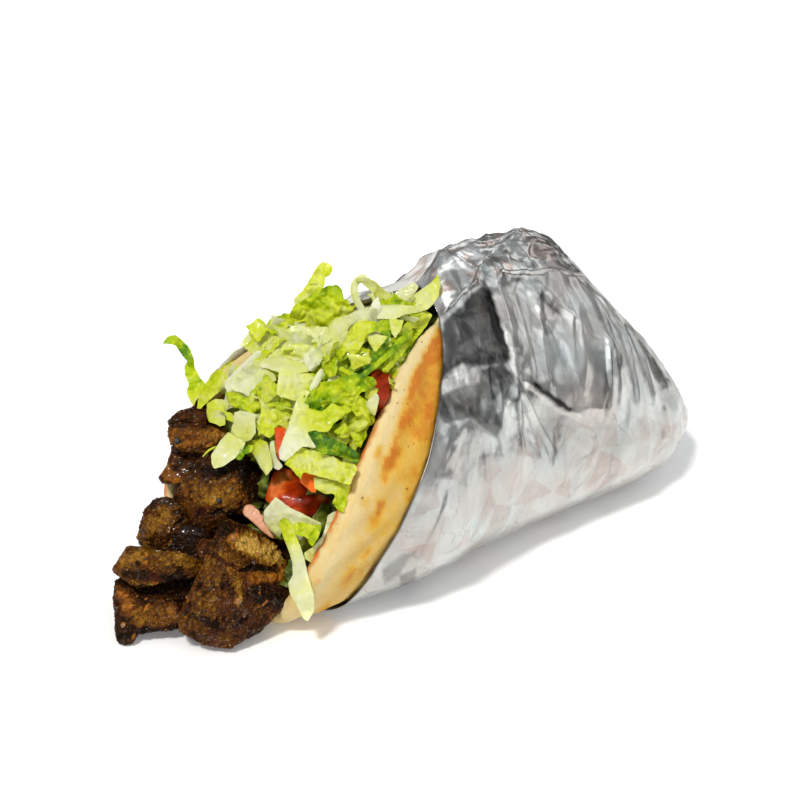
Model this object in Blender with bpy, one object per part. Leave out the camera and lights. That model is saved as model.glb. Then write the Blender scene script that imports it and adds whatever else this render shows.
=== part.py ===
"""Gyro wrap: a folded pita, wrapped in foil from behind, with meat, tomato and
lettuce showing in its slanted mouth.

Frame: +X runs along the wrap towards the closed foil tail, -X is the mouth,
-Y is the near flap, +Z is up.  Z = 0 is the surface the wrap lies on.
Sizes in the tables are centimetres; everything is built in metres.
"""
import bpy
import bmesh
import numpy as np
from math import pi, radians
from mathutils import Vector
from mathutils.bvhtree import BVHTree

CM = 0.01

# ------------------------------------------------------------------ dimensions
SHIFT_X, SHIFT_Y = -7.843, -1.195    # puts the origin under the middle of the whole wrap

TAIL_X = 20.3                 # closed end of the foil
RIDGE = [(-1, 10.3), (4, 10.3), (7, 10.2), (9, 10.5), (11, 10.4), (13, 10.5),
         (15, 9.2), (17, 6.8), (18.5, 5.1), (19.6, 3.5), (20.3, 2.4)]      # height of the top
NEAR_W = [(-1, 3.0), (2, 3.8), (5, 4.3), (8, 3.9), (11, 3.75), (14, 3.7),
          (17, 3.1), (19, 1.85), (20, 1.1), (20.3, 0.5)]                   # half width at -Y
FAR_W = [(-1, 5.4), (2, 5.5), (5, 5.0), (8, 4.3), (11, 3.8), (14, 3.3),
         (17, 2.7), (19, 1.9), (20, 1.0), (20.3, 0.35)]                    # half width at +Y
MIDLINE = [(-1, 0.6), (5, 0.6), (10, 0.5), (15, 0.3), (20.3, 0.0)]
BELLY = [(-1, -0.12), (15, -0.12), (17.5, 0.1), (19, 0.5), (20.3, 1.5)]    # lowest line, cut flat at 0
LEAN = [(-1, 0), (7, 0.2), (10, 0.9), (13, 0.9), (17, 0.4), (20.3, 0)]     # the top leans to +Y
SHARP_NEAR = [(-1, 0.6), (5, 0.65), (9, 0.7), (20.3, 0.6)]                 # how pointed the top is
SHARP_FAR = [(-1, 0.35), (5, 0.45), (9, 0.6), (20.3, 0.6)]
TOP_INSET = 1.6               # an inset layer drops this much faster at the top

# pita: a disc folded along its bottom line; its rim as (degrees round the disc, x, degrees up the side)
PITA_RIM_NEAR = [(0, -0.25, 0), (14, -0.35, 20), (28, -0.3, 42), (42, 0.05, 62), (56, 0.72, 81),
                 (68, 1.8, 100), (80, 3.35, 120), (90, 4.8, 132), (100, 6.4, 143), (112, 8.4, 153),
                 (126, 10.6, 159), (142, 13.5, 156), (156, 16.3, 140), (166, 17.9, 112),
                 (174, 18.8, 62), (180, 19.0, 0)]
PITA_RIM_FAR = [(0, -0.25, 0), (14, -0.4, 20), (28, -0.45, 42), (42, -0.3, 62), (56, 0.35, 81),
                (68, 1.05, 98), (80, 2.0, 117), (90, 3.0, 133), (100, 4.6, 147), (112, 7.2, 156),
                (126, 10.4, 159), (142, 13.5, 156), (156, 16.3, 140), (166, 17.9, 112),
                (174, 18.8, 62), (180, 19.0, 0)]
PITA_CENTRE_X = 9.2
PITA_THICK = 0.62
PITA_INSET = 0.15             # the bread lies this far inside the outline

# foil: where the front edge runs, x against degrees up the side
FOIL_EDGE_NEAR = [(0, 1.9), (20, 1.75), (40, 1.75), (60, 2.1), (80, 3.1), (100, 4.4), (120, 5.92),
                  (130, 6.65), (140, 7.2), (150, 7.5), (165, 7.55), (180, 7.3)]
FOIL_EDGE_FAR = [(0, 1.9), (20, 1.7), (40, 1.5), (60, 1.3), (80, 1.35), (100, 1.7), (120, 2.2),
                 (140, 3.5), (150, 4.9), (160, 6.2), (170, 7.0), (180, 7.3)]
FOIL_INSET = 0.04
FOIL_THICK = 0.06
FOIL_COLS, FOIL_ROWS = 46, 16
CRUMPLE = 0.10                # height of the general crumple
ROOF_CRUMPLE = 0.26           # height of the crumple along the gathered top

FILL_INSET = 0.95             # the filling stays this far inside the outline
HEAP_LIFT = 1.75              # the salad stands this much higher where the top is open
HEAP_SWELL = 1.7              # and swells this far out of the mouth
GAP = 0.04                    # clearance between pieces that touch

# pieces of meat: centre, half sizes along the piece's own axes, rotation (deg), seed
MEAT = {
    "meat_front":  ((-1.42, 0.22, 1.84), (1.66, 1.22, 1.74), (6, 14, -42), 4),
    "meat_corner": ((-3.41, 2.29, 0.80), (1.18, 0.92, 0.84), (0, 3, -40), 5),
    "meat_slab":   ((-2.60, 2.45, 2.36), (1.72, 1.05, 0.62), (-10, 5, -40), 8),
    "meat_left":   ((-1.50, 3.62, 2.85), (1.00, 0.92, 1.05), (8, 12, -38), 11),
    "meat_middle": ((0.26, 2.55, 3.70), (1.62, 1.20, 1.50), (10, -14, -42), 14),
    "meat_under":  ((0.95, 3.90, 4.25), (1.15, 0.90, 0.60), (0, 10, -36), 17),
    "meat_upper":  ((0.42, 4.12, 5.25), (1.12, 0.95, 0.55), (4, 4, -40), 21),
    "meat_top":    ((0.80, 4.95, 5.98), (0.76, 0.72, 0.46), (0, -6, -36), 26),
}
TOMATO = {
    "tomato_slice":  ((1.42, -0.11, 4.55), (1.25, 0.85, 0.85), (18, 18, -42), 31),
    "tomato_strip":  ((1.74, 1.29, 5.85), (0.32, 0.85, 0.80), (0, 0, -42), 34),
    "tomato_edge":   ((3.91, -1.36, 7.54), (0.42, 0.75, 0.72), (20, 12, -42), 37),
    "tomato_pale":   ((0.25, 0.62, 3.70), (0.60, 0.60, 0.46), (0, 28, -42), 41),
}
CHUNK_COLOUR = {"meat": (0.115, 0.050, 0.018), "tomato": (0.36, 0.035, 0.008)}


# --------------------------------------------------------------------- helpers
def table(pts, x):
    """Smooth curve without overshoot through the stations of a table."""
    p = np.array(pts, float)
    X, Y = p[:, 0], p[:, 1]
    h = np.diff(X)
    d = np.diff(Y) / h
    m = np.zeros(len(X))
    m[0], m[-1] = d[0], d[-1]
    for i in range(1, len(X) - 1):
        if d[i - 1] * d[i] > 0:
            a, b = 2 * h[i] + h[i - 1], h[i] + 2 * h[i - 1]
            m[i] = (a + b) / (a / d[i - 1] + b / d[i])
    x = np.clip(np.asarray(x, float), X[0], X[-1])
    i = np.clip(np.searchsorted(X, x) - 1, 0, len(X) - 2)
    t = (x - X[i]) / h[i]
    return ((1 + 2 * t) * (1 - t) ** 2 * Y[i] + t * (1 - t) ** 2 * h[i] * m[i]
            + t * t * (3 - 2 * t) * Y[i + 1] + t * t * (t - 1) * h[i] * m[i + 1])


def smooth(t):
    t = np.clip(t, 0, 1)
    return t * t * (3 - 2 * t)


_A = np.linspace(0, pi, 1500)
_M = np.linspace(0.1, 1.0, 30)
_K = np.array([1 / np.max(np.sin(_A) * np.maximum(np.cos(_A / 2), 0) ** m) for m in _M])


def wall(x, v, d=0.0):
    """Point of the wrap's leaf-shaped cross-section at x.

    v runs from 0 at the bottom to -pi (near side) or +pi (far side) at the top
    ridge, and d is how far the layer is inset from the outline.
    """
    x, v, d = np.broadcast_arrays(np.asarray(x, float), np.asarray(v, float), np.asarray(d, float))
    top = table(RIDGE, x) - TOP_INSET * d
    low = table(BELLY, x) + d
    near, far = table(NEAR_W, x), table(FAR_W, x)
    sharp = np.where(v < 0, table(SHARP_NEAR, x), table(SHARP_FAR, x))
    a = np.abs(v)
    side = np.sin(a) * np.maximum(np.cos(a / 2), 0) ** sharp * np.interp(sharp, _M, _K)
    width = np.maximum(np.where(v < 0, near, far) - d, 0.02)
    rise = (1 - np.cos(a)) / 2
    y = table(MIDLINE, x) + np.sign(v) * width * side + table(LEAN, x) * rise ** 3
    z = low + np.maximum(top - low, 0.05) * rise
    return np.stack([x, y, np.maximum(z, np.maximum(d, 0) * 1.0)], -1)


def waves(p, seed, scale, octaves=3):
    """Smooth, repeatable unevenness between -1 and 1 at points p."""
    rng = np.random.default_rng(seed)
    p = np.asarray(p, float)
    out = np.zeros(p.shape[:-1])
    total = 0
    for o in range(octaves):
        for _ in range(4):
            k = rng.normal(size=3)
            k *= 2 ** o / (scale * np.linalg.norm(k))
            w = 0.5 ** o
            out += w * np.sin(p @ k * 2 * pi + rng.uniform(0, 2 * pi))
            total += w * 0.5
    return np.clip(out / total, -1, 1)


def body(name, verts, faces, colour, rough, metal=0.0, coat=0.0):
    """Mesh object in metres with its own material, faces pointing out."""
    v = (np.asarray(verts, float) + (SHIFT_X, SHIFT_Y, 0)) * CM
    me = bpy.data.meshes.new(name)
    me.from_pydata([tuple(p) for p in v], [], faces)
    bm = bmesh.new()
    bm.from_mesh(me)
    bmesh.ops.triangulate(bm, faces=bm.faces[:])
    bmesh.ops.recalc_face_normals(bm, faces=bm.faces[:])
    if bm.calc_volume(signed=True) < 0:
        bmesh.ops.reverse_faces(bm, faces=bm.faces[:])
    bm.to_mesh(me)
    bm.free()
    me.shade_smooth()
    ob = bpy.data.objects.new(name, me)
    bpy.context.scene.collection.objects.link(ob)
    mat = bpy.data.materials.new(name)
    mat.use_nodes = True
    bsdf = mat.node_tree.nodes["Principled BSDF"]
    bsdf.inputs["Base Color"].default_value = (*colour, 1)
    bsdf.inputs["Roughness"].default_value = rough
    bsdf.inputs["Metallic"].default_value = metal
    bsdf.inputs["Coat Weight"].default_value = coat
    me.materials.append(mat)
    return ob


def grid_faces(rows, cols, close_cols=True, start=0):
    """Quads of a grid stored row by row; the columns join up round the body."""
    f = []
    for i in range(rows - 1):
        for j in range(cols if close_cols else cols - 1):
            k = (j + 1) % cols
            f.append((start + i * cols + j, start + i * cols + k,
                      start + (i + 1) * cols + k, start + (i + 1) * cols + j))
    return f


def fan(ring, pole):
    n = len(ring)
    return [(ring[j], ring[(j + 1) % n], pole) for j in range(n)]


# ------------------------------------------------------------------------ foil
def foil_edge(v):
    a = np.degrees(np.abs(v))
    return np.where(v < 0, table(FOIL_EDGE_NEAR, a), table(FOIL_EDGE_FAR, a))


def foil_relief(x, v):
    """How far the foil stands off the bread, in cm: folds down the sides and
    a gathered, crumpled top."""
    a = np.degrees(np.abs(v))
    p = wall(x, v)
    fade = smooth((x - foil_edge(v) - 0.2) / 1.5) * smooth((a - 28) / 30) * smooth((TAIL_X - x) / 1.2)
    curtain = 1 - np.abs(np.sin(p[..., 0] * 1.35 + p[..., 2] * 0.42 + 0.9 * np.sin(p[..., 2] * 0.5)))
    lumps = 0.5 + 0.5 * waves(p, 7, 4.2, 2)
    roof = smooth((a - 138) / 30) * smooth((14.6 - x) / 2.0)
    gather = 0.5 + 0.5 * waves(p, 12, 2.6, 2)
    return fade * (CRUMPLE * (0.55 * curtain + 0.6 * lumps) + ROOF_CRUMPLE * roof * gather)


def make_foil():
    v = -pi + 2 * pi * np.arange(FOIL_COLS) / FOIL_COLS
    edge = foil_edge(v)
    verts, rows = [], FOIL_ROWS
    for layer in (0, 1):
        thick = FOIL_THICK * layer
        end = TAIL_X - 0.12 * layer
        for i in range(rows):
            t = i / (rows - 1)
            t = t + 0.28 * t * (1 - t)            # closer rows towards the tail
            x = edge + (end - edge) * t
            p = wall(x, v, FOIL_INSET + thick - foil_relief(x, v))
            p[:, 2] = np.where(np.abs(v) < radians(60), np.maximum(p[:, 2] - FOIL_INSET, thick), p[:, 2])
            verts += list(p)
    n = rows * FOIL_COLS
    faces = grid_faces(rows, FOIL_COLS) + grid_faces(rows, FOIL_COLS, start=n)
    faces += [(j, (j + 1) % FOIL_COLS, n + (j + 1) % FOIL_COLS, n + j) for j in range(FOIL_COLS)]
    verts.append(np.mean(verts[n - FOIL_COLS:n], axis=0) + (0.10, 0, 0))
    verts.append(np.mean(verts[2 * n - FOIL_COLS:2 * n], axis=0) + (0.02, 0, 0))
    faces += fan(list(range(n - FOIL_COLS, n)), len(verts) - 2)
    faces += fan(list(range(2 * n - FOIL_COLS, 2 * n)), len(verts) - 1)
    return body("foil", verts, faces, (0.62, 0.63, 0.64), 0.24, metal=1.0)


# ------------------------------------------------------------------------ pita
def pita_inset(x, v):
    return PITA_INSET + 0.10 * smooth((x - 15) / 2) + 0 * v


def make_pita():
    cols, radial, nose = 44, 8, 4
    phi = 360 * np.arange(cols) / cols
    near = phi <= 180
    ang = np.where(near, phi, 360 - phi)
    rim_x = np.where(near, table([(p, x) for p, x, _ in PITA_RIM_NEAR], ang),
                     table([(p, x) for p, x, _ in PITA_RIM_FAR], ang))
    rim_v = np.radians(np.where(near, -table([(p, v) for p, _, v in PITA_RIM_NEAR], ang),
                                table([(p, v) for p, _, v in PITA_RIM_FAR], ang)))
    half = PITA_THICK / 2
    # local reach from the disc's centre to its rim, for the round of the edge
    inner = wall(PITA_CENTRE_X + 0.93 * (rim_x - PITA_CENTRE_X), 0.93 * rim_v)
    reach = np.linalg.norm(wall(rim_x, rim_v) - inner, axis=1) / 0.07

    def ring(r, depth):
        x = PITA_CENTRE_X + r * (rim_x - PITA_CENTRE_X)
        v = r * rim_v
        return list(wall(x, v, pita_inset(x, v) + depth))

    verts, rings = [], 0
    back = 1 - half / reach
    for i in range(1, radial + 1):
        verts += ring(back * (i / radial) ** 0.9, 0.0)
        rings += 1
    for i in range(1, nose):
        t = pi * i / nose
        verts += ring(back + half / reach * np.sin(t), half - half * np.cos(t))
        rings += 1
    for i in range(radial, 0, -1):
        verts += ring(back * (i / radial) ** 0.9, PITA_THICK)
        rings += 1
    faces = grid_faces(rings, cols)
    c = wall(PITA_CENTRE_X, 0.0, pita_inset(PITA_CENTRE_X, 0.0))
    c2 = wall(PITA_CENTRE_X, 0.0, pita_inset(PITA_CENTRE_X, 0.0) + PITA_THICK)
    verts += [c, c2]
    n = rings * cols
    faces += fan(list(range(cols)), n)
    faces += fan(list(range(n - cols, n)), n + 1)
    return body("pita", verts, faces, (0.72, 0.50, 0.24), 0.75)


# -------------------------------------------------------------- chunky pieces
def rotation(deg):
    ax, ay, az = (radians(a) for a in deg)
    cx, sx, cy, sy, cz, sz = np.cos(ax), np.sin(ax), np.cos(ay), np.sin(ay), np.cos(az), np.sin(az)
    return (np.array([[cz, -sz, 0], [sz, cz, 0], [0, 0, 1]])
            @ np.array([[cy, 0, sy], [0, 1, 0], [-sy, 0, cy]])
            @ np.array([[1, 0, 0], [0, cx, -sx], [0, sx, cx]]))


def sphere(levels):
    bm = bmesh.new()
    bmesh.ops.create_icosphere(bm, subdivisions=levels, radius=1)
    d = np.array([v.co[:] for v in bm.verts])
    d /= np.linalg.norm(d, axis=1)[:, None]
    f = [tuple(v.index for v in face.verts) for face in bm.faces]
    bm.free()
    return d, f


def chunk_radius(d, half, rot, seed, edge=9):
    """Distance from the middle to the surface of a hewn, rounded block."""
    rng = np.random.default_rng(seed)
    q = d @ rot                       # directions in the piece's own axes
    total = np.zeros(len(d))
    for axis in range(3):
        for sign in (-1, 1):
            n = np.zeros(3)
            n[axis] = sign
            n += rng.normal(0, 0.16, 3)
            n /= np.linalg.norm(n)
            h = half[axis] * rng.uniform(0.9, 1.06)
            total += np.maximum(q @ n / h, 0) ** edge
    for _ in range(5):
        n = rng.choice((-1, 1), 3) * rng.uniform(0.4, 1, 3)
        n /= np.linalg.norm(n)
        h = np.abs(n) @ np.array(half) * rng.uniform(0.66, 0.84)
        total += np.maximum(q @ n / h, 0) ** edge
    r = total ** (-1 / edge)
    return r * (1 + 0.05 * waves(d * r[:, None], seed + 100, 1.6, 2))


def tree(obs):
    """One search tree over several finished objects."""
    v, f = [], []
    for ob in obs:
        n = len(v)
        v += [tuple(p.co) for p in ob.data.vertices]
        f += [tuple(n + i for i in p.vertices) for p in ob.data.polygons]
    return BVHTree.FromPolygons(v, f)


def place(p):
    return Vector((np.asarray(p, float) + (SHIFT_X, SHIFT_Y, 0)) * CM)


def make_chunk(name, spec, done, levels=3, gap=GAP):
    """A chunk grows from its centre and stops short of whatever it meets."""
    centre, half, rot, seed = spec
    d, faces = sphere(levels)
    r = chunk_radius(d, half, rotation(rot), seed)
    near = tree(done)
    c = place(centre)
    floor = np.where(d[:, 2] < -1e-6, centre[2] / np.maximum(-d[:, 2], 1e-6), 1e3)
    r = np.minimum(r, floor)
    for i, k in enumerate(d):
        loc, _, _, dist = near.ray_cast(c, Vector(k), r[i] * CM + 0.01)
        if loc is not None:
            r[i] = max(min(r[i], dist / CM - 1.5 * gap), 0.1)
    # give way, a little at a time, wherever the surface still meets a neighbour
    for _ in range(60):
        reach = np.minimum(r + gap, floor + gap)
        mine = BVHTree.FromPolygons([tuple(c + Vector(k) * a * CM) for k, a in zip(d, reach)], faces)
        touch = {i for a, _ in mine.overlap(near) for i in faces[a]}
        if not touch:
            break
        for i in touch:
            r[i] = max(r[i] - 0.03, 0.1)
    kind = name.split("_")[0]
    p = d * r[:, None] + np.array(centre)
    ob = body(name, p, faces, CHUNK_COLOUR[kind], 0.45, coat=0.4)
    return ob, (d, r, centre, faces)


# ---------------------------------------------------------------- the filling
def cutter(grown, extra):
    d, r, centre, faces = grown
    ob = body("cutter", d * (r + extra)[:, None] + np.array(centre), faces, (1, 0, 0), 1)
    ob.hide_render = True
    ob.display_type = "WIRE"
    return ob


def loft(loops, front, back):
    """Closed body through loops of equal length with a point at each end."""
    n = len(loops[0])
    verts = [p for l in loops for p in l] + [front, back]
    faces = grid_faces(len(loops), n)
    faces += fan(list(range(n)), len(verts) - 2)
    faces += fan(list(range((len(loops) - 1) * n, len(loops) * n)), len(verts) - 1)
    return verts, faces


def mouth_x(v, cap):
    a = np.degrees(np.abs(v))
    near = table([(b, x) for _, x, b in PITA_RIM_NEAR[:11]], a)
    far = table([(b, x) for _, x, b in PITA_RIM_FAR[:11]], a)
    return np.minimum(np.where(v < 0, near, far), cap)


def filling_loop(v_from, v_to, count, across, start, end, t, inset, cap, squeeze, lift=0.0):
    """Loop along the wall from one angle to another, closed by a line across."""
    v = np.radians(np.linspace(v_from, v_to, count))
    v = (v + pi) % (2 * pi) - pi
    x0 = mouth_x(v, cap) + (start if not lift else -0.45)
    x = x0 + (end - x0) * t
    a = np.degrees(np.abs(v))
    p = wall(x, v, inset + squeeze - (0.45 * smooth((a - 165) / 12) if not lift else 0))
    hood = np.where(v > 0, smooth((a - 144) / 14), smooth((a - 160) / 20))   # nothing rises into the foil
    p[:, 2] += lift * smooth((a - 105) / 40) * (1 - hood)
    a, b = p[-1], p[0]
    line = [a + (b - a) * (i + 1) / (across + 1) for i in range(across)]
    return np.vstack([p, line])


def make_lettuce():
    count, across = 20, 6
    args = dict(v_from=-38, v_to=-256,          # up the near side, over the top, down the far side
                count=count, across=across, start=0.25, end=17.9,
                inset=FILL_INSET, cap=6.9)
    base = filling_loop(t=0.0, squeeze=0.0, lift=HEAP_LIFT, **args)
    mid = base.mean(axis=0)
    out = np.array([-0.56, -0.22, 0.80])
    loops = []
    for rho in (0.3, 0.55, 0.75, 0.9):
        ring = mid + (base - mid) * rho
        ring = ring + out * (HEAP_SWELL * (1 - rho ** 2) * smooth((ring[:, 2] - 3.0) / 3.5))[:, None]
        ring = ring + out * (0.32 * (1 - rho ** 4) * waves(ring, 51, 2.4, 2))[:, None]
        loops.append(ring)
    loops.append(base)
    for t in (0.0, 0.12, 0.26, 0.42, 0.6, 0.78, 0.9, 0.98):
        loops.append(filling_loop(t=t, squeeze=0.45 * smooth((t - 0.6) / 0.4), **args))
    tip = loops[-1].mean(axis=0) + (0.25, 0, 0)
    v, f = loft(loops, mid + out * HEAP_SWELL, tip)
    return body("lettuce", v, f, (0.50, 0.56, 0.12), 0.5)


def make_meat_bed():
    count, across = 15, 6
    args = dict(v_from=-33, v_to=98, count=count, across=across, start=0.7, end=17.6,
                inset=FILL_INSET, cap=6.9)
    base = filling_loop(t=0.0, squeeze=0.0, **args)
    mid = base.mean(axis=0)
    out = np.array([-0.9, -0.25, 0.3])
    loops = []
    for rho in (0.35, 0.7):
        ring = mid + (base - mid) * rho + out * 0.35 * (1 - rho ** 2)
        ring = ring + out * (0.2 * waves(ring, 61, 1.8, 2))[:, None]
        loops.append(ring)
    loops.append(base)
    for t in (0.12, 0.26, 0.42, 0.6, 0.78, 0.9, 0.98):
        loops.append(filling_loop(t=t, squeeze=0.45 * smooth((t - 0.6) / 0.4), **args))
    tip = loops[-1].mean(axis=0) + (0.3, 0, 0)
    v, f = loft(loops, mid + out * 0.35, tip)
    return body("meat_bed", v, f, (0.10, 0.045, 0.016), 0.5, coat=0.3)


def carve(ob, cutters):
    """Make room in a filling for the pieces that sit in it."""
    for c in cutters:
        m = ob.modifiers.new("room", "BOOLEAN")
        m.operation = "DIFFERENCE"
        m.solver = "EXACT"
        m.object = c
    bpy.context.view_layer.update()
    ev = ob.evaluated_get(bpy.context.evaluated_depsgraph_get())
    me = bpy.data.meshes.new_from_object(ev)
    ob.modifiers.clear()
    bm = bmesh.new()
    bm.from_mesh(me)
    bmesh.ops.remove_doubles(bm, verts=bm.verts[:], dist=0.00003)
    bmesh.ops.dissolve_degenerate(bm, edges=bm.edges[:], dist=0.00003)
    bmesh.ops.triangulate(bm, faces=bm.faces[:])
    # keep the largest closed piece, drop crumbs left between cutters
    seen, groups = set(), []
    for v in bm.verts:
        if v in seen:
            continue
        stack, group = [v], []
        seen.add(v)
        while stack:
            w = stack.pop()
            group.append(w)
            for e in w.link_edges:
                o = e.other_vert(w)
                if o not in seen:
                    seen.add(o)
                    stack.append(o)
        groups.append(group)
    groups.sort(key=len)
    for g in groups[:-1]:
        bmesh.ops.delete(bm, geom=g, context="VERTS")
    bm.to_mesh(ob.data)
    bm.free()
    ob.data.shade_smooth()
    ob.data.set_sharp_from_angle(angle=radians(50))


def main():
    for ob in list(bpy.data.objects):
        bpy.data.objects.remove(ob, do_unlink=True)
    foil = make_foil()
    pita = make_pita()
    done, grown = [foil, pita], []
    for name, spec in MEAT.items():
        ob, g = make_chunk(name, spec, done, levels=2 if name in ("meat_under", "meat_top") else 3)
        done.append(ob)
        grown.append(g)
    for name, spec in TOMATO.items():
        ob, g = make_chunk(name, spec, done, levels=2 if name != "tomato_slice" else 3)
        done.append(ob)
        grown.append(g)
    cutters = [cutter(g, GAP * 1.3) for g in grown]
    carve(make_lettuce(), cutters)
    carve(make_meat_bed(), cutters)
    for c in cutters:
        bpy.data.objects.remove(c, do_unlink=True)


main()
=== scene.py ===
"""Looks of the gyro wrap: crumpled foil, toasted pita, seared meat, tomato and
shredded lettuce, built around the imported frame.

Lengths in the tables are centimetres in the wrap's own frame, the same as the
frame's but for SHIFT; meshes are made in metres.
"""
from math import cos, pi, radians, sin

import bmesh
import bpy
import numpy as np
from mathutils import Matrix, Vector
from mathutils.bvhtree import BVHTree
from mathutils.geometry import delaunay_2d_cdt


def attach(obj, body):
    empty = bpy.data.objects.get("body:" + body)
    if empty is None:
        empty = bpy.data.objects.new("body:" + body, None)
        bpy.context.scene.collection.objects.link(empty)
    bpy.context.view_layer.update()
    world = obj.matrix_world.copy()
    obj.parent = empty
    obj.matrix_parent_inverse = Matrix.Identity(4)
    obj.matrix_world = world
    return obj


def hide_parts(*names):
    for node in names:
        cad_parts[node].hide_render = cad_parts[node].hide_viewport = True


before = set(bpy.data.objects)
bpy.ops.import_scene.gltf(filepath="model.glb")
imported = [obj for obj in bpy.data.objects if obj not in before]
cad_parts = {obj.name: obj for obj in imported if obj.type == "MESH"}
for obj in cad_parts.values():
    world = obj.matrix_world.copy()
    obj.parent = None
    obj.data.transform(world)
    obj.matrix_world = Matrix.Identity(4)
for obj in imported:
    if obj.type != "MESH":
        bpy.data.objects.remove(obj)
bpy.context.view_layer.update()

CM = 0.01
SHIFT = np.array([-7.843, -1.195, 0.0])

# ---------------------------------------------------------------- dimensions
TAIL_X = 20.3
RIDGE = [(-1, 10.3), (4, 10.3), (7, 10.2), (9, 10.5), (11, 10.4), (13, 10.5),
         (15, 9.2), (17, 6.8), (18.5, 5.1), (19.6, 3.5), (20.3, 2.4)]
NEAR_W = [(-1, 3.0), (2, 3.8), (5, 4.3), (8, 3.9), (11, 3.75), (14, 3.7),
          (17, 3.1), (19, 1.85), (20, 1.1), (20.3, 0.5)]
FAR_W = [(-1, 5.4), (2, 5.5), (5, 5.0), (8, 4.3), (11, 3.8), (14, 3.3),
         (17, 2.7), (19, 1.9), (20, 1.0), (20.3, 0.35)]
MIDLINE = [(-1, 0.6), (5, 0.6), (10, 0.5), (15, 0.3), (20.3, 0.0)]
BELLY = [(-1, -0.12), (15, -0.12), (17.5, 0.1), (19, 0.5), (20.3, 1.5)]
LEAN = [(-1, 0), (7, 0.2), (10, 0.9), (13, 0.9), (17, 0.4), (20.3, 0)]
SHARP_NEAR = [(-1, 0.6), (5, 0.65), (9, 0.7), (20.3, 0.6)]
SHARP_FAR = [(-1, 0.35), (5, 0.45), (9, 0.6), (20.3, 0.6)]
TOP_INSET = 1.6

PITA_RIM_NEAR = [(0, -0.25, 0), (14, -0.35, 20), (28, -0.3, 42), (42, 0.05, 62), (56, 0.72, 81),
                 (68, 1.8, 100), (80, 3.35, 120), (90, 4.8, 132), (100, 6.4, 143), (112, 8.4, 153),
                 (126, 10.6, 159), (142, 13.5, 156), (156, 16.3, 140), (166, 17.9, 112),
                 (174, 18.8, 62), (180, 19.0, 0)]
PITA_RIM_FAR = [(0, -0.25, 0), (14, -0.4, 20), (28, -0.45, 42), (42, -0.3, 62), (56, 0.35, 81),
                (68, 1.05, 98), (80, 2.0, 117), (90, 3.0, 133), (100, 4.6, 147), (112, 7.2, 156),
                (126, 10.4, 159), (142, 13.5, 156), (156, 16.3, 140), (166, 17.9, 112),
                (174, 18.8, 62), (180, 19.0, 0)]
PITA_CENTRE_X = 9.2
PITA_THICK = 0.62
PITA_INSET = 0.15

FOIL_EDGE_NEAR = [(0, 1.9), (20, 1.75), (40, 1.75), (60, 2.1), (80, 3.1), (100, 4.4), (120, 5.92),
                  (130, 6.65), (140, 7.2), (150, 7.5), (165, 7.55), (180, 7.3)]
FOIL_EDGE_FAR = [(0, 1.9), (20, 1.7), (40, 1.5), (60, 1.3), (80, 1.35), (100, 1.7), (120, 2.2),
                 (140, 3.5), (150, 4.9), (160, 6.2), (170, 7.0), (180, 7.3)]
FOIL_INSET = 0.04
CRUMPLE = 0.10
ROOF_CRUMPLE = 0.26

# the meat's and tomato's middles, from which their surfaces are measured
CENTRES = {
    "meat_front": (-1.42, 0.22, 1.84), "meat_corner": (-3.41, 2.29, 0.80),
    "meat_slab": (-2.60, 2.45, 2.36), "meat_left": (-1.50, 3.62, 2.85),
    "meat_middle": (0.26, 2.55, 3.70), "meat_under": (0.95, 3.90, 4.25),
    "meat_upper": (0.42, 4.12, 5.25), "meat_top": (0.80, 4.95, 5.98),
    "tomato_slice": (1.42, -0.11, 4.55), "tomato_strip": (1.74, 1.29, 5.85),
    "tomato_edge": (3.91, -1.36, 7.54), "tomato_pale": (0.25, 0.62, 3.70),
}

# the open mouth looks this way; leaves are laid out on the plane that faces it
FACE_AZ, FACE_EL = radians(-42), radians(25)
FACE_POINT = np.array([6.8844, 1.0, 5.8679])
VIEW_DIST = 78.0
BACK = np.array([np.sin(FACE_AZ) * np.cos(FACE_EL), -np.cos(FACE_AZ) * np.cos(FACE_EL), np.sin(FACE_EL)])
RIGHT = np.array([np.cos(FACE_AZ), np.sin(FACE_AZ), 0.0])
UP = np.cross(BACK, RIGHT)
EYE = FACE_POINT + BACK * VIEW_DIST


# --------------------------------------------------------------------- helpers
def table(pts, x):
    p = np.array(pts, float)
    X, Y = p[:, 0], p[:, 1]
    h = np.diff(X)
    d = np.diff(Y) / h
    m = np.zeros(len(X))
    m[0], m[-1] = d[0], d[-1]
    for i in range(1, len(X) - 1):
        if d[i - 1] * d[i] > 0:
            a, b = 2 * h[i] + h[i - 1], h[i] + 2 * h[i - 1]
            m[i] = (a + b) / (a / d[i - 1] + b / d[i])
    x = np.clip(np.asarray(x, float), X[0], X[-1])
    i = np.clip(np.searchsorted(X, x) - 1, 0, len(X) - 2)
    t = (x - X[i]) / h[i]
    return ((1 + 2 * t) * (1 - t) ** 2 * Y[i] + t * (1 - t) ** 2 * h[i] * m[i]
            + t * t * (3 - 2 * t) * Y[i + 1] + t * t * (t - 1) * h[i] * m[i + 1])


def smooth(t):
    t = np.clip(t, 0, 1)
    return t * t * (3 - 2 * t)


_A = np.linspace(0, pi, 1500)
_M = np.linspace(0.1, 1.0, 30)
_K = np.array([1 / np.max(np.sin(_A) * np.maximum(np.cos(_A / 2), 0) ** m) for m in _M])


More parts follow.
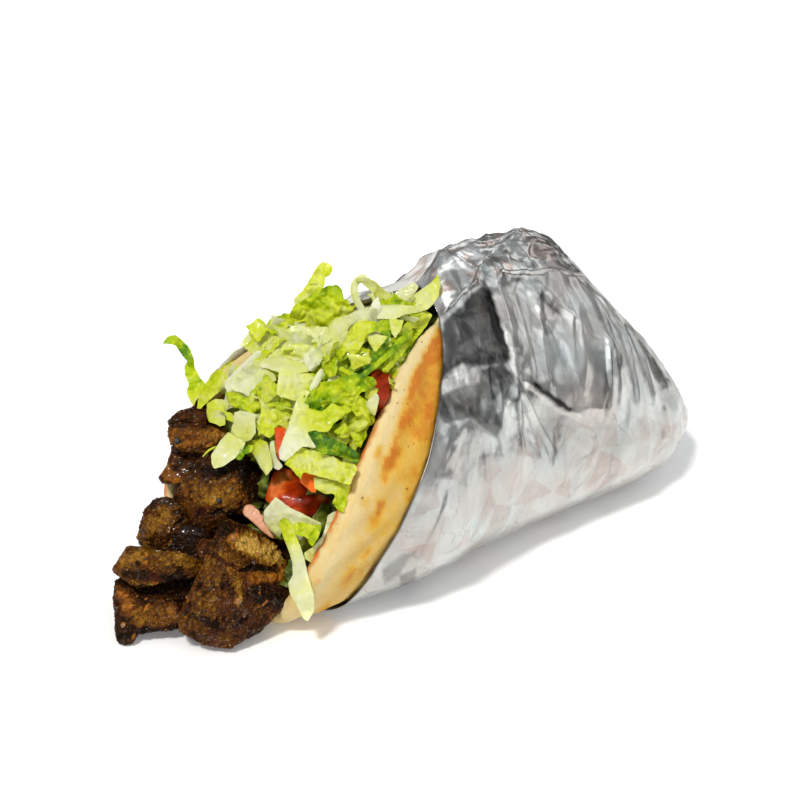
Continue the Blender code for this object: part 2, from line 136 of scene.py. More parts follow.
def wall(x, v, d=0.0):
    """Point of the wrap's leaf-shaped section at x; v is 0 at the bottom, -pi (near) or +pi (far) on top."""
    x, v, d = np.broadcast_arrays(np.asarray(x, float), np.asarray(v, float), np.asarray(d, float))
    top = table(RIDGE, x) - TOP_INSET * d
    low = table(BELLY, x) + d
    near, far = table(NEAR_W, x), table(FAR_W, x)
    sharp = np.where(v < 0, table(SHARP_NEAR, x), table(SHARP_FAR, x))
    a = np.abs(v)
    side = np.sin(a) * np.maximum(np.cos(a / 2), 0) ** sharp * np.interp(sharp, _M, _K)
    width = np.maximum(np.where(v < 0, near, far) - d, 0.02)
    rise = (1 - np.cos(a)) / 2
    y = table(MIDLINE, x) + np.sign(v) * width * side + table(LEAN, x) * rise ** 3
    z = low + np.maximum(top - low, 0.05) * rise
    return np.stack([x, y, np.maximum(z, np.maximum(d, 0) * 1.0)], -1)


def waves(p, seed, scale, octaves=3):
    rng = np.random.default_rng(seed)
    p = np.asarray(p, float)
    out = np.zeros(p.shape[:-1])
    total = 0
    for o in range(octaves):
        for _ in range(4):
            k = rng.normal(size=3)
            k *= 2 ** o / (scale * np.linalg.norm(k))
            w = 0.5 ** o
            out += w * np.sin(p @ k * 2 * pi + rng.uniform(0, 2 * pi))
            total += w * 0.5
    return np.clip(out / total, -1, 1)


def scatter_bits(ix, iy, iz, seed):
    """Repeatable random whole numbers for lattice points."""
    h = (ix * 73856093) ^ (iy * 19349663) ^ (iz * 83492791) ^ (seed * 2654435761)
    h = h & 0xFFFFFFFF
    h = ((h ^ (h >> 16)) * 0x45D9F3B) & 0xFFFFFFFF
    h = ((h ^ (h >> 16)) * 0x45D9F3B) & 0xFFFFFFFF
    return h ^ (h >> 16)


def noise(p, seed=0):
    """Smooth gradient noise, about -1 to 1."""
    p = np.asarray(p, float)
    i = np.floor(p).astype(np.int64)
    f = p - i
    u = f ** 3 * (f * (f * 6 - 15) + 10)
    out = 0.0
    for dx in (0, 1):
        for dy in (0, 1):
            for dz in (0, 1):
                h = scatter_bits(i[..., 0] + dx, i[..., 1] + dy, i[..., 2] + dz, seed)
                a = (h & 0xFFFF) / 65536.0 * 2 * pi
                z = ((h >> 16) & 0xFFFF) / 32768.0 - 1
                r = np.sqrt(np.maximum(1 - z * z, 0))
                g = (r * np.cos(a) * (f[..., 0] - dx) + r * np.sin(a) * (f[..., 1] - dy) + z * (f[..., 2] - dz))
                w = ((u[..., 0] if dx else 1 - u[..., 0]) * (u[..., 1] if dy else 1 - u[..., 1])
                     * (u[..., 2] if dz else 1 - u[..., 2]))
                out = out + g * w
    return out * 1.6


def fbm(p, seed=0, octaves=3, gain=0.5):
    out, w, total = 0.0, 1.0, 0.0
    p = np.asarray(p, float)
    for o in range(octaves):
        out = out + w * noise(p * 2 ** o + 17.3 * o, seed + o)
        total += w
        w *= gain
    return out / total


def cells(p, seed=0):
    """Distances to the nearest and second nearest scattered point."""
    p = np.asarray(p, float)
    i = np.floor(p).astype(np.int64)
    best = np.full(p.shape[:-1], 9.0)
    second = np.full(p.shape[:-1], 9.0)
    for dx in (-1, 0, 1):
        for dy in (-1, 0, 1):
            for dz in (-1, 0, 1):
                c = i + np.array([dx, dy, dz])
                h = scatter_bits(c[..., 0], c[..., 1], c[..., 2], seed)
                q = c + np.stack([(h & 1023) / 1023.0, ((h >> 10) & 1023) / 1023.0, ((h >> 20) & 1023) / 1023.0], -1)
                d = np.linalg.norm(q - p, axis=-1)
                second = np.where(d < best, best, np.minimum(second, d))
                best = np.minimum(best, d)
    return best, second


def facets(q, size, seed, jitter=0.42, flat=False):
    """Height of a sheet creased into random flat triangles, -1 to 1, at flat points q.

    With flat, one value for each triangle instead."""
    q = np.asarray(q, float) / size
    q = q @ np.array([[1.0, 0.26], [-0.21, 1.07]])
    i = np.floor(q).astype(np.int64)
    out = np.zeros(q.shape[:-1])
    done = np.zeros(q.shape[:-1], bool)

    def corner(cx, cy):
        h = scatter_bits(cx, cy, cx * 0 + 7, seed)
        x = cx + jitter * (((h & 1023) / 511.5) - 1)
        y = cy + jitter * ((((h >> 10) & 1023) / 511.5) - 1)
        return x, y, ((h >> 20) & 1023) / 511.5 - 1

    for dx in (0, -1, 1):
        for dy in (0, -1, 1):
            cx, cy = i[..., 0] + dx, i[..., 1] + dy
            P = [corner(cx, cy), corner(cx + 1, cy), corner(cx + 1, cy + 1), corner(cx, cy + 1)]
            flip = (scatter_bits(cx, cy, cx * 0 + 3, seed) & 1) == 1
            for tri in (0, 1):
                ids = ((0, 1, 2), (0, 2, 3)) if tri == 0 else ((0, 1, 3), (1, 2, 3))
                # the cell's diagonal runs one way or the other
                for k in (0, 1):
                    a, b, c = (P[j] for j in ids[k])
                    det = (b[0] - a[0]) * (c[1] - a[1]) - (c[0] - a[0]) * (b[1] - a[1])
                    det = np.where(np.abs(det) < 1e-9, 1e-9, det)
                    px, py = q[..., 0] - a[0], q[..., 1] - a[1]
                    s = (px * (c[1] - a[1]) - (c[0] - a[0]) * py) / det
                    t = ((b[0] - a[0]) * py - px * (b[1] - a[1])) / det
                    hit = (s >= -1e-6) & (t >= -1e-6) & (s + t <= 1 + 1e-6) & (flip == (tri == 1)) & ~done
                    if flat:
                        one = (scatter_bits(cx, cy, cx * 0 + 11 + 2 * tri + k, seed) & 1023) / 511.5 - 1
                    else:
                        one = a[2] + s * (b[2] - a[2]) + t * (c[2] - a[2])
                    out = np.where(hit, one, out)
                    done |= hit
    return out


def piece(name, verts, faces, material, node=(), attrs=None, sharp=None, metres=False):
    """Mesh object in the row frame that stands for its CAD nodes and rides on the root body."""
    v = np.asarray(verts, float) if metres else (np.asarray(verts, float) + SHIFT) * CM
    me = bpy.data.meshes.new(name)
    me.from_pydata(v.tolist(), [], [tuple(int(i) for i in f) for f in faces])
    me.update()
    me.shade_smooth()
    if sharp is not None:
        me.set_sharp_from_angle(angle=radians(sharp))
    for key, values in (attrs or {}).items():
        values = np.asarray(values, np.float32)
        if values.ndim == 1:
            a = me.attributes.new(key, "FLOAT", "POINT")
            a.data.foreach_set("value", values)
        else:
            a = me.attributes.new(key, "FLOAT_COLOR", "POINT")
            rgba = np.ones((len(values), 4), np.float32)
            rgba[:, :3] = values
            a.data.foreach_set("color", rgba.ravel())
    ob = bpy.data.objects.new(name, me)
    bpy.context.scene.collection.objects.link(ob)
    me.materials.append(material)
    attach(ob, "root")
    if node:
        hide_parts(*((node,) if isinstance(node, str) else node))
    return ob


def grid_faces(rows, cols, close=True, start=0):
    j = np.arange(cols if close else cols - 1)
    k = (j + 1) % cols
    out = []
    for i in range(rows - 1):
        a, b = start + i * cols, start + (i + 1) * cols
        out.append(np.stack([a + j, a + k, b + k, b + j], 1))
    return [tuple(f) for f in np.vstack(out)]


def outward(ob):
    """Turns the faces out if the closed mesh is inside out."""
    bm = bmesh.new()
    bm.from_mesh(ob.data)
    if bm.calc_volume(signed=True) < 0:
        bmesh.ops.reverse_faces(bm, faces=bm.faces[:])
        bm.to_mesh(ob.data)
    bm.free()
    return ob


def grid_normals(P, centre):
    """Outward normals of a closed grid of points, rows by columns."""
    du = np.gradient(P, axis=0)
    dv = (np.roll(P, -1, axis=1) - np.roll(P, 1, axis=1)) / 2
    n = np.cross(du, dv)
    n /= np.maximum(np.linalg.norm(n, axis=-1, keepdims=True), 1e-9)
    s = np.sign(np.sum(n * (P - centre), axis=-1, keepdims=True))
    s[s == 0] = 1
    return n * s


def node_mesh(name):
    """A CAD node's corners (cm, wrap's frame) and faces."""
    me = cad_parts[name].data
    v = np.array([p.co[:] for p in me.vertices]) / CM - SHIFT
    return v, [tuple(p.vertices) for p in me.polygons]


def node_tree(*names):
    v, f = [], []
    for n in names:
        a, b = node_mesh(n)
        f += [tuple(len(v) + i for i in t) for t in b]
        v += [Vector(p) for p in a]
    return BVHTree.FromPolygons(v, f)


# ------------------------------------------------------------------- materials
def lin(r, g, b):
    c = np.array([r, g, b], float) / 255
    c = np.where(c <= 0.04045, c / 12.92, ((c + 0.055) / 1.055) ** 2.4)
    return (float(c[0]), float(c[1]), float(c[2]), 1.0)


class Mat:
    """Small helper round one material's node tree."""

    def __init__(self, name):
        self.m = bpy.data.materials.new(name)
        self.m.use_nodes = True
        self.t = self.m.node_tree
        self.t.nodes.clear()
        self.out = self.t.nodes.new("ShaderNodeOutputMaterial")
        self.b = self.t.nodes.new("ShaderNodeBsdfPrincipled")
        self.link(self.b.outputs[0], self.out.inputs["Surface"])
        self.coord = self.t.nodes.new("ShaderNodeTexCoord").outputs["Object"]

    def link(self, a, b):
        self.t.links.new(a, b)

    def set(self, **kw):
        for k, v in kw.items():
            self.b.inputs[k.replace("_", " ")].default_value = v

    def to(self, name, socket):
        self.link(socket, self.b.inputs[name])

    def attr(self, name, colour=False):
        n = self.t.nodes.new("ShaderNodeAttribute")
        n.attribute_name = name
        return n.outputs["Color" if colour else "Fac"]

    def scaled(self, x, y, z, turn=(0, 0, 0)):
        n = self.t.nodes.new("ShaderNodeMapping")
        n.inputs["Scale"].default_value = (x, y, z)
        n.inputs["Rotation"].default_value = turn
        self.link(self.coord, n.inputs["Vector"])
        return n.outputs[0]

    def noise(self, scale, detail=3.0, rough=0.5, coord=None, distortion=0.0):
        n = self.t.nodes.new("ShaderNodeTexNoise")
        n.inputs["Scale"].default_value = scale
        n.inputs["Detail"].default_value = detail
        n.inputs["Roughness"].default_value = rough
        n.inputs["Distortion"].default_value = distortion
        self.link(coord or self.coord, n.inputs["Vector"])
        return n.outputs["Fac"]

    def cells(self, scale, feature="F1", coord=None):
        n = self.t.nodes.new("ShaderNodeTexVoronoi")
        n.feature = feature
        n.inputs["Scale"].default_value = scale
        self.link(coord or self.coord, n.inputs["Vector"])
        return n.outputs["Distance"]

    def ramp(self, fac, stops, smooth_steps=False):
        n = self.t.nodes.new("ShaderNodeValToRGB")
        if smooth_steps:
            n.color_ramp.interpolation = "EASE"
        e = n.color_ramp.elements
        while len(e) < len(stops):
            e.new(0.5)
        for i, (pos, c) in enumerate(stops):
            e[i].position = pos
            e[i].color = c if hasattr(c, "__len__") else (c, c, c, 1)
        self.link(fac, n.inputs["Fac"])
        return n.outputs["Color"]

    def math(self, op, a, b=None, c=None, clamp=False):
        n = self.t.nodes.new("ShaderNodeMath")
        n.operation = op
        n.use_clamp = clamp
        for i, s in enumerate((a, b, c)):
            if s is None:
                continue
            if isinstance(s, (int, float)):
                n.inputs[i].default_value = s
            else:
                self.link(s, n.inputs[i])
        return n.outputs[0]

    def mix(self, fac, a, b, mode="MIX"):
        n = self.t.nodes.new("ShaderNodeMix")
        n.data_type = "RGBA"
        n.blend_type = mode
        for i, s in ((0, fac), (6, a), (7, b)):
            if isinstance(s, (int, float)):
                n.inputs[i].default_value = s
            elif isinstance(s, tuple):
                n.inputs[i].default_value = s
            else:
                self.link(s, n.inputs[i])
        return n.outputs[2]

    def bump(self, height, distance, strength=1.0, after=None):
        n = self.t.nodes.new("ShaderNodeBump")
        n.inputs["Strength"].default_value = strength
        n.inputs["Distance"].default_value = distance
        self.link(height, n.inputs["Height"])
        if after is not None:
            self.link(after, n.inputs["Normal"])
        return n.outputs[0]


def mat_foil():
    m = Mat("foil_crumpled")
    fine = m.scaled(420, 60, 420)
    # the foil's colour is multiplied by two painted tints: painted light and shade, and a warm painted reflection
    shade, warm_reflection = m.attr("shade"), m.attr("warm_reflection")
    m.to("Metallic", m.math("SUBTRACT", 1.0, m.attr("dull")))
    rough = m.ramp(m.noise(55, 4, 0.6), [(0.3, (0.19, 0.19, 0.19, 1)), (0.7, (0.28, 0.28, 0.28, 1))])
    m.to("Roughness", m.math("ADD", rough, m.math("MULTIPLY", m.attr("satin"), 0.16)))
    tint = m.ramp(m.noise(38, 2), [(0.35, lin(202, 208, 206)), (0.65, lin(212, 213, 210))])
    tint = m.mix(warm_reflection, tint, lin(232, 212, 206), "MULTIPLY")
    tint = m.mix(1.0, tint, shade, "MULTIPLY")
    m.to("Base Color", tint)
    rolled = m.bump(m.noise(1.0, 2, 0.5, coord=fine), 0.00003, 0.5)
    m.to("Normal", m.bump(m.noise(700, 3, 0.6), 0.00006, 0.5, after=rolled))
    return m.m


def mat_pita():
    m = Mat("pita_bread")
    toast, rim, line, flour, foil_edge_shadow = (m.attr(k) for k in ("toast", "rim", "edge_line", "flour", "foil_edge_shadow"))
    grain = m.noise(330, 4, 0.66)
    blot = m.noise(95, 4, 0.64)
    # the toasted patches break up a little at their edges
    t = m.math("ADD", toast, m.math("MULTIPLY", m.math("SUBTRACT", blot, 0.5), 0.44), clamp=True)
    t = m.math("ADD", t, m.math("MULTIPLY", m.math("SUBTRACT", grain, 0.5), 0.56), clamp=True)
    base = m.ramp(t, [(0.0, lin(205, 180, 122)), (0.25, lin(202, 165, 84)), (0.5, lin(205, 161, 56)),
                      (0.75, lin(203, 148, 34)), (1.0, lin(190, 110, 14))])
    base = m.mix(m.math("MULTIPLY", rim, 0.62), base, lin(224, 208, 160))
    base = m.mix(m.math("MULTIPLY", flour, 0.30), base, lin(217, 197, 144))
    base = m.mix(m.math("MULTIPLY", line, 0.95), base, lin(204, 100, 8))
    # painted shadow: a dark line on the pita where the foil's edge meets it
    base = m.mix(foil_edge_shadow, base, lin(74, 40, 12))
    spot = m.ramp(m.cells(300), [(0.05, 1.0), (0.13, 0.0)])
    where = m.ramp(m.noise(48, 2), [(0.5, 0.0), (0.6, 1.0)])
    base = m.mix(m.math("MULTIPLY", m.math("MULTIPLY", spot, where), 0.8), base, lin(116, 58, 16))
    rare = m.ramp(m.cells(125), [(0.035, 1.0), (0.070, 0.0)])
    base = m.mix(m.math("MULTIPLY", rare, 0.75), base, lin(110, 56, 18))
    m.to("Base Color", base)
    m.to("Roughness", m.ramp(m.noise(130, 3), [(0.3, 0.42), (0.7, 0.66)]))
    m.set(Subsurface_Weight=0.12, Subsurface_Scale=0.003, Specular_IOR_Level=0.3)
    m.b.inputs["Subsurface Radius"].default_value = (1.0, 0.55, 0.25)
    pores = m.bump(m.noise(700, 4, 0.65), 0.00022, 0.6)
    m.to("Normal", m.bump(m.noise(170, 4, 0.65), 0.0012, 0.7, after=pores))
    return m.m


# ------------------------------------------------------------------------ foil
ROUND = 0.07          # centimetres round the wall for each degree of v


def foil_edge(v):
    a = np.degrees(np.abs(v))
    return np.where(v < 0, table(FOIL_EDGE_NEAR, a), table(FOIL_EDGE_FAR, a))


def foil_relief(x, v):
    a = np.degrees(np.abs(v))
    p = wall(x, v)
    fade = smooth((x - foil_edge(v) - 0.2) / 1.5) * smooth((a - 28) / 30) * smooth((TAIL_X - x) / 1.2)
    curtain = 1 - np.abs(np.sin(p[..., 0] * 1.35 + p[..., 2] * 0.42 + 0.9 * np.sin(p[..., 2] * 0.5)))
    lumps = 0.5 + 0.5 * waves(p, 7, 4.2, 2)
    roof = smooth((a - 138) / 30) * smooth((14.6 - x) / 2.0)
    gather = 0.5 + 0.5 * waves(p, 12, 2.6, 2)
    return fade * (CRUMPLE * (0.55 * curtain + 0.6 * lumps) + ROOF_CRUMPLE * roof * gather)


# folds pressed into the near side: from (x, degrees) to (x, degrees), how wide
# the fold slopes on its mouth or lower side and on its tail or upper side, height
FOLDS = [
    # edge of the sheet laid over the hood, running down to the mouth
    (10.66, -159, 9.04, -148, 1.30, 0.05, 0.15), (9.04, -148, 7.40, -145, 1.10, 0.05, 0.15),
    (9.9, -170, 10.6, -158, 0.6, 0.5, 0.12), (8.6, -166, 9.6, -158, 0.4, 0.7, 0.10), (8.2, -160, 9.3, -155, 0.3, 0.3, 0.06),
    # long fold between the hollow panel and the bulging curtain
    (10.56, -156, 10.1, -138, 0.45, 1.2, 0.10), (10.1, -138, 9.38, -117, 0.40, 1.2, 0.12),
    (9.38, -117, 8.9, -104, 0.35, 0.5, 0.10),
    # hollow panel: slanting facets
    (8.9, -146, 8.2, -124, 0.5, 0.35, 0.07), (7.9, -140, 7.4, -124, 0.3, 0.5, 0.06), (7.2, -124, 8.45, -121, 0.5, 0.35, 0.13),
    (8.45, -121, 8.85, -112, 0.25, 0.55, 0.13), (8.1, -118, 7.4, -106, 0.6, 0.16, 0.13), (6.2, -116, 7.4, -106, 0.3, 0.8, 0.05),
    (8.3, -112, 7.75, -96, 0.35, 0.45, 0.13), (7.0, -104, 8.0, -96, 0.35, 0.25, 0.06),
    # curtain: soft folds hanging from the roof
    (12.0, -138, 11.2, -122, 0.45, 0.28, 0.15), (11.2, -122, 10.5, -104, 0.55, 0.5, 0.15),
    (12.0, -138, 12.75, -122, 0.30, 0.22, 0.14), (12.75, -122, 12.2, -113, 0.5, 0.14, 0.10),
    (13.2, -140, 12.9, -118, 0.5, 0.6, 0.14), (12.9, -118, 12.0, -98, 0.7, 0.5, 0.12),
    (10.9, -140, 10.2, -118, 0.25, 0.3, 0.07), (11.6, -128, 11.9, -118, 0.12, 0.3, 0.08), (13.9, -140, 13.9, -114, 0.35, 0.5, 0.10),
    (13.9, -114, 13.2, -90, 0.10, 0.6, 0.16), (14.5, -134, 14.3, -108, 0.22, 0.4, 0.08), (14.3, -108, 13.7, -90, 0.2, 0.5, 0.10),
    # slit under the curtain's lower lip
    (9.82, -105.0, 10.75, -96.0, 0.08, 1.15, 0.17), (10.75, -96.0, 11.85, -87.5, 0.08, 1.35, 0.17),
    (11.85, -91.0, 12.8, -89.5, 0.25, 0.9, 0.14), (12.8, -89.5, 13.3, -97, 0.4, 0.5, 0.10),
    # folds fanning down from the slit's inner end
    (9.15, -106, 9.75, -80, 0.14, 0.34, 0.15), (9.3, -104, 10.35, -79, 0.30, 0.12, 0.13), (9.75, -80, 10.35, -79, 0.2, 0.2, 0.05),
    (8.95, -103, 8.75, -88, 0.16, 0.3, 0.10), (8.75, -88, 8.65, -72, 0.12, 0.35, 0.06), (9.48, -88, 10.3, -68, 0.12, 0.25, 0.09),
    (10.3, -68, 10.6, -60, 0.1, 0.3, 0.05), (10.7, -84, 11.0, -66, 0.3, 0.3, 0.05), (7.5, -96, 7.9, -78, 0.4, 0.2, 0.05),
    # long folds towards the tail
    (14.9, -134, 15.33, -122, 0.3, 0.3, 0.10), (15.33, -122, 14.79, -92, 0.2, 0.55, 0.14), (16.0, -128, 15.9, -96, 0.16, 0.5, 0.12),
    (16.2, -124, 17.5, -93, 0.22, 0.4, 0.13), (16.9, -122, 18.3, -90, 0.18, 0.4, 0.12), (17.5, -118, 19.0, -84, 0.2, 0.3, 0.10),
    (16.6, -92, 17.2, -66, 0.35, 0.3, 0.06), (15.2, -92, 15.3, -62, 0.45, 0.3, 0.06), (14.2, -88, 13.6, -62, 0.2, 0.5, 0.06),
    (12.4, -86, 12.9, -62, 0.35, 0.25, 0.05), (17.9, -84, 18.6, -58, 0.2, 0.3, 0.07),
    # faint creases low on the side
    (4.65, -81, 3.5, -57, 0.10, 0.45, 0.07), (5.9, -84, 5.3, -60, 0.5, 0.12, 0.04), (6.9, -88, 6.7, -58, 0.12, 0.6, 0.05),
    (3.2, -52, 4.2, -42, 0.15, 0.2, 0.07), (3.6, -46, 4.6, -38, 0.12, 0.18, 0.07), (8.0, -62, 9.4, -46, 0.3, 0.2, 0.04),
    (11.0, -56, 12.6, -44, 0.3, 0.2, 0.04), (5.0, -50, 6.4, -40, 0.2, 0.3, 0.04),
    # step below the gathered roof
    (10.7, -151, 12.3, -144, 0.05, 0.6, 0.12), (12.3, -144, 14.2, -141, 0.05, 0.6, 0.13), (14.2, -141, 15.4, -133, 0.06, 0.5, 0.10),
]


def pressed(q, folds):
    """Height of all the pressed folds at flat points q (x, round)."""
    up = np.zeros(q.shape[:-1])
    for x0, a0, x1, a1, low, high, tall in folds:
        a = np.array([x0, a0 * ROUND])
        b = np.array([x1, a1 * ROUND])
        d = b - a
        length = np.linalg.norm(d)
        d = d / length
        r = q - a
        along = r @ d
        s = d[0] * r[..., 1] - d[1] * r[..., 0]
        side = np.where(s > 0, s / low, -s / high)
        end = np.clip(along, 0, length)
        past = np.abs(along - end)
        taper = np.clip(1 - past / (0.35 + 0.25 * max(low, high)), 0, 1)
        h = tall * np.clip(1 - side, 0, 1) ** 1.25 * taper
        up = np.maximum(up, h) + 0.35 * np.minimum(up, h)
    return up


def far_folds():
    """Folds of the same kind, strewn over the far side."""
    rng = np.random.default_rng(17)
    out = []
    for _ in range(46):
        x = rng.uniform(3.5, 18.6)
        a = rng.uniform(40, 150)
        run = rng.uniform(8, 30)
        lean = rng.normal(0, 0.5)
        w = rng.uniform(0.12, 0.3), rng.uniform(0.35, 1.0)
        if rng.random() < 0.5:
            w = w[::-1]
        out.append((x, a, x + lean, a + run, w[0], w[1], rng.uniform(0.06, 0.2)))
    return out


# painted light and shade on the foil: patches painted lighter and darker where its facets would catch or miss the light
# and reflections, drawn (right, up) on the open face: outline, amount, softness
PAINTED_SHADING = [
    ([(1.49, 2.66), (1.84, 3.07), (2.29, 3.48), (2.93, 4.12), (3.25, 3.71), (3.63, 2.43), (3.91, 1.38),
      (3.63, 1.23), (2.80, 1.18), (2.16, 1.25), (1.77, 1.00), (1.44, 0.71), (1.52, 1.79)], 0.16, 0.09),
    ([(2.93, 4.22), (3.21, 3.77), (3.48, 2.79), (3.91, 1.41), (3.66, 1.46), (3.28, 2.43), (3.03, 3.39)], 0.35, 0.07),
    ([(2.09, 1.92), (2.80, 2.30), (3.12, 2.07), (2.41, 1.53), (1.84, 1.30)], 1.7, 0.08),
    ([(1.65, 3.07), (2.16, 3.39), (2.29, 3.13), (1.77, 2.79)], 1.6, 0.05),
    ([(1.42, 0.13), (1.90, 0.38), (2.80, 0.64), (2.80, 1.07), (3.63, 1.25), (4.00, 0.87), (3.72, 0),
      (3.63, -0.92), (3.41, -1.31), (2.99, -1.05), (2.54, -0.60), (1.65, -0.86), (1.34, -0.57)], 0.33, 0.07),
    ([(2.99, 1.09), (3.63, 1.28), (3.92, 0.96), (3.72, 0.77), (3.18, 0.70)], 0.5, 0.05),
    ([(3.18, -0.10), (3.74, 0.48), (3.62, -0.87), (3.39, -0.51)], 2.1, 0.05),
    ([(2.09, 0.36), (2.67, 0.56), (2.80, 0.13), (2.29, 0)], 1.6, 0.08),
    ([(3.63, 1.12), (4.23, 0.70), (4.33, 0.36), (4.08, -0.51), (3.85, 0.13)], 0.66, 0.05),
    ([(4.79, 3.76), (5.20, 3.71), (5.56, 3.10), (5.38, 2.94), (5.10, 3.43)], 0.42, 0.05),
    ([(5.17, 2.79), (5.51, 2.84), (5.36, 2.30), (5.10, 2.30)], 0.6, 0.06),
    ([(3.82, 3.58), (4.23, 3.65), (4.72, 3.07), (4.62, 2.30), (4.33, 2.56), (4.01, 2.81)], 0.82, 0.08),
    ([(4.23, 4.09), (4.72, 3.90), (4.95, 3.39), (4.67, 3.13), (4.33, 3.52)], 1.08, 0.06),
    ([(6.38, 4.35), (6.59, 4.27), (7.20, 2.79), (7.00, 2.79)], 0.62, 0.07),
    ([(7.43, 1.38), (7.79, 1.60), (7.94, 1.25), (7.64, 0.77), (7.43, 0.92)], 0.52, 0.07),
    ([(7.21, 1.02), (7.47, 1.09), (7.47, 0.13), (7.21, -0.51), (7.12, 0.32)], 0.5, 0.07),
    ([(7.66, 2.69), (7.94, 2.79), (8.56, 1.66), (8.05, 1.73)], 0.8, 0.08),
    ([(8.94, 1.02), (9.48, 1.05), (9.84, 0.32), (9.71, -0.51), (9.26, 0)], 0.74, 0.1),
    ([(1.44, 4.45), (2.80, 4.71), (2.95, 4.53), (1.65, 3.12), (1.39, 2.94), (1.42, 3.84)], 0.74, 0.08),
    ([(1.49, 4.71), (1.80, 5.07), (2.29, 5.32), (2.93, 5.07), (2.87, 4.76), (1.65, 4.56)], 2.1, 0.05),
    ([(2.29, 4.91), (2.93, 4.99), (3.00, 4.58), (2.54, 4.71)], 0.6, 0.04),
    ([(2.93, 4.86), (3.13, 5.04), (3.51, 4.96), (3.39, 4.71), (3.08, 4.66)], 0.45, 0.04),
    ([(3.50, 5.07), (4.23, 4.91), (4.72, 4.81), (4.72, 4.63), (4.08, 4.71), (3.51, 4.86)], 0.62, 0.04),
    ([(4.53, 5.76), (5.29, 5.73), (6.00, 5.35), (6.15, 4.96), (5.23, 5.07), (4.67, 5.30)], 0.72, 0.06),
    ([(4.87, 4.89), (5.64, 4.91), (6.13, 4.71), (6.38, 4.45), (5.74, 4.56), (4.97, 4.66)], 0.55, 0.04),
    ([(5.74, 4.91), (6.25, 4.86), (6.51, 4.53), (6.25, 4.48)], 0.7, 0.04),
    ([(3.31, 5.37), (3.95, 5.63), (4.23, 5.45), (3.64, 5.12)], 0.8, 0.05),
    ([(-0.02, -6.17), (0.37, -6.02), (0.62, -5.83), (0.49, -6.47), (0.03, -6.66)], 0.5, 0.06),
    ([(-0.59, -3.84), (0.62, -3.59), (1.65, -4.10), (1.13, -5.38), (0.11, -6.47), (-0.59, -6.53)], 0.86, 0.2),
    ([(4.72, -1.03), (6.25, -0.83), (9.07, -0.77), (9.20, -2.05), (6.25, -2.56), (4.72, -2.18)], 0.9, 0.2),
    ([(-0.59, -5.95), (0.11, -5.38), (0.47, -5.38), (-0.02, -6.15), (-0.56, -6.47)], 0.62, 0.1),
]
# painted shadow along deep creases: corners, half width, amount
CREASE_SHADOWS = [
    ([(4.53, 0.64), (4.95, 0.38), (5.29, 0.10), (5.77, -0.23), (6.15, -0.46)], 0.11, 0.06),
    ([(3.03, 4.09), (3.39, 2.94), (3.85, 1.53)], 0.04, 0.35),
    ([(4.23, 0.64), (4.08, -0.26), (4.23, -1.03), (4.31, -2.05)], 0.03, 0.55),
    ([(4.23, 0.13), (4.65, -1.03), (5.00, -2.18)], 0.03, 0.6),
    ([(5.38, -1.03), (5.43, -1.79), (5.36, -2.37)], 0.035, 0.55),
    ([(7.28, 2.94), (7.53, 1.92), (7.28, 1.02)], 0.03, 0.6),
    ([(8.05, 2.69), (8.69, 1.66), (9.33, 0.51)], 0.03, 0.65),
    ([(8.43, 2.30), (9.07, 1.15), (9.48, 0.38)], 0.025, 0.7),
    ([(4.72, 4.81), (4.23, 4.48), (3.95, 3.71)], 0.025, 0.6),
    ([(5.23, 4.61), (5.10, 3.84), (4.79, 3.45)], 0.025, 0.65),
    ([(2.80, -1.03), (3.44, -1.35), (3.62, -2.05)], 0.03, 0.7),
]
LONG_FOLD = [(90, 8.6), (104, 8.9), (117, 9.38), (138, 10.1), (156, 10.56), (180, 10.8)]


def foil_tone(P):
    """Painted light and shade of the foil at each point, from the tables of painted patches and painted crease shadows
    above.
    """
    ab = face_ab(P.reshape(-1, 3))
    ab = ab + 0.05 * np.stack([noise(P.reshape(-1, 3) / 0.30, 401), noise(P.reshape(-1, 3) / 0.30, 402)], -1)
    tone = np.ones(len(ab))
    for line, amount, soft in PAINTED_SHADING:
        line = np.array(line)
        lo, hi = line.min(axis=0) - soft * 2, line.max(axis=0) + soft * 2
        k = np.where(((ab > lo) & (ab < hi)).all(axis=1))[0]
        if not len(k):
            continue
        away = from_outline(line, ab[k]) * np.where(in_outline(line, ab[k]), 1, -1)
        m = smooth(0.5 + away / (2 * soft))
        tone[k] *= 1 + (amount - 1) * m
    for line, wide, amount in CREASE_SHADOWS:
        line = np.array(line)
        lo, hi = line.min(axis=0) - 0.3, line.max(axis=0) + 0.3
        k = np.where(((ab > lo) & (ab < hi)).all(axis=1))[0]
        if not len(k):
            continue
        gap, along = np.full(len(k), 9.0), np.zeros(len(k))
        for i, (p, q) in enumerate(zip(line[:-1], line[1:])):
            d = q - p
            t = np.clip(((ab[k] - p) @ d) / (d @ d), 0, 1)
            dist = np.linalg.norm(ab[k] - p - t[:, None] * d, axis=1)
            along = np.where(dist < gap, (i + t) / (len(line) - 1), along)
            gap = np.minimum(gap, dist)
        w = max(wide, 0.055) * (0.40 + 0.60 * np.sin(np.clip(along, 0.02, 0.98) * pi) ** 0.6)
        m = smooth(1.6 - gap / w) * smooth(along / 0.12) * smooth((1 - along) / 0.12)
        tone[k] *= 1 + (amount - 1) * m
    return tone.reshape(P.shape[:-1])


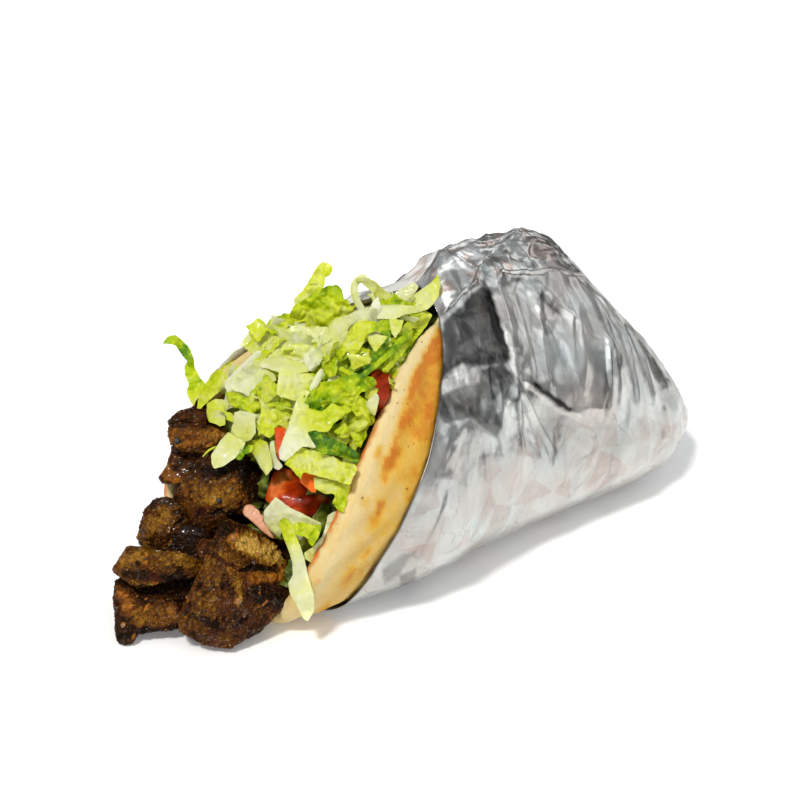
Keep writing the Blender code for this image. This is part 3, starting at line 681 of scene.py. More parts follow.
def make_foil():
    near = np.radians(np.linspace(-180, -25, 240, endpoint=False))
    under = np.radians(np.linspace(-25, 25, 24, endpoint=False))
    far = np.radians(np.linspace(25, 180, 88, endpoint=False))
    v = np.concatenate([near, under, far])
    cols, rows = len(v), 262
    edge = foil_edge(v)
    edge = edge + 0.06 * noise(np.stack([np.cos(v) * 3, np.sin(v) * 3, v * 0], -1), 5)
    t = np.linspace(0, 1, rows)[:, None]
    t = t - 0.16 * t * (1 - t)
    x = edge + (TAIL_X - edge) * t
    V = np.broadcast_to(v, x.shape)
    a = np.degrees(np.abs(V))
    P = wall(x, V, FOIL_INSET - foil_relief(x, V))
    P[..., 2] = np.where(a < 60, np.maximum(P[..., 2] - FOIL_INSET, 0.0), P[..., 2])
    N = grid_normals(P, P.mean(axis=1, keepdims=True))

    q = np.stack([x, np.degrees(V) * ROUND], -1)
    flat = np.concatenate([q, 0 * q[..., :1]], -1)
    warp = np.stack([noise(flat / 1.7, 31), noise(flat / 1.7 + 9, 32)], -1) * 0.16
    q = q + warp
    from_edge = smooth((x - edge - 0.05) / 0.9)
    low = smooth((a - 30) / 35)                       # hardly anything under the belly
    near_side = V < 0
    roof = smooth((a - 140) / 10) * smooth((15.2 - x) / 1.0)
    hood = smooth((a - 144) / 8) * smooth((10.9 - x) / 0.8) * near_side
    tail = smooth((x - 16.4) / 2.5)
    upper = smooth((a - 84) / 16)                     # busy above the widest line, calm below
    panel = smooth((10.2 - x) / 0.6) * smooth((a - 98) / 8) * smooth((148 - a) / 8) * near_side
    h = 0.0
    h = h + (0.05 + 0.05 * upper) * (facets(q, 2.3, 11) * 0.5 + 0.5) * low
    h = h + (0.016 + 0.034 * upper + 0.02 * tail) * facets(q + 5, 1.0, 12) * low
    h = h + (0.005 + 0.013 * upper + 0.012 * tail) * facets(q + 3, 0.45, 13) * low
    h = h + 0.10 * roof * (1 - 0.6 * hood) * (facets(q * np.array([1.0, 1.35]), 0.62, 14) * 0.5 + 0.5)
    h = h + 0.045 * roof * (1 - 0.6 * hood) * (facets(q * np.array([1.0, 1.3]), 0.28, 15) * 0.5 + 0.5)
    h = h + 0.10 * hood * (facets(q, 1.25, 16) * 0.5 + 0.5)
    h = h + panel * (0.05 * (facets(q, 0.8, 18) * 0.5 + 0.5) + 0.014 * facets(q, 0.33, 19) - 0.03)
    h = h + pressed(q, FOLDS) * np.where(near_side, 1, 0)
    # the sheet lifts off the pita up to the long fold and falls away behind it
    fold_x = table(LONG_FOLD, a)
    climb = np.clip((x - edge) / np.maximum(fold_x - edge, 0.5), 0, 1) ** 1.2
    fall = np.exp(-np.maximum(x - fold_x, 0) / 2.8)
    h = h + 0.26 * climb * fall * smooth((a - 92) / 14) * smooth((160 - a) / 10) * near_side
    # small hard crumples, busiest round the roof and the middle
    busy = (0.35 + 0.65 * smooth(0.5 + 1.6 * noise(P / 1.9, 43))) * low
    busy = busy * (1 - 0.7 * hood)
    h = h + busy * (0.014 + 0.040 * upper * roof + 0.016 * upper + 0.014 * tail) * facets(q + 1, 0.5, 21)
    h = h + busy * (0.004 + 0.024 * upper * roof + 0.008 * upper + 0.010 * tail) * facets(q + 2, 0.25, 22)
    h = h + pressed(q, far_folds()) * np.where(near_side, 0, 1)
    h = h + 0.004 * noise(P / 0.22, 41) + 0.010 * noise(P / 0.7, 42)
    h = np.maximum(h, -0.045) * from_edge * (0.25 + 0.75 * low)
    h = h * smooth((TAIL_X + 0.15 - x) / 0.5)
    # the roof is blunter than the wall it is folded over
    side_on = face_ab(P.reshape(-1, 3)).reshape(P.shape[:-1] + (2,))
    h = h - 0.30 * np.exp(-((side_on[..., 0] - 4.2) / 0.75) ** 2) * smooth((side_on[..., 1] - 5.3) / 0.6)
    P = P + N * h[..., None]
    P[..., 2] = np.maximum(P[..., 2], 0.0)
    # painted light and shade in the foil's colour from here on: patches and crease shadows on the near side, and small
    # facets painted lighter and darker one by one, standing in for the crumpled sheet's reflections
    tone = np.where(near_side, foil_tone(P), 1.0)
    tone = tone * np.where(near_side, 1.0, 0.75 + 0.25 * smooth(0.5 + 1.4 * facets(q, 1.6, 23)))
    # painted shadow along the near side's front edge, where the sheet meets the pita
    lip_shadow = np.exp(-(np.maximum(x - edge, 0) / 0.06) ** 2)
    tone = tone * (1 - 0.80 * lip_shadow * np.where(near_side, 1, 0))
    low_side = near_side * smooth((a * -1 + 96) / 14)
    leaning = q @ np.array([[1.0, 0.35], [0.0, 0.62]])   # creases run mostly up and down
    tone = tone * (1 - low_side * (0.07 + 0.06 * facets(q, 1.05, 24, flat=True) + 0.045 * facets(q + 3, 0.45, 25, flat=True)))
    high_side = near_side * (1 - smooth((a * -1 + 96) / 14))
    tone = tone * (1 + high_side * (0.11 * facets(leaning, 0.9, 26, flat=True) + 0.08 * facets(leaning + 3, 0.42, 27, flat=True)))
    tone = tone * (1 + 0.30 * (1 - hood) * roof * 0.6 * facets(q, 0.5, 28, flat=True))
    tone = tone * (1 + 0.35 * hood * (0.3 + facets(q, 1.0, 31, flat=True)))
    tone = tone * (1 + panel * (0.30 * facets(q, 0.85, 33, flat=True) + 0.24 * facets(q + 2, 0.42, 34, flat=True)))
    # painted shadow in thin winding creases on the near side
    for size, seed, deep in ((1.5, 45, 0.30), (0.7, 46, 0.24)):
        crease_shadow = smooth(1 - np.abs(noise(P / size, seed)) / 0.035) * smooth(0.3 + 2 * noise(P / 1.1, seed + 5))
        tone = tone * (1 - deep * crease_shadow * near_side)
    # painted warm reflections: a faint warmth all over, more on roof facets and low on the near side
    warm_reflection = np.clip(0.5 + 0.9 * noise(P / 1.3, 44), 0, 1) * 0.5
    warm_reflection = warm_reflection + 0.8 * roof * smooth(facets(q, 0.6, 29, flat=True) * 2 - 0.4) + 0.42 * low_side * smooth(facets(q, 1.0, 30, flat=True) * 3 - 1.2)
    warm_reflection = np.clip(warm_reflection, 0, 1)

    verts = [P.reshape(-1, 3)]
    faces = grid_faces(rows, cols)
    n = rows * cols
    # inside skin, plain, for the sheet's edge and the far side of the mouth
    inner = [(0.02, 0.0), (0.055, 0.4), (0.085, 1.2), (0.09, 4.0), (0.09, 8.0)]
    for depth, step in inner:
        xi = np.minimum(edge + step, TAIL_X - 1.2)
        p = wall(xi, v, FOIL_INSET + depth)
        p[:, 2] = np.where(np.abs(v) < radians(60), np.maximum(p[:, 2] - FOIL_INSET, depth * 0.5), p[:, 2])
        verts.append(p)
    faces += [(n + j, n + (j + 1) % cols, (j + 1) % cols, j) for j in range(cols)]
    for i in range(len(inner) - 1):
        s = n + i * cols
        faces += [(s + cols + j, s + cols + (j + 1) % cols, s + (j + 1) % cols, s + j) for j in range(cols)]
    last = n + (len(inner) - 1) * cols
    verts = np.vstack(verts)
    pole = verts[n - cols:n].mean(axis=0) + (0.04, 0, 0)
    pole2 = verts[last:last + cols].mean(axis=0) + (0.3, 0, 0)
    verts = np.vstack([verts, pole, pole2])
    k = len(verts) - 2
    faces += [(n - cols + j, n - cols + (j + 1) % cols, k) for j in range(cols)]
    faces += [(last + (j + 1) % cols, last + j, k + 1) for j in range(cols)]
    satin = np.clip(1.0 - 1.2 * roof - 1.2 * hood, 0, 1) * (0.55 + 0.45 * smooth(0.5 + 1.5 * noise(P / 1.6, 48)))
    # the inner skin's colour is lightened as painted light; its first two rings a little less on the far side and
    # painted darker on the near side, as painted shadow under the lip
    inside = np.full(len(verts) - n, 1.35)
    # the far lip is folded over, matt side out, and its colour is lightened there as painted light
    matt_and_painted_light = np.where(near_side, 0.0, 0.9 * smooth((edge + 3.4 - x) / 1.4) * smooth((a - 110) / 25))
    tone = tone * (1 + 0.4 * matt_and_painted_light)
    far_rings = np.tile(1 - near_side.reshape(rows, cols)[0] * 1.0, 2)
    inside[:2 * cols] = 0.60 + 0.65 * far_rings
    dull = np.full(len(verts) - n, 0.55)              # the matt side of the sheet
    dull[:2 * cols] = 0.55 * far_rings
    return outward(piece("foil_wrap", verts, faces, mat_foil(), "foil", attrs={
        "shade": np.concatenate([tone.reshape(-1), inside]),
        "satin": np.concatenate([(satin * np.ones(P.shape[:-1])).reshape(-1), inside * 0 + 2.2]),
        "warm_reflection": np.concatenate([warm_reflection.reshape(-1), inside * 0 + 0.3]),
        "dull": np.concatenate([matt_and_painted_light.reshape(-1), dull])}))


# ------------------------------------------------------------------------ pita
TOAST = [   # far flap: from (x, degrees) to (x, degrees), half width, strength
    (6.0, 135, 4.5, 118, 0.4, 0.9), (4.4, 118, 3.0, 100, 0.35, 0.7), (2.4, 104, 1.9, 88, 0.2, 0.8), (1.6, 80, 1.2, 62, 0.3, 0.6),
    (3.0, 80, 2.4, 66, 0.25, 0.5), (0.9, 50, 0.8, 36, 0.2, 0.8), (1.0, 92, 0.6, 78, 0.22, 0.9),
]
# toasted areas of the near flap as they show on the open face: outline, strength, softness
PATCHES = [
    ([(1.35, 2.51), (1.15, 2.18), (0.92, 1.77), (0.74, 1.37), (0.48, 0.96), (0.30, 0.44), (0.15, 0.07),
      (0, -0.41), (-0.04, -0.85), (0.48, -1.40), (1.07, -1.51), (1.44, -0.55), (1.63, 0.55), (1.66, 1.66),
      (1.59, 2.59)], 0.26, 0.1),
    ([(1.35, 2.51), (1.15, 2.18), (0.92, 1.77), (0.74, 1.37), (0.48, 0.96), (0.30, 0.44), (0.15, 0.07),
      (-0.04, -0.48), (-0.18, -1.03), (-0.33, -1.66), (-0.44, -2.18), (-0.04, -2.99), (0.48, -2.84),
      (1.03, -2.25), (1.22, -1.40), (1.44, -0.55), (1.63, 0.55), (1.66, 1.66), (1.59, 2.59)], 0.3, 0.1),
    ([(1.37, 2.53), (1.15, 2.18), (0.92, 1.77), (0.74, 1.37), (0.48, 0.96), (0.30, 0.44), (0.15, 0.04),
      (0.41, 0.07), (0.55, 0.44), (0.78, 0.92), (1.03, 1.26), (1.33, 1.44), (1.63, 1.59), (1.63, 2.59)], 0.42, 0.08),
    ([(1.18, 2.29), (0.96, 1.77), (0.85, 1.37), (1.22, 1.33), (1.33, 1.92), (1.33, 2.25)], 0.3, 0.06),
    ([(-0.04, -0.48), (-0.18, -1.03), (-0.33, -1.66), (-0.44, -2.40), (-0.11, -2.40), (-0.04, -1.74),
      (0.07, -1.29), (0.33, -0.85), (0.48, -0.52), (0.26, -0.33)], 0.34, 0.08),
    ([(-0.85, -1.55), (-0.55, -1.55), (-0.52, -1.92), (-0.26, -2.03), (-0.33, -2.40), (-0.85, -2.40)], 0.34, 0.08),
    ([(-1.15, -1.66), (-0.96, -1.66), (-0.92, -1.85), (-1.11, -1.92)], 0.3, 0.04),
    ([(0.92, -0.18), (1.15, -0.18), (1.11, -0.63), (0.85, -0.74)], 0.2, 0.06),
    ([(1.33, 2.59), (1.59, 2.59), (1.63, 1.44), (1.40, 1.44), (1.44, 2.03)], 0.25, 0.05),
    ([(-0.56, -2.00), (-0.23, -1.92), (-0.27, -2.36), (-0.40, -2.84), (-0.56, -2.96), (-0.68, -2.76),
      (-0.64, -2.36)], 0.62, 0.05),
    ([(-0.36, -1.67), (0.09, -1.67), (0.01, -1.92), (-0.23, -2.00)], 0.45, 0.06),
    ([(0.13, -3.00), (0.33, -3.00), (0.33, -3.53), (0.17, -3.57)], 0.45, 0.05),
    ([(-1.44, -3.33), (-1.12, -3.37), (-1.12, -3.77), (-1.32, -3.77)], 0.42, 0.07),
    ([(-0.80, -3.53), (-0.52, -3.45), (-0.56, -3.77), (-0.68, -4.05), (-0.88, -4.05), (-0.84, -3.77)], 0.75, 0.05),
    ([(-1.12, -4.09), (-0.64, -4.01), (-0.68, -4.33), (-0.96, -4.58), (-1.16, -4.58)], 0.45, 0.06),
    ([(-0.96, -4.17), (-0.40, -4.17), (-0.40, -4.82), (-0.80, -4.98), (-1.08, -4.66)], 0.22, 0.09),
    ([(-1.12, -5.06), (-1.00, -5.10), (-1.08, -5.34), (-1.28, -5.58), (-1.40, -5.50), (-1.28, -5.30)], 0.62, 0.04),
    ([(-1.28, -5.58), (-1.16, -5.62), (-1.36, -6.23), (-1.52, -6.23)], 0.42, 0.05),
    ([(-1.73, -5.78), (-1.44, -5.91), (-1.60, -6.15), (-1.97, -6.59), (-2.09, -6.55), (-1.97, -6.19)], 0.55, 0.05),
    ([(-2.45, -7.07), (-2.41, -7.15), (-2.57, -7.36), (-2.85, -7.48), (-2.77, -7.32)], 0.6, 0.04),
    ([(-1.60, -2.72), (-1.36, -2.76), (-1.60, -3.69), (-1.85, -4.33), (-2.17, -4.98), (-2.45, -5.50),
      (-2.69, -5.78), (-2.49, -5.22), (-2.17, -4.49), (-1.85, -3.53)], 0.34, 0.06),
    ([(0.41, -2.36), (0.89, -2.16), (0.89, -2.80), (0.57, -3.49), (0.25, -4.01), (0.25, -3.57)], 0.28, 0.1),
    ([(-1.04, -1.59), (-0.68, -1.59), (-0.72, -2.00), (-0.92, -2.04)], 0.4, 0.05),
]


def make_pita():
    def spread(a, b, n):
        return np.linspace(a, b, n, endpoint=False)
    phi = np.concatenate([spread(0, 118, 250), spread(118, 242, 60), spread(242, 360, 170)])
    cols = len(phi)
    near = phi <= 180
    ang = np.where(near, phi, 360 - phi)
    rim_x = np.where(near, table([(p, x) for p, x, _ in PITA_RIM_NEAR], ang),
                     table([(p, x) for p, x, _ in PITA_RIM_FAR], ang))
    rim_v = np.radians(np.where(near, -table([(p, v) for p, _, v in PITA_RIM_NEAR], ang),
                                table([(p, v) for p, _, v in PITA_RIM_FAR], ang)))
    # the near rim leans out a little more over the heap, high up
    up = face_ab(wall(rim_x, rim_v))[:, 1]
    rim_x = rim_x - 0.34 * near * smooth((up + 0.1) / 1.3) * smooth((3.5 - up) / 0.7)
    half = PITA_THICK / 2
    inner = wall(PITA_CENTRE_X + 0.93 * (rim_x - PITA_CENTRE_X), 0.93 * rim_v)
    reach = np.linalg.norm(wall(rim_x, rim_v) - inner, axis=1) / 0.07
    circle = np.stack([np.cos(np.radians(phi)), np.sin(np.radians(phi)), 0 * phi], -1)
    uneven = 1 + 0.004 * noise(circle * 9, 3) + 0.0015 * noise(circle * 26, 4)
    plump = 1 + 0.10 * noise(circle * 7, 8)           # the rim is thicker here and thinner there

    def ring(r, depth):
        r = r * uneven
        x = PITA_CENTRE_X + r * (rim_x - PITA_CENTRE_X)
        v = r * rim_v
        return wall(x, v, PITA_INSET + 0.10 * smooth((x - 15) / 2) + depth), x, v

    back = 1 - half / reach
    rows, kind, xs, vs = [], [], [], []
    outer = np.concatenate([np.linspace(0.06, 0.5, 12, endpoint=False), np.linspace(0.5, 1.0, 66)])
    for i in outer:
        p, x, v = ring(back * i, 0.0)
        rows.append(p), kind.append(i - 1 - 1e-9), xs.append(x), vs.append(v)
    nose = 16
    for i in range(1, nose):
        t = pi * i / nose
        s = np.sin(t) ** 0.85
        p, x, v = ring(back + half / reach * s * plump, half - half * np.cos(t))
        rows.append(p), kind.append(i / nose), xs.append(x), vs.append(v)
    for i in np.concatenate([np.linspace(1.0, 0.6, 22), np.linspace(0.55, 0.06, 8)]):
        p, x, v = ring(back * i, PITA_THICK)
        rows.append(p), kind.append(2 - i), xs.append(x), vs.append(v)
    P, X, V = np.array(rows), np.array(xs), np.array(vs)
    kind = np.array(kind)[:, None] * np.ones(cols)
    du = np.gradient(P, axis=0)
    dv = (np.roll(P, -1, axis=1) - np.roll(P, 1, axis=1)) / 2
    N = np.cross(du, dv)
    N /= np.maximum(np.linalg.norm(N, axis=-1, keepdims=True), 1e-9)
    if np.mean(np.sum(N[20:70] * (P[20:70] - P.mean(axis=(0, 1))), -1)) < 0:
        N = -N

    edge = foil_edge(V)
    bare = smooth((edge - X + 0.05) / 0.35)           # 1 in front of the foil
    is_out = kind <= 0
    is_nose = (kind > 0) & (kind < 1)
    q = np.stack([X, np.degrees(V) * ROUND], -1)
    lumps = 0.055 * fbm(P / 2.1, 21, 3) + 0.020 * noise(P / 0.5, 22) + 0.006 * noise(P / 0.2, 27)
    blister = np.zeros(P.shape[:2])
    rng = np.random.default_rng(12)
    for _ in range(26):
        c = np.array([rng.uniform(0.3, 6.5), rng.uniform(-140, -30) * ROUND * rng.choice([1, -1])])
        s = rng.uniform(0.15, 0.4)
        blister += rng.uniform(0.01, 0.035) * np.exp(-np.sum((q - c) ** 2, -1) / (2 * s * s))
    # shallow dents that follow the rim
    from_rim = (1 + kind) * reach                     # cm back from the rim, outer face only
    dents = 0.034 * np.sin(from_rim * 2 * pi / 1.05 + 2.2 * noise(P / 1.8, 23)) * np.exp(-((-kind * reach - 1.0) / 0.9) ** 2)
    h = np.where(is_out, (lumps + blister + dents) * bare + 0.03 * bare, 0.0)
    h = h + np.where(is_nose, 0.02 * noise(P / 0.5, 24) + 0.008 * noise(P / 0.16, 25), 0) * bare
    h = h + np.where(kind >= 1, 0.02 * noise(P / 0.7, 26), 0) * smooth((6 - X) / 1)
    h = np.where(is_out & (bare < 0.02), 0, h)
    P = P + N * h[..., None]
    P[..., 2] = np.maximum(P[..., 2], 0.02)

    toast = np.zeros(P.shape[:2])
    wob = np.stack([noise(P / 0.6, 51), noise(P / 0.6, 52)], -1) * 0.10 + np.stack([noise(P / 0.22, 57), noise(P / 0.22, 58)], -1) * 0.06
    for x0, a0, x1, a1, w, s in TOAST:
        a = np.array([x0, a0 * ROUND])
        b = np.array([x1, a1 * ROUND])
        d = b - a
        r = q + wob - a
        k = np.clip((r @ d) / (d @ d), 0, 1)
        dist = np.linalg.norm(r - k[..., None] * d, axis=-1)
        toast = toast + s * np.exp(-(dist / w) ** 2 * 0.9) * (1 - toast)
    near_flap = near[None] & np.ones(P.shape[:2], bool)
    toast = np.where(near_flap, 0, toast)
    seen = face_ab(P.reshape(-1, 3))
    wob2 = np.stack([noise(P / 0.35, 61), noise(P / 0.35, 62)], -1) * 0.08 + np.stack([noise(P / 0.11, 63), noise(P / 0.11, 64)], -1) * 0.045
    seen = (seen.reshape(P.shape[:2] + (2,)) + wob2).reshape(-1, 2)
    marks = np.zeros(len(seen))
    on = (near_flap & is_out).reshape(-1)
    for line, amount, soft in PATCHES:
        line = np.array(line)
        lo, hi = line.min(axis=0) - soft * 3, line.max(axis=0) + soft * 3
        k = np.where(((seen > lo) & (seen < hi)).all(axis=1) & on)[0]
        if not len(k):
            continue
        away = from_outline(line, seen[k]) * np.where(in_outline(line, seen[k]), 1, -1)
        marks[k] += amount * smooth(0.5 + away / (3.6 * soft))
    toast = np.where(is_out, toast + marks.reshape(P.shape[:2]), 0)
    upward = smooth((X - 2.6) / 3.0)
    to_foil = smooth(1 - (edge - X) / (0.9 + 0.9 * upward))
    faint = 0.27 + 0.16 * fbm(P / 0.7, 53, 3) + 0.05 * to_foil
    toast = np.clip(toast * 0.92 + faint * smooth(-kind * reach / 0.5), 0, 1)
    inside = kind >= 1
    toast = np.where(inside, 0.45 + 0.3 * fbm(P / 0.6, 54), toast)
    toast = np.where(is_nose, np.clip(0.06 + 0.08 * (1 - upward) + 0.2 * fbm(P / 0.5, 59), 0, 1), toast)
    rim_white = np.where(is_nose, 1.0, np.where(is_out, smooth(1.25 + kind * reach / 0.75), 0)) * (0.6 + 0.4 * upward)
    rim_white = rim_white * (1 - 0.95 * np.clip(marks.reshape(P.shape[:2]) * 1.7, 0, 1))
    turned = unit(np.cross(np.gradient(P, axis=0), np.gradient(P, axis=1)))
    turned = turned * np.sign(np.sum(turned * N, -1, keepdims=True) + 1e-9)
    line = np.where(is_nose, smooth((0.86 + 0.16 * noise(P / 0.3, 65) - turned @ BACK) / 0.3) * smooth((turned @ BACK + 0.5) / 0.4), 0)
    down = seen.reshape(P.shape[:2] + (2,))[..., 1]
    line = np.clip(line, 0, 1) * smooth((1.1 - down) / 0.9) * smooth((down + 7.2) / 0.9)
    line = line * (0.6 + 0.4 * smooth(0.5 + 1.2 * noise(P / 0.45, 55)))
    # painted shadow in a thin line just in front of the foil's edge
    foil_edge_shadow = np.where(is_out, np.exp(-(np.maximum(edge - X, 0) / 0.05) ** 2) * (X < edge + 0.3), 0) * (0.6 + 0.4 * noise(P / 0.5, 60))
    flour = np.clip(0.5 + 0.8 * fbm(P / 0.5, 56), 0, 1) * (1 - toast)

    n = P.shape[0] * cols
    verts = P.reshape(-1, 3)
    faces = grid_faces(P.shape[0], cols)
    c, c2 = P[0].mean(axis=0), P[-1].mean(axis=0)
    verts = np.vstack([verts, c, c2])
    faces += [(j, (j + 1) % cols, n) for j in range(cols)][::-1]
    faces += [(n - cols + (j + 1) % cols, n - cols + j, n + 1) for j in range(cols)]

    def flat(a):
        return np.concatenate([a.reshape(-1), [0.3, 0.3]])
    ob = piece("pita_bread", verts, faces, mat_pita(), "pita",
               attrs={"toast": flat(toast), "rim": flat(rim_white), "edge_line": flat(line), "flour": flat(flour), "foil_edge_shadow": flat(np.clip(foil_edge_shadow, 0, 1))})
    bm = bmesh.new()
    bm.from_mesh(ob.data)
    bmesh.ops.recalc_face_normals(bm, faces=bm.faces[:])
    if bm.calc_volume(signed=True) < 0:
        bmesh.ops.reverse_faces(bm, faces=bm.faces[:])
    bm.to_mesh(ob.data)
    bm.free()
    return ob


# ------------------------------------------------------------ meat and tomato
def face_ab(p):
    """Where points appear on the plane facing the mouth, in cm right and up of its middle."""
    d = p - EYE
    s = -VIEW_DIST / (d @ BACK)
    hit = EYE + d * s[..., None] - FACE_POINT
    return np.stack([hit @ RIGHT, hit @ UP], -1)


def mat_meat(name):
    m = Mat(name)
    tone, gold = m.attr("tone"), m.attr("gold")
    crumb = m.noise(760, 4, 0.7)
    blot = m.noise(190, 4, 0.62)
    t = m.math("ADD", tone, m.math("MULTIPLY", m.math("SUBTRACT", crumb, 0.5), 0.62))
    t = m.math("ADD", t, m.math("MULTIPLY", m.math("SUBTRACT", blot, 0.5), 0.42), clamp=True)
    base = m.ramp(t, [(0.0, lin(16, 5, 0)), (0.20, lin(42, 19, 1)), (0.40, lin(77, 42, 4)),
                      (0.58, lin(112, 75, 14)), (0.76, lin(150, 110, 34)), (1.0, lin(200, 160, 78))])
    base = m.mix(gold, base, m.ramp(m.noise(420, 3), [(0.35, lin(132, 66, 16)), (0.65, lin(196, 122, 38))]))
    red = m.ramp(m.noise(130, 3, 0.5), [(0.52, 0.0), (0.68, 0.35)])
    base = m.mix(red, base, lin(84, 34, 10))
    speck = m.ramp(m.cells(520), [(0.06, 1.0), (0.12, 0.0)])
    base = m.mix(m.math("MULTIPLY", speck, 0.6), base, lin(14, 8, 5))
    # light tan specks kept to the lighter parts: partly the meat's own light granules, partly painted glints
    granules_and_glints = m.ramp(m.cells(900), [(0.10, 1.0), (0.2, 0.0)])
    rich = m.ramp(m.noise(240, 3), [(0.45, 0.0), (0.6, 1.0)])
    lit = m.ramp(tone, [(0.25, 0.15), (0.7, 1.0)])
    base = m.mix(m.math("MULTIPLY", m.math("MULTIPLY", granules_and_glints, rich), m.math("MULTIPLY", lit, 0.8)), base, lin(202, 156, 80))
    m.to("Base Color", base)
    # fat glistens in spots; the rest is dull
    m.to("Roughness", m.ramp(m.noise(520, 3, 0.7), [(0.52, 0.70), (0.60, 0.14)]))
    wet = m.math("MULTIPLY", m.ramp(m.noise(640, 3, 0.7), [(0.53, 0.0), (0.60, 1.0)]), m.ramp(m.noise(150, 2), [(0.42, 0.1), (0.58, 1.0)]))
    m.to("Coat Weight", m.math("MULTIPLY", wet, 0.75))
    m.set(Specular_IOR_Level=0.10, Coat_Roughness=0.12, Subsurface_Weight=0.05, Subsurface_Scale=0.002)
    m.b.inputs["Subsurface Radius"].default_value = (1.0, 0.4, 0.2)
    a = m.bump(m.noise(1500, 3, 0.7), 0.00012, 0.9)
    m.to("Normal", m.bump(m.cells(820), 0.0005, 1.0, after=a))
    return m.m


def mat_tomato(name, pale=False):
    m = Mat(name)
    tone = m.attr("tone")
    streak = m.noise(1.0, 4, 0.6, coord=m.scaled(140, 420, 300, (0.4, 0.2, 0.9)))
    t = m.math("ADD", tone, m.math("MULTIPLY", m.math("SUBTRACT", streak, 0.5), 0.7), clamp=True)
    # a brighter orange for bits that lie in shade: painted light
    if name.endswith("bright"):
        stops = [(0.0, lin(206, 70, 8)), (0.5, lin(236, 96, 18)), (1.0, lin(246, 132, 50))]
    elif pale:
        stops = [(0.0, lin(186, 96, 50)), (0.5, lin(206, 146, 112)), (1.0, lin(222, 184, 154))]
    else:
        stops = [(0.0, lin(66, 9, 1)), (0.3, lin(126, 30, 4)), (0.55, lin(167, 48, 6)),
                 (0.8, lin(200, 82, 22)), (1.0, lin(218, 126, 64))]
    m.to("Base Color", m.ramp(t, stops))
    m.to("Roughness", m.ramp(m.noise(200, 2), [(0.3, 0.2), (0.7, 0.42)]))
    m.set(Subsurface_Weight=0.08, Subsurface_Scale=0.002, Specular_IOR_Level=0.20, Coat_Weight=0.10, Coat_Roughness=0.08)
    m.b.inputs["Subsurface Radius"].default_value = (1.0, 0.25, 0.12)
    m.to("Normal", m.bump(m.noise(300, 4, 0.6), 0.0004, 0.7))
    return m.m


def unit(a):
    return a / np.maximum(np.linalg.norm(a, axis=-1, keepdims=True), 1e-9)


def sphere(levels):
    bm = bmesh.new()
    bmesh.ops.create_icosphere(bm, subdivisions=levels, radius=1)
    d = np.array([v.co[:] for v in bm.verts])
    d /= np.linalg.norm(d, axis=1)[:, None]
    f = np.array([[v.index for v in face.verts] for face in bm.faces])
    bm.free()
    return d, f


def vertex_normals(p, f):
    n = np.cross(p[f[:, 1]] - p[f[:, 0]], p[f[:, 2]] - p[f[:, 0]])
    out = np.zeros_like(p)
    for k in range(3):
        np.add.at(out, f[:, k], n)
    return out / np.maximum(np.linalg.norm(out, axis=1, keepdims=True), 1e-12)


def evened(p, f, rounds):
    """Rounds edges off by drawing each corner towards its neighbours."""
    count = np.zeros(len(p))
    for k in range(3):
        np.add.at(count, f[:, k], 2)
    for _ in range(rounds):
        total = np.zeros_like(p)
        for k in range(3):
            np.add.at(total, f[:, k], p[f[:, (k + 1) % 3]] + p[f[:, (k + 2) % 3]])
        p = 0.5 * p + 0.5 * total / count[:, None]
    return p


def blob(name, levels, rounds=1, lean=0.38, edge=16):
    """Fine closed surface of one cut piece, finest towards the open face: points and faces.

    Seen from the open side it has the outline of OUTLINES, or else of its CAD solid."""
    c = np.array(CENTRES[name])
    d, f = sphere(levels)
    d = unit(d + lean * BACK)
    if name not in OUTLINES:
        v, faces = node_mesh(name)
        t = BVHTree.FromPolygons([Vector(q) for q in v], faces)
        r = np.array([t.ray_cast(Vector(c), Vector(k))[3] or 0.3 for k in d])
        return evened(c + d * r[:, None], f, rounds), f
    line, depth, planes, shift = OUTLINES[name]
    c = c + RIGHT * shift[0] + UP * shift[1]
    near = 1 - ((c - FACE_POINT) @ BACK) / VIEW_DIST
    line = (np.array(line) - face_ab(c[None])[0]) * near
    q = np.stack([d @ RIGHT, d @ UP, d @ BACK], -1)
    flat = np.linalg.norm(q[:, :2], axis=1)
    way = q[:, :2] / np.maximum(flat, 1e-9)[:, None]
    R = np.zeros(len(d))
    for p0, p1 in zip(line, np.roll(line, -1, axis=0)):
        e = p1 - p0
        det = way[:, 0] * -e[1] + way[:, 1] * e[0]
        det = np.where(np.abs(det) < 1e-9, 1e-9, det)
        t = (p0[0] * -e[1] + p0[1] * e[0]) / det
        k = (way[:, 0] * p0[1] - way[:, 1] * p0[0]) / det
        R = np.where((t > 0) & (k >= -1e-6) & (k <= 1 + 1e-6), np.maximum(R, t), R)
    R = np.maximum(R, 0.12)
    box = (flat / R) ** 6 + (np.abs(q[:, 2]) / depth) ** 6
    total = box ** (edge / 6)
    for na, nb, nw, far in planes:
        n = np.array([na, nb, nw]) / np.linalg.norm([na, nb, nw])
        total = total + (np.maximum(q @ n, 0) / far) ** edge
    r = total ** (-1 / edge)
    return evened(c + d * r[:, None], f, rounds), f


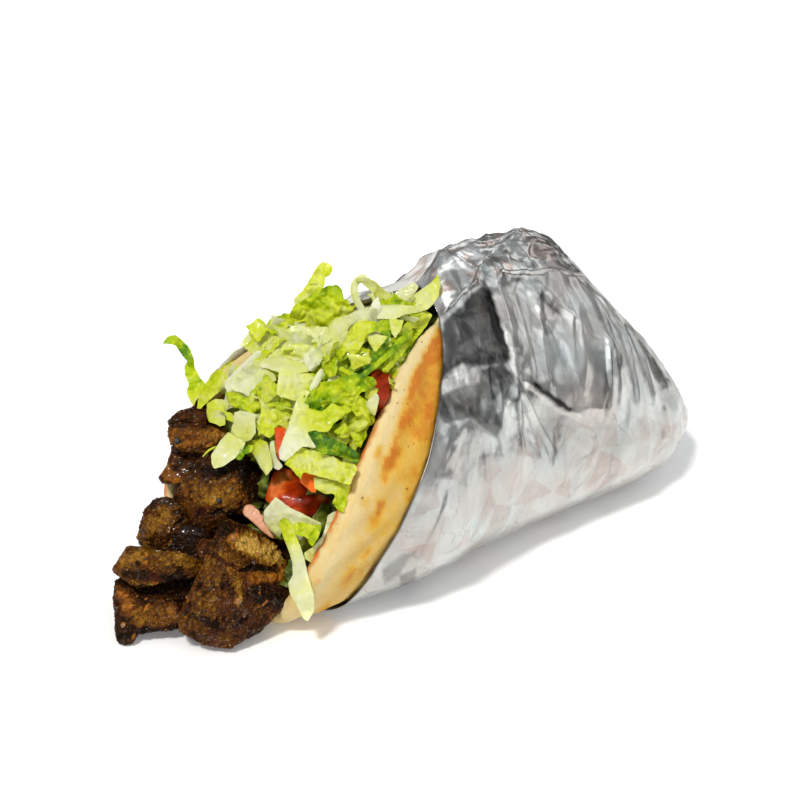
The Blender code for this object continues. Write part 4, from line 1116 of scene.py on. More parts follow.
# outlines (right, up), half depth, planes the open side is cut back to (right, up, out, distance),
# and the middle's shift (right, up)
OUTLINES = {
    "meat_front": ([(-6.28, -4.07), (-5.93, -4.28), (-5.41, -4.42), (-4.77, -4.77), (-4.30, -5.06),
        (-4.10, -5.59), (-3.89, -5.82), (-3.95, -6.05), (-3.75, -6.26), (-3.86, -6.69),
        (-3.89, -6.99), (-4.18, -7.45), (-4.53, -7.74), (-4.94, -8.15), (-5.41, -8.38),
        (-5.93, -8.68), (-6.34, -8.64), (-6.86, -8.56), (-7.33, -8.29), (-7.74, -8.06),
        (-7.71, -7.57), (-7.50, -7.04), (-7.27, -6.58), (-7.04, -6.11), (-6.86, -5.70),
        (-7.09, -5.41), (-7.27, -5.24), (-7.04, -4.95), (-6.63, -4.95), (-6.45, -4.66)], 1.3,
        [(-0.36, 0.05, 0.93, 1.1), (0.62, 0.42, 0.66, 1.1), (0.55, -0.42, 0.72, 1.26), (-0.1, -0.72, 0.69, 1.75), (-0.75, 0.45, 0.48, 1.35)], (0.02, -0.05)),
    "meat_slab": ([(-10.13, -5.97), (-9.89, -5.59), (-9.60, -5.12), (-9.19, -5.21), (-8.96, -5.12),
        (-8.78, -5.38), (-8.03, -5.36), (-7.62, -5.41), (-7.21, -5.56), (-6.86, -5.76),
        (-7.04, -6.11), (-7.44, -6.29), (-8.03, -6.34), (-8.43, -6.37), (-8.96, -6.55),
        (-9.19, -6.58), (-9.48, -6.37), (-9.89, -6.14)], 0.85,
        [(0.02, 0.75, 0.66, 0.62), (0, -0.3, 0.95, 0.78), (-0.6, 0.3, 0.74, 1.2), (0.5, 0.1, 0.85, 1)], (0, 0)),
    "meat_corner": ([(-10.01, -6.26), (-9.77, -6.46), (-9.42, -6.52), (-9.13, -6.78), (-8.43, -6.84),
        (-7.88, -6.87), (-7.59, -7.25), (-7.62, -7.68), (-7.79, -8.00), (-8.61, -8.12),
        (-9.25, -8.18), (-9.28, -8.44), (-9.60, -8.59), (-9.92, -8.41), (-10.01, -7.97),
        (-9.99, -7.57), (-10.09, -6.99), (-10.06, -6.52)], 0.8,
        [(0.05, -0.12, 0.99, 0.7), (-0.62, 0.25, 0.74, 0.92), (0, 0.72, 0.69, 0.66)], (0, 0)),
    "meat_left": ([(-9.22, -4.83), (-9.10, -4.31), (-8.93, -3.78), (-8.58, -3.43), (-8.20, -3.41),
        (-7.85, -3.49), (-7.44, -3.84), (-7.30, -4.42), (-7.44, -5.01), (-7.79, -5.24),
        (-8.32, -5.27), (-8.96, -5.21)], 0.9,
        [(-0.15, 0.3, 0.94, 0.74), (0.55, -0.1, 0.82, 0.82), (-0.2, -0.6, 0.77, 0.85), (-0.8, 0.1, 0.58, 0.85)], (0, 0)),
    "meat_middle": ([(-7.74, -3.03), (-7.44, -2.68), (-7.33, -2.21), (-6.86, -1.92), (-5.93, -1.86),
        (-5.23, -2.04), (-4.85, -2.56), (-4.80, -3.26), (-4.97, -3.73), (-5.46, -3.99),
        (-6.16, -4.07), (-6.28, -4.42), (-6.63, -4.66), (-7.09, -4.95), (-7.44, -4.89),
        (-7.36, -4.42), (-7.56, -3.78), (-7.97, -3.49), (-7.91, -3.26)], 1.15,
        [(-0.1, 0.42, 0.9, 1), (0.1, -0.55, 0.83, 1.05), (0.72, 0.1, 0.68, 1.1), (-0.55, -0.1, 0.82, 1.12)], (-0.05, 0.05)),
    "meat_under": ([(-8.00, -1.57), (-7.21, -1.75), (-6.63, -1.92), (-6.51, -2.44), (-7.09, -2.91),
        (-7.62, -2.91), (-8.32, -2.94), (-8.48, -2.74), (-8.23, -2.33), (-8.06, -1.92)], 0.75,
        [(-0.1, 0.2, 0.97, 0.55)], (0, 0)),
    "meat_upper": ([(-8.11, -0.99), (-7.91, -0.81), (-7.09, -0.84), (-6.28, -0.90), (-5.90, -0.99),
        (-6.02, -1.19), (-6.34, -1.43), (-6.51, -1.75), (-6.86, -1.87), (-7.21, -1.82),
        (-7.68, -1.70), (-8.00, -1.54), (-8.08, -1.25)], 0.8,
        [(0, 0.6, 0.8, 0.52), (0.05, -0.35, 0.93, 0.68)], (0, 0)),
    "meat_top": ([(-8.15, -0.73), (-7.74, -0.41), (-7.27, -0.23), (-7.12, 0.06), (-6.83, 0.06), (-6.63, -0.17),
        (-6.63, -0.87), (-7.85, -0.88), (-8.11, -0.87)], 0.6,
        [(-0.1, 0.5, 0.86, 0.42)], (0, 0)),
    "tomato_slice": ([(-4.77, -3.50), (-4.66, -3.09), (-4.56, -2.78), (-4.43, -2.42), (-4.12, -2.36),
        (-3.84, -2.39), (-3.66, -2.57), (-3.35, -2.88), (-3.02, -3.13), (-2.68, -3.25),
        (-2.31, -3.35), (-2.32, -3.60), (-2.48, -3.96), (-2.63, -4.43), (-3.04, -4.37),
        (-3.40, -4.22), (-3.81, -4.07), (-4.23, -3.86), (-4.48, -3.71)], 0.95,
        [(-0.1, 0.1, 0.99, 0.62), (-0.75, 0.15, 0.64, 0.78), (0.45, -0.35, 0.82, 0.72), (0.1, 0.8, 0.6, 0.55)], (-0.2, -0.35)),
    "tomato_strip": ([(-4.41, -0.95), (-4.02, -0.98), (-3.92, -1.34), (-4.07, -1.96), (-4.25, -2.14),
        (-4.38, -1.85)], 0.35,
        [], (0, 0)),
    "tomato_pale": ([(-5.52, -3.91), (-5.44, -3.68), (-5.20, -3.66), (-4.95, -3.83), (-4.79, -4.22),
        (-4.43, -4.66), (-4.33, -4.94), (-4.69, -4.73), (-5.00, -4.43), (-5.31, -4.17),
        (-5.49, -4.07)], 0.3,
        [(0, 0.2, 0.97, 0.2)], (0, 0)),
}
# marks on the meat's open faces: (right, up, right2, up2, half width, lift, tone, gold); the darkening ones mostly
# paint shade into grooves, gaps, along lower edges and on faces turned from the light, the others are lighter cut faces
# and golden crust
MARKS = {
    "meat_front": [
        (-5.50, -5.92, -4.35, -5.86, 0.09, -0.12, -0.6, 0.0), (-5.2, -6.3, -3.95, -6.15, 0.17, 0.04, 0.30, 0.75), (-6.9, -5.3, -5.7, -5.9, 0.10, -0.05, -0.3, 0.0),
        (-5.45, -4.98, -4.30, -5.45, 0.40, 0.0, 0.62, 0.06), (-5.95, -4.88, -5.80, -4.78, 0.13, 0.05, 0.5, 0.95),
        (-5.70, -7.08, -5.60, -6.98, 0.12, 0.05, 0.4, 0.9), (-4.02, -6.1, -3.95, -6.4, 0.15, 0.02, 0.2, 0.8),
        (-5.15, -6.6, -4.3, -6.95, 0.42, 0.0, -0.34, 0.0), (-6.6, -5.6, -6.9, -7.4, 0.5, 0.0, 0.10, 0.0),
        (-6.3, -4.4, -5.6, -4.5, 0.35, 0.0, -0.25, 0.0), (-6.0, -7.5, -5.2, -8.2, 0.4, 0.0, -0.12, 0.0),
        (-5.9, -5.6, -5.6, -6.6, 0.35, 0.0, 0.16, 0.05), (-7.2, -7.6, -6.2, -8.1, 0.12, -0.05, -0.3, 0.0)],
    "meat_corner": [
        (-9.1, -7.55, -8.3, -7.55, 0.42, 0.02, 0.26, 0.10), (-9.75, -6.85, -9.55, -7.3, 0.26, 0.02, 0.2, 0.75),
        (-8.0, -7.2, -7.9, -7.7, 0.2, -0.03, 0.15, 0.25), (-9.4, -8.1, -8.4, -8.1, 0.12, -0.04, -0.35, 0.0)],
    "meat_slab": [
        (-9.9, -5.6, -9.3, -5.5, 0.22, 0.0, 0.25, 0.12), (-8.6, -5.35, -7.4, -5.6, 0.3, 0.03, 0.10, 0.0),
        (-9.6, -6.1, -7.6, -6.3, 0.16, -0.04, -0.3, 0.0)],
    "meat_left": [
        (-8.7, -4.3, -8.1, -3.9, 0.3, 0.02, 0.18, 0.1), (-7.9, -4.9, -7.6, -5.2, 0.3, -0.03, -0.2, 0.0)],
    "meat_middle": [
        (-7.2, -3.2, -5.6, -3.4, 0.55, 0.02, 0.22, 0.10), (-6.2, -4.3, -5.6, -4.6, 0.3, 0.0, 0.1, 0.1),
        (-5.35, -2.4, -4.9, -3.6, 0.35, 0.0, -0.45, 0.0), (-6.9, -2.5, -5.7, -2.2, 0.2, -0.03, -0.3, 0.0),
        (-6.4, -3.9, -5.2, -4.2, 0.10, -0.05, -0.3, 0.0)],
    "meat_upper": [(-8.0, -1.35, -6.1, -1.30, 0.33, 0.03, 0.24, 0.30), (-7.6, -1.9, -6.6, -1.95, 0.2, 0.0, 0.05, 0.3)],
    "meat_top": [(-7.9, -0.8, -7.2, -0.6, 0.3, 0.0, -0.15, 0.12)],
    "meat_under": [(-8.3, -2.4, -7.8, -2.9, 0.2, 0.0, 0.2, 0.6)],
}
# tomato marks: painted light where pieces lie in the shade of the shreds above, a painted highlight on the slice's
# right and painted shade low on its right; right, up, radius, lighter or darker
TOMATO_MARKS = {  # right, up, radius, lighter or darker
    "tomato_strip": [(-4.2, -1.5, 1.6, 0.5)], "tomato_edge": [(-0.6, 0.0, 1.5, -0.12)],
    "tomato_slice": [(-4.35, -3.1, 0.34, 0.45), (-4.05, -2.65, 0.34, 0.45), (-4.5, -3.5, 0.25, 0.3), (-3.55, -2.85, 0.3, 0.05), (-3.3, -3.5, 0.35, -0.25),
                     (-2.75, -3.35, 0.2, 0.5), (-2.5, -4.0, 0.4, -0.6), (-3.0, -4.0, 0.4, -0.35), (-3.9, -3.55, 0.3, 0.1)],
}
GRAIN = {  # direction of the meat's grain on each piece
    "meat_front": (0.55, 0.1, 0.75), "meat_middle": (0.8, -0.3, 0.35), "meat_slab": (0.9, 0.2, 0.1),
}


FACES_OF_MEAT = []


def make_meat():
    crust = mat_meat("meat_seared")
    sizes = {"meat_front": 7, "meat_middle": 6, "meat_corner": 6, "meat_slab": 6, "meat_left": 6,
             "meat_under": 6, "meat_upper": 6, "meat_top": 6}
    for k, (name, level) in enumerate(sizes.items()):
        p, f = blob(name, level, 1, edge=34 if level == 7 else 26)
        n = vertex_normals(p, f)
        g = np.array(GRAIN.get(name, (0.6, -0.4, 0.5)))
        g = g / np.linalg.norm(g)
        along = p - (p @ g)[:, None] * g * 0.55       # squeezed, so that features run along the grain
        warp = np.stack([noise(p / 0.33, 5 + j) for j in range(3)], -1)
        big = fbm(along / 0.85, 60 + k, 3)
        shelf = fbm(along / 1.2 + 7, 160 + k, 2)
        shelf = np.abs(shelf) ** 0.6 * np.sign(shelf)  # torn steps
        f1, f2 = cells(along / 0.25 + 0.34 * warp, 70 + k)
        crumbs = smooth((f2 - f1) / 0.55) - 0.5        # clods with narrow gaps between
        f3, f4 = cells(p / 0.125 + 0.3 * warp, 90 + k)
        fine = smooth((f4 - f3) / 0.5) - 0.5
        pits = smooth((fbm(along / 0.36, 80 + k, 3) - 0.18) / 0.22)
        grit = noise(p / 0.055, 95 + k)
        h = 0.035 * big + 0.04 * shelf + 0.042 * crumbs + 0.028 * fine + 0.012 * grit - 0.075 * pits
        # tone: the meat's own varied browning, painted lighter on raised clods and darker in the pits, as painted light
        # and shade
        tone = 0.46 + 0.12 * crumbs + 0.17 * fine + 0.16 * big - 0.30 * pits + 0.12 * fbm(p / 0.6, 99 + k, 2) + 0.06 * grit
        tone = tone + {"meat_top": -0.20, "meat_corner": -0.20, "meat_upper": -0.14, "meat_middle": -0.16, "meat_under": -0.10,
                       "meat_slab": 0.0}.get(name, -0.08)
        gold = 0.7 * smooth((noise(p / 0.42, 66 + k) - 0.40) / 0.25) * smooth((crumbs + 0.1) / 0.3)
        ab = face_ab(p) + np.stack([noise(p / 0.3, 3), noise(p / 0.3, 4)], -1) * 0.10
        seen = smooth(((n @ BACK) + 0.15) / 0.3)
        for a0, b0, a1, b1, w, lift, dt, dg in MARKS.get(name, ()):
            s0, s1 = np.array([a0, b0]), np.array([a1, b1])
            dd = s1 - s0
            t = np.clip(((ab - s0) @ dd) / max(dd @ dd, 1e-9), 0, 1)
            dist = np.linalg.norm(ab - s0 - t[:, None] * dd, axis=1)
            m = smooth(1.4 - dist / w) * seen
            h = h + lift * m
            tone = tone + dt * m
            gold = gold + dg * m * (0.6 + 0.8 * (crumbs + 0.2))
        p = p + n * h[:, None]
        p[:, 2] = np.maximum(p[:, 2], 0.01)
        FACES_OF_MEAT.append((p, f))
        outward(piece(name + "_seared", p, f, crust, name,
                      attrs={"tone": np.clip(tone, 0, 1), "gold": np.clip(gold, 0, 1)}))
    make_hollow(crust)


def make_hollow(crust):
    """Very dark meat filling the gaps between the lowest cuts: painted shade, standing for the shadow deep in the gaps.
    """
    d, f = sphere(6)
    verts, faces, tones = [], [], []
    for k, (a, b, back, ra, rb, rw) in enumerate(((-7.55, -6.66, 0.75, 1.0, 0.60, 0.5), (-7.35, -5.1, 1.0, 0.75, 0.75, 0.5),
                                                (-8.75, -6.50, 0.60, 1.05, 0.42, 0.5))):
        w = (np.array(CENTRES["meat_slab"]) - FACE_POINT) @ BACK - back
        go = FACE_POINT + RIGHT * a + UP * b - EYE
        c = EYE + go / (go @ -BACK) * (VIEW_DIST - w)
        q = d / (np.abs(d) ** 4).sum(axis=1, keepdims=True) ** 0.25
        p = c + RIGHT * q[:, :1] * ra + UP * q[:, 1:2] * rb + BACK * q[:, 2:] * rw
        f1, f2 = cells(p / 0.2, 310 + k)
        lump = smooth((f2 - f1) / 0.5) - 0.5
        p = p + d * (0.10 * noise(p / 0.35, 300 + k) + 0.07 * lump + 0.03 * noise(p / 0.11, 320 + k) + 0.015 * noise(p / 0.05, 330 + k))[:, None]
        p[:, 2] = np.maximum(p[:, 2], 0.01)
        faces += (f + k * len(d)).tolist()
        verts.append(p)
        tones.append(0.10 + 0.14 * lump)
    piece("meat_shaded_gap", np.vstack(verts), faces, crust,
          attrs={"tone": np.clip(np.concatenate(tones), 0, 1), "gold": np.zeros(3 * len(d))})


def make_tomato():
    red, pale = mat_tomato("tomato_flesh"), mat_tomato("tomato_pale_flesh", True)
    for k, (name, level) in enumerate({"tomato_slice": 6, "tomato_strip": 5, "tomato_edge": 5, "tomato_pale": 5}.items()):
        p, f = blob(name, level, 2, edge=12)
        n = vertex_normals(p, f)
        h = 0.022 * fbm(p / 0.8, 110 + k, 3) + 0.006 * noise(p / 0.14, 120 + k)
        groove = smooth((noise(p / np.array([0.9, 0.5, 0.45]), 130 + k) - 0.25) / 0.3)
        h = h - 0.03 * groove
        tone = 0.48 + 0.13 * fbm(p / 0.5, 140 + k, 3) + 0.12 * groove
        ab = face_ab(p)
        for a0, b0, w, dt in TOMATO_MARKS.get(name, ()):
            tone = tone + dt * smooth(1.4 - np.linalg.norm(ab - np.array([a0, b0]), axis=1) / w)
        piece(name + "_cut", p + n * h[:, None], f, pale if name == "tomato_pale" else red, name,
              attrs={"tone": np.clip(tone, 0, 1)})


def remeshed(name, voxel):
    """A CAD node remade with an even, fine mesh: points (cm) and faces."""
    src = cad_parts[name]
    ob = bpy.data.objects.new("even", src.data.copy())
    bpy.context.scene.collection.objects.link(ob)
    s = ob.modifiers.new("r", "REMESH")
    s.mode = "VOXEL"
    s.voxel_size = voxel * CM
    s.adaptivity = 0.0
    bpy.context.view_layer.update()
    me = bpy.data.meshes.new_from_object(ob.evaluated_get(bpy.context.evaluated_depsgraph_get()))
    v = np.array([p.co[:] for p in me.vertices]) / CM - SHIFT
    faces = [tuple(p.vertices) for p in me.polygons]
    bpy.data.objects.remove(ob, do_unlink=True)
    return v, faces


def quad_normals(p, faces):
    n = np.zeros_like(p)
    a = np.array([f[:3] for f in faces])
    fn = np.cross(p[a[:, 1]] - p[a[:, 0]], p[a[:, 2]] - p[a[:, 0]])
    for k in range(4):
        i = np.array([f[k % len(f)] for f in faces])
        np.add.at(n, i, fn)
    return n / np.maximum(np.linalg.norm(n, axis=1, keepdims=True), 1e-12)


def make_bed():
    p, f = remeshed("meat_bed", 0.14)
    n = quad_normals(p, f)
    f1, _ = cells(p / 0.32, 170)
    big = fbm(p / 0.9, 171, 3)
    h = -0.05 + 0.05 * big + 0.05 * (0.5 - f1)
    tone = 0.24 + 0.25 * (0.5 - f1) + 0.15 * big
    return piece("meat_bed_slices", p + n * h[:, None], f, mat_meat("meat_inner"), "meat_bed",
                 attrs={"tone": np.clip(tone, 0, 1), "gold": np.zeros(len(p))})


def mat_fleck(name, colour, rough, coat):
    m = Mat(name)
    r, g, b = colour
    m.to("Base Color", m.ramp(m.noise(900, 3), [(0.3, lin(r * 0.6, g * 0.6, b * 0.6)), (0.7, lin(r, g, b))]))
    m.set(Roughness=rough, Coat_Weight=coat, Coat_Roughness=0.15)
    m.to("Normal", m.bump(m.noise(1600, 3), 0.0001, 0.6))
    return m.m


def make_flecks():
    """Cracked pepper, toasted crumbs, herbs and pale glossy beads lying on the meat, each a small closed lump; the
    beads are partly fat and partly painted glints.
    """
    names = [n for n in CENTRES if n.startswith("meat")]
    v, faces = [], []
    for p, f in FACES_OF_MEAT:
        faces += (f + sum(len(q) for q in v)).tolist()
        v.append(p)
    tree = BVHTree.FromPolygons([Vector(q) for q in np.vstack(v)], faces)
    d, f = sphere(2)
    rng = np.random.default_rng(77)
    groups = {"pepper": ([], []), "crumb": ([], []), "herb": ([], []), "fat_glint": ([], [])}

    def lump(kind, at, n, size, seed):
        v, faces = groups[kind]
        base = sum(len(a) for a in v)
        a = np.array(n) / np.linalg.norm(n)
        r = 1 + 0.28 * noise(d * 1.7 + seed, seed)
        stretch = np.array([1.0, rng.uniform(0.6, 1.0), rng.uniform(0.45, 0.8)])
        x = np.cross(a, rng.normal(size=3))
        x /= np.linalg.norm(x)
        y = np.cross(a, x)
        q = d * r[:, None] * stretch * size
        v.append(np.array(at) + q[:, :1] * x + q[:, 1:2] * y + q[:, 2:] * a)
        faces += [tuple(int(i) + base for i in t) for t in f]

    # named ones on the open face: right, up, radius
    for kind, a, b, size in [("pepper", -6.35, -3.53, 0.115), ("pepper", -7.82, -1.44, 0.13), ("pepper", -7.9, -4.9, 0.05),
                             ("pepper", -8.2, -4.4, 0.045), ("pepper", -5.1, -4.8, 0.045), ("pepper", -6.6, -6.6, 0.04),
                             ("pepper", -5.9, -6.9, 0.045), ("pepper", -8.9, -5.6, 0.05), ("pepper", -5.9, -3.1, 0.05),
                             ("pepper", -8.3, -3.6, 0.06), ("pepper", -8.0, -3.75, 0.05), ("pepper", -6.9, -3.6, 0.045),
                             ("crumb", -5.87, -4.84, 0.13), ("crumb", -5.65, -7.05, 0.12), ("crumb", -9.7, -7.9, 0.10),
                             ("crumb", -5.0, -5.4, 0.07), ("crumb", -4.6, -5.7, 0.08), ("crumb", -8.9, -7.0, 0.07),
                             ("herb", -5.5, -5.0, 0.05), ("herb", -8.1, -5.1, 0.045), ("herb", -6.1, -3.9, 0.05)]:
        go = Vector(FACE_POINT + RIGHT * a + UP * b - EYE).normalized()
        hit = tree.ray_cast(Vector(EYE), go)
        if hit[0] is not None:
            lump(kind, np.array(hit[0]) + np.array(hit[1]) * size * 0.25, hit[1], size, int(rng.integers(1, 9999)))
    # the rest, strewn over every open face
    for i in range(240):
        c = np.array(CENTRES[names[int(rng.integers(len(names)))]])
        k = rng.normal(size=3)
        k /= np.linalg.norm(k)
        far = Vector(c + k * 6)
        hit = tree.ray_cast(far, Vector(-k))
        if hit[0] is None or hit[0].z < 0.15:
            continue
        kind = rng.choice(["pepper", "crumb", "herb"], p=[0.52, 0.36, 0.12])
        size = rng.uniform(0.018, 0.045) if kind != "crumb" else rng.uniform(0.02, 0.06)
        lump(kind, np.array(hit[0]) + np.array(hit[1]) * size * 0.2, hit[1], size, int(rng.integers(1, 9999)))
    # pale glossy beads over the open faces: partly fat, partly painted glints standing for the wet sparkle
    for i in range(1100):
        a, b = rng.uniform(-10.2, -3.6), rng.uniform(-8.6, -0.6)
        hit = tree.ray_cast(Vector(EYE), Vector(FACE_POINT + RIGHT * a + UP * b - EYE).normalized())
        if hit[0] is None or noise(np.array(hit[0])[None] / 0.5, 88)[0] < 0.08:
            continue
        size = rng.uniform(0.008, 0.020)
        lump("fat_glint", np.array(hit[0]) + np.array(hit[1]) * size * 0.3, hit[1], size, int(rng.integers(1, 9999)))
    looks = {"fat_glint": ("fat_glint_beads", (196, 158, 96), 0.10, 1.0), "pepper": ("pepper_flecks", (34, 28, 24), 0.5, 0.3), "crumb": ("toasted_crumbs", (178, 112, 44), 0.45, 0.5),
             "herb": ("herb_flecks", (92, 104, 34), 0.5, 0.2)}
    for kind, (v, faces) in groups.items():
        name, colour, rough, coat = looks[kind]
        piece(name, np.vstack(v), faces, mat_fleck(name, colour, rough, coat))


# -------------------------------------------------------------------- lettuce
def mat_lettuce(name):
    m = Mat(name)
    tint, vein, lot = m.attr("tint"), m.attr("vein"), m.attr("lot")
    patch = m.noise(170, 4, 0.6)
    t = m.math("ADD", tint, m.math("MULTIPLY", m.math("SUBTRACT", patch, 0.5), 0.36))
    t = m.math("SUBTRACT", t, m.math("MULTIPLY", vein, 0.16), clamp=True)
    base = m.ramp(t, [(0.0, lin(248, 248, 230)), (0.14, lin(241, 244, 204)), (0.30, lin(235, 239, 152)),
                      (0.45, lin(229, 236, 76)), (0.60, lin(218, 230, 32)), (0.74, lin(176, 206, 14)),
                      (0.88, lin(92, 150, 8)), (1.0, lin(42, 100, 4))])
    base = m.mix(m.math("MULTIPLY", lot, 0.26), base, lin(230, 226, 120), "MULTIPLY")
    m.to("Base Color", base)
    m.to("Roughness", m.ramp(m.noise(260, 2), [(0.35, 0.30), (0.65, 0.56)]))
    m.set(Coat_Weight=0.28, Coat_Roughness=0.07, Specular_IOR_Level=0.35)
    a = m.bump(m.noise(900, 3, 0.6), 0.00014, 0.5)
    a = m.bump(m.cells(420), 0.0006, 0.45, after=a)
    normal = m.bump(m.noise(260, 4, 0.62), 0.0009, 0.6, after=a)
    m.to("Normal", normal)
    glow = m.t.nodes.new("ShaderNodeBsdfTranslucent")
    bright = m.mix(0.3, base, lin(244, 240, 70), "SCREEN")
    m.link(bright, glow.inputs["Color"])
    m.link(normal, glow.inputs["Normal"])
    mixer = m.t.nodes.new("ShaderNodeMixShader")
    mixer.inputs[0].default_value = 0.44
    m.link(m.b.outputs[0], mixer.inputs[1])
    m.link(glow.outputs[0], mixer.inputs[2])
    m.link(mixer.outputs[0], m.out.inputs["Surface"])
    return m.m


def spline(pts, n):
    """Evenly spaced points on a smooth curve through pts (rows)."""
    pts = np.asarray(pts, float)
    ext = np.vstack([2 * pts[0] - pts[1], pts, 2 * pts[-1] - pts[-2]])
    out = []
    for i in range(len(pts) - 1):
        p0, p1, p2, p3 = ext[i:i + 4]
        t = np.linspace(0, 1, 24, endpoint=False)[:, None]
        out.append(0.5 * (2 * p1 + (p2 - p0) * t + (2 * p0 - 5 * p1 + 4 * p2 - p3) * t ** 2
                          + (3 * p1 - p0 - 3 * p2 + p3) * t ** 3))
    out = np.vstack(out + [pts[-1:]])
    run = np.concatenate([[0], np.cumsum(np.linalg.norm(np.diff(out[:, :2], axis=0), axis=1))])
    at = np.linspace(0, run[-1], n)
    return np.stack([np.interp(at, run, out[:, k]) for k in range(out.shape[1])], -1), run[-1]


def ribbon(path, hint, half, tint, ruffle, curl, thick, jag, seed, step=0.085, slant=0.5):
    """One shred: a thin closed sheet along path, facing hint, with ragged edges and ends cut aslant."""
    rng = np.random.default_rng(seed)
    n = len(path)
    run = np.concatenate([[0], np.cumsum(np.linalg.norm(np.diff(path, axis=0), axis=1))])
    t = unit(np.gradient(path, axis=0))
    nn = unit(hint - np.sum(hint * t, -1, keepdims=True) * t)
    b = np.cross(t, nn)
    m = int(np.clip(round(2 * np.max(half) / step), 4, 13))
    s = np.linspace(-1, 1, m)
    u = run[:, None] * np.ones(m)
    S = np.ones(n)[:, None] * s
    one = np.ones((n, m))
    seedv = rng.uniform(0, 50, 4)
    side = np.where(S < 0, seedv[0], seedv[1])
    ragged = 1 + jag * (0.30 * noise(np.stack([u / 0.45, side, one], -1), seed) + 0.26 * noise(np.stack([u / 0.15, side, one], -1), seed + 1))
    W = half[:, None] * S * np.where(np.abs(S) > 0.5, 1 + (ragged - 1) * (np.abs(S) - 0.5) * 2, 1)
    # a soft fold somewhere along it, and a little curl across
    f0 = rng.uniform(-0.5, 0.5)
    bend = rng.choice([-1, 1]) * rng.uniform(0.1, 0.5)
    off = half[:, None] * (bend * np.abs(S - f0) - curl * (S ** 2 - 0.3) * rng.choice([1, -0.7]))
    l1, l2 = rng.uniform(0.5, 0.8), rng.uniform(0.22, 0.34)
    edge = np.abs(S) ** 1.6
    phase = np.where(S < 0, rng.uniform(0, 6.28), rng.uniform(0, 6.28))
    wander = 1.4 * noise(np.stack([u / 0.9, side, one], -1), seed + 2)
    wave = np.sin(2 * pi * u / l1 + phase + 2 * wander) + 0.5 * np.sin(2 * pi * u / l2 + 1.7 * phase + 3 * wander)
    off = off + ruffle * 0.12 * edge * wave * np.minimum(1, half[:, None] / 0.25)
    W = W + ruffle * 0.05 * edge * np.cos(2 * pi * u / l1 + phase)
    # ends cut aslant and a bit torn
    cut = np.exp(-np.minimum(run, run[-1] - run) / 0.22)[:, None]
    lean = np.where(run < run[-1] / 2, rng.normal(0, slant), rng.normal(0, slant))[:, None]
    along = cut * (lean * half[:, None] * S + 0.05 * noise(np.stack([S * half[:, None] / 0.12, one * seedv[2], one], -1), seed + 7))
    P = path[:, None, :] + b[:, None, :] * W[..., None] + nn[:, None, :] * off[..., None] + t[:, None, :] * along[..., None]
    green = smooth((np.interp(run / run[-1], np.linspace(0, 1, len(tint)), tint)[:, None] * one - 0.12) / 0.3)
    f1, f2 = cells(P / 0.34 + 0.3 * noise(P / 0.4, 9)[..., None], seed + 3)
    pucker = smooth((f2 - f1) / 0.4)
    crinkle = green * (0.02 + 0.035 * ruffle) * (pucker - 0.5) + 0.02 * noise(P / 0.45 + seedv[2], seed + 3) + 0.008 * noise(P / 0.13, seed + 4)
    P = P + nn[:, None, :] * crinkle[..., None]
    du = np.gradient(P, axis=0)
    dv = np.gradient(P, axis=1)
    N = unit(np.cross(du, dv))
    N = np.where(np.sum(N * nn[:, None, :], -1, keepdims=True) < 0, -N, N)
    th = thick * (1 - 0.6 * S ** 4)
    top = P + N * ((th / 2)[..., None])
    low = P - N * (th / 2)[..., None]
    verts = np.vstack([top.reshape(-1, 3), low.reshape(-1, 3)])
    faces = []
    i, j = np.meshgrid(np.arange(n - 1), np.arange(m - 1), indexing="ij")
    a = (i * m + j).ravel()
    k = n * m
    faces += np.stack([a, a + m, a + m + 1, a + 1], 1).tolist()
    faces += np.stack([a + k + 1, a + k + m + 1, a + k + m, a + k], 1).tolist()
    for r in range(n - 1):
        e0, e1 = r * m, (r + 1) * m
        faces.append([e0, e0 + k, e1 + k, e1])
        e0, e1 = r * m + m - 1, (r + 1) * m + m - 1
        faces.append([e1, e1 + k, e0 + k, e0])
    for c in range(m - 1):
        faces.append([c + 1, c + 1 + k, c + k, c])
        e = (n - 1) * m + c
        faces.append([e, e + k, e + 1 + k, e + 1])
    col = np.interp(run / run[-1], np.linspace(0, 1, len(tint)), tint)[:, None] * one
    col = col + 0.14 * green * (np.abs(S) ** 2 - 0.35) + 0.10 * green * noise(P / 0.5, seed + 5) + 0.03 * noise(P / 0.25, seed + 6)
    vein = green * (1 - smooth((f2 - f1) / 0.10))
    col, vein = col.reshape(-1), vein.reshape(-1)
    lot = np.full(len(verts), rng.uniform(0, 1) ** 2)
    return verts, faces, np.concatenate([col, col]), np.concatenate([vein, vein]), lot


# where the heap is tinted greener and darker, partly the leaves' own colour and partly painted shade where they lie in
# shadow, and paler high up as painted light: right, up, radius, how much
GREENER_AND_SHADED = [(-2.9, -0.5, 0.9, 0.21), (-5.7, -1.3, 0.7, 0.18), (-7.9, 1.1, 0.9, 0.14), (-7.0, 1.0, 0.7, 0.08),
           (-5.5, 0.9, 0.7, -0.06), (-3.9, 0.6, 0.6, -0.08), (-1.3, 2.9, 1.1, -0.10), (-3.3, 2.3, 0.8, -0.10),
           (-1.6, 0.9, 0.8, 0.16)]


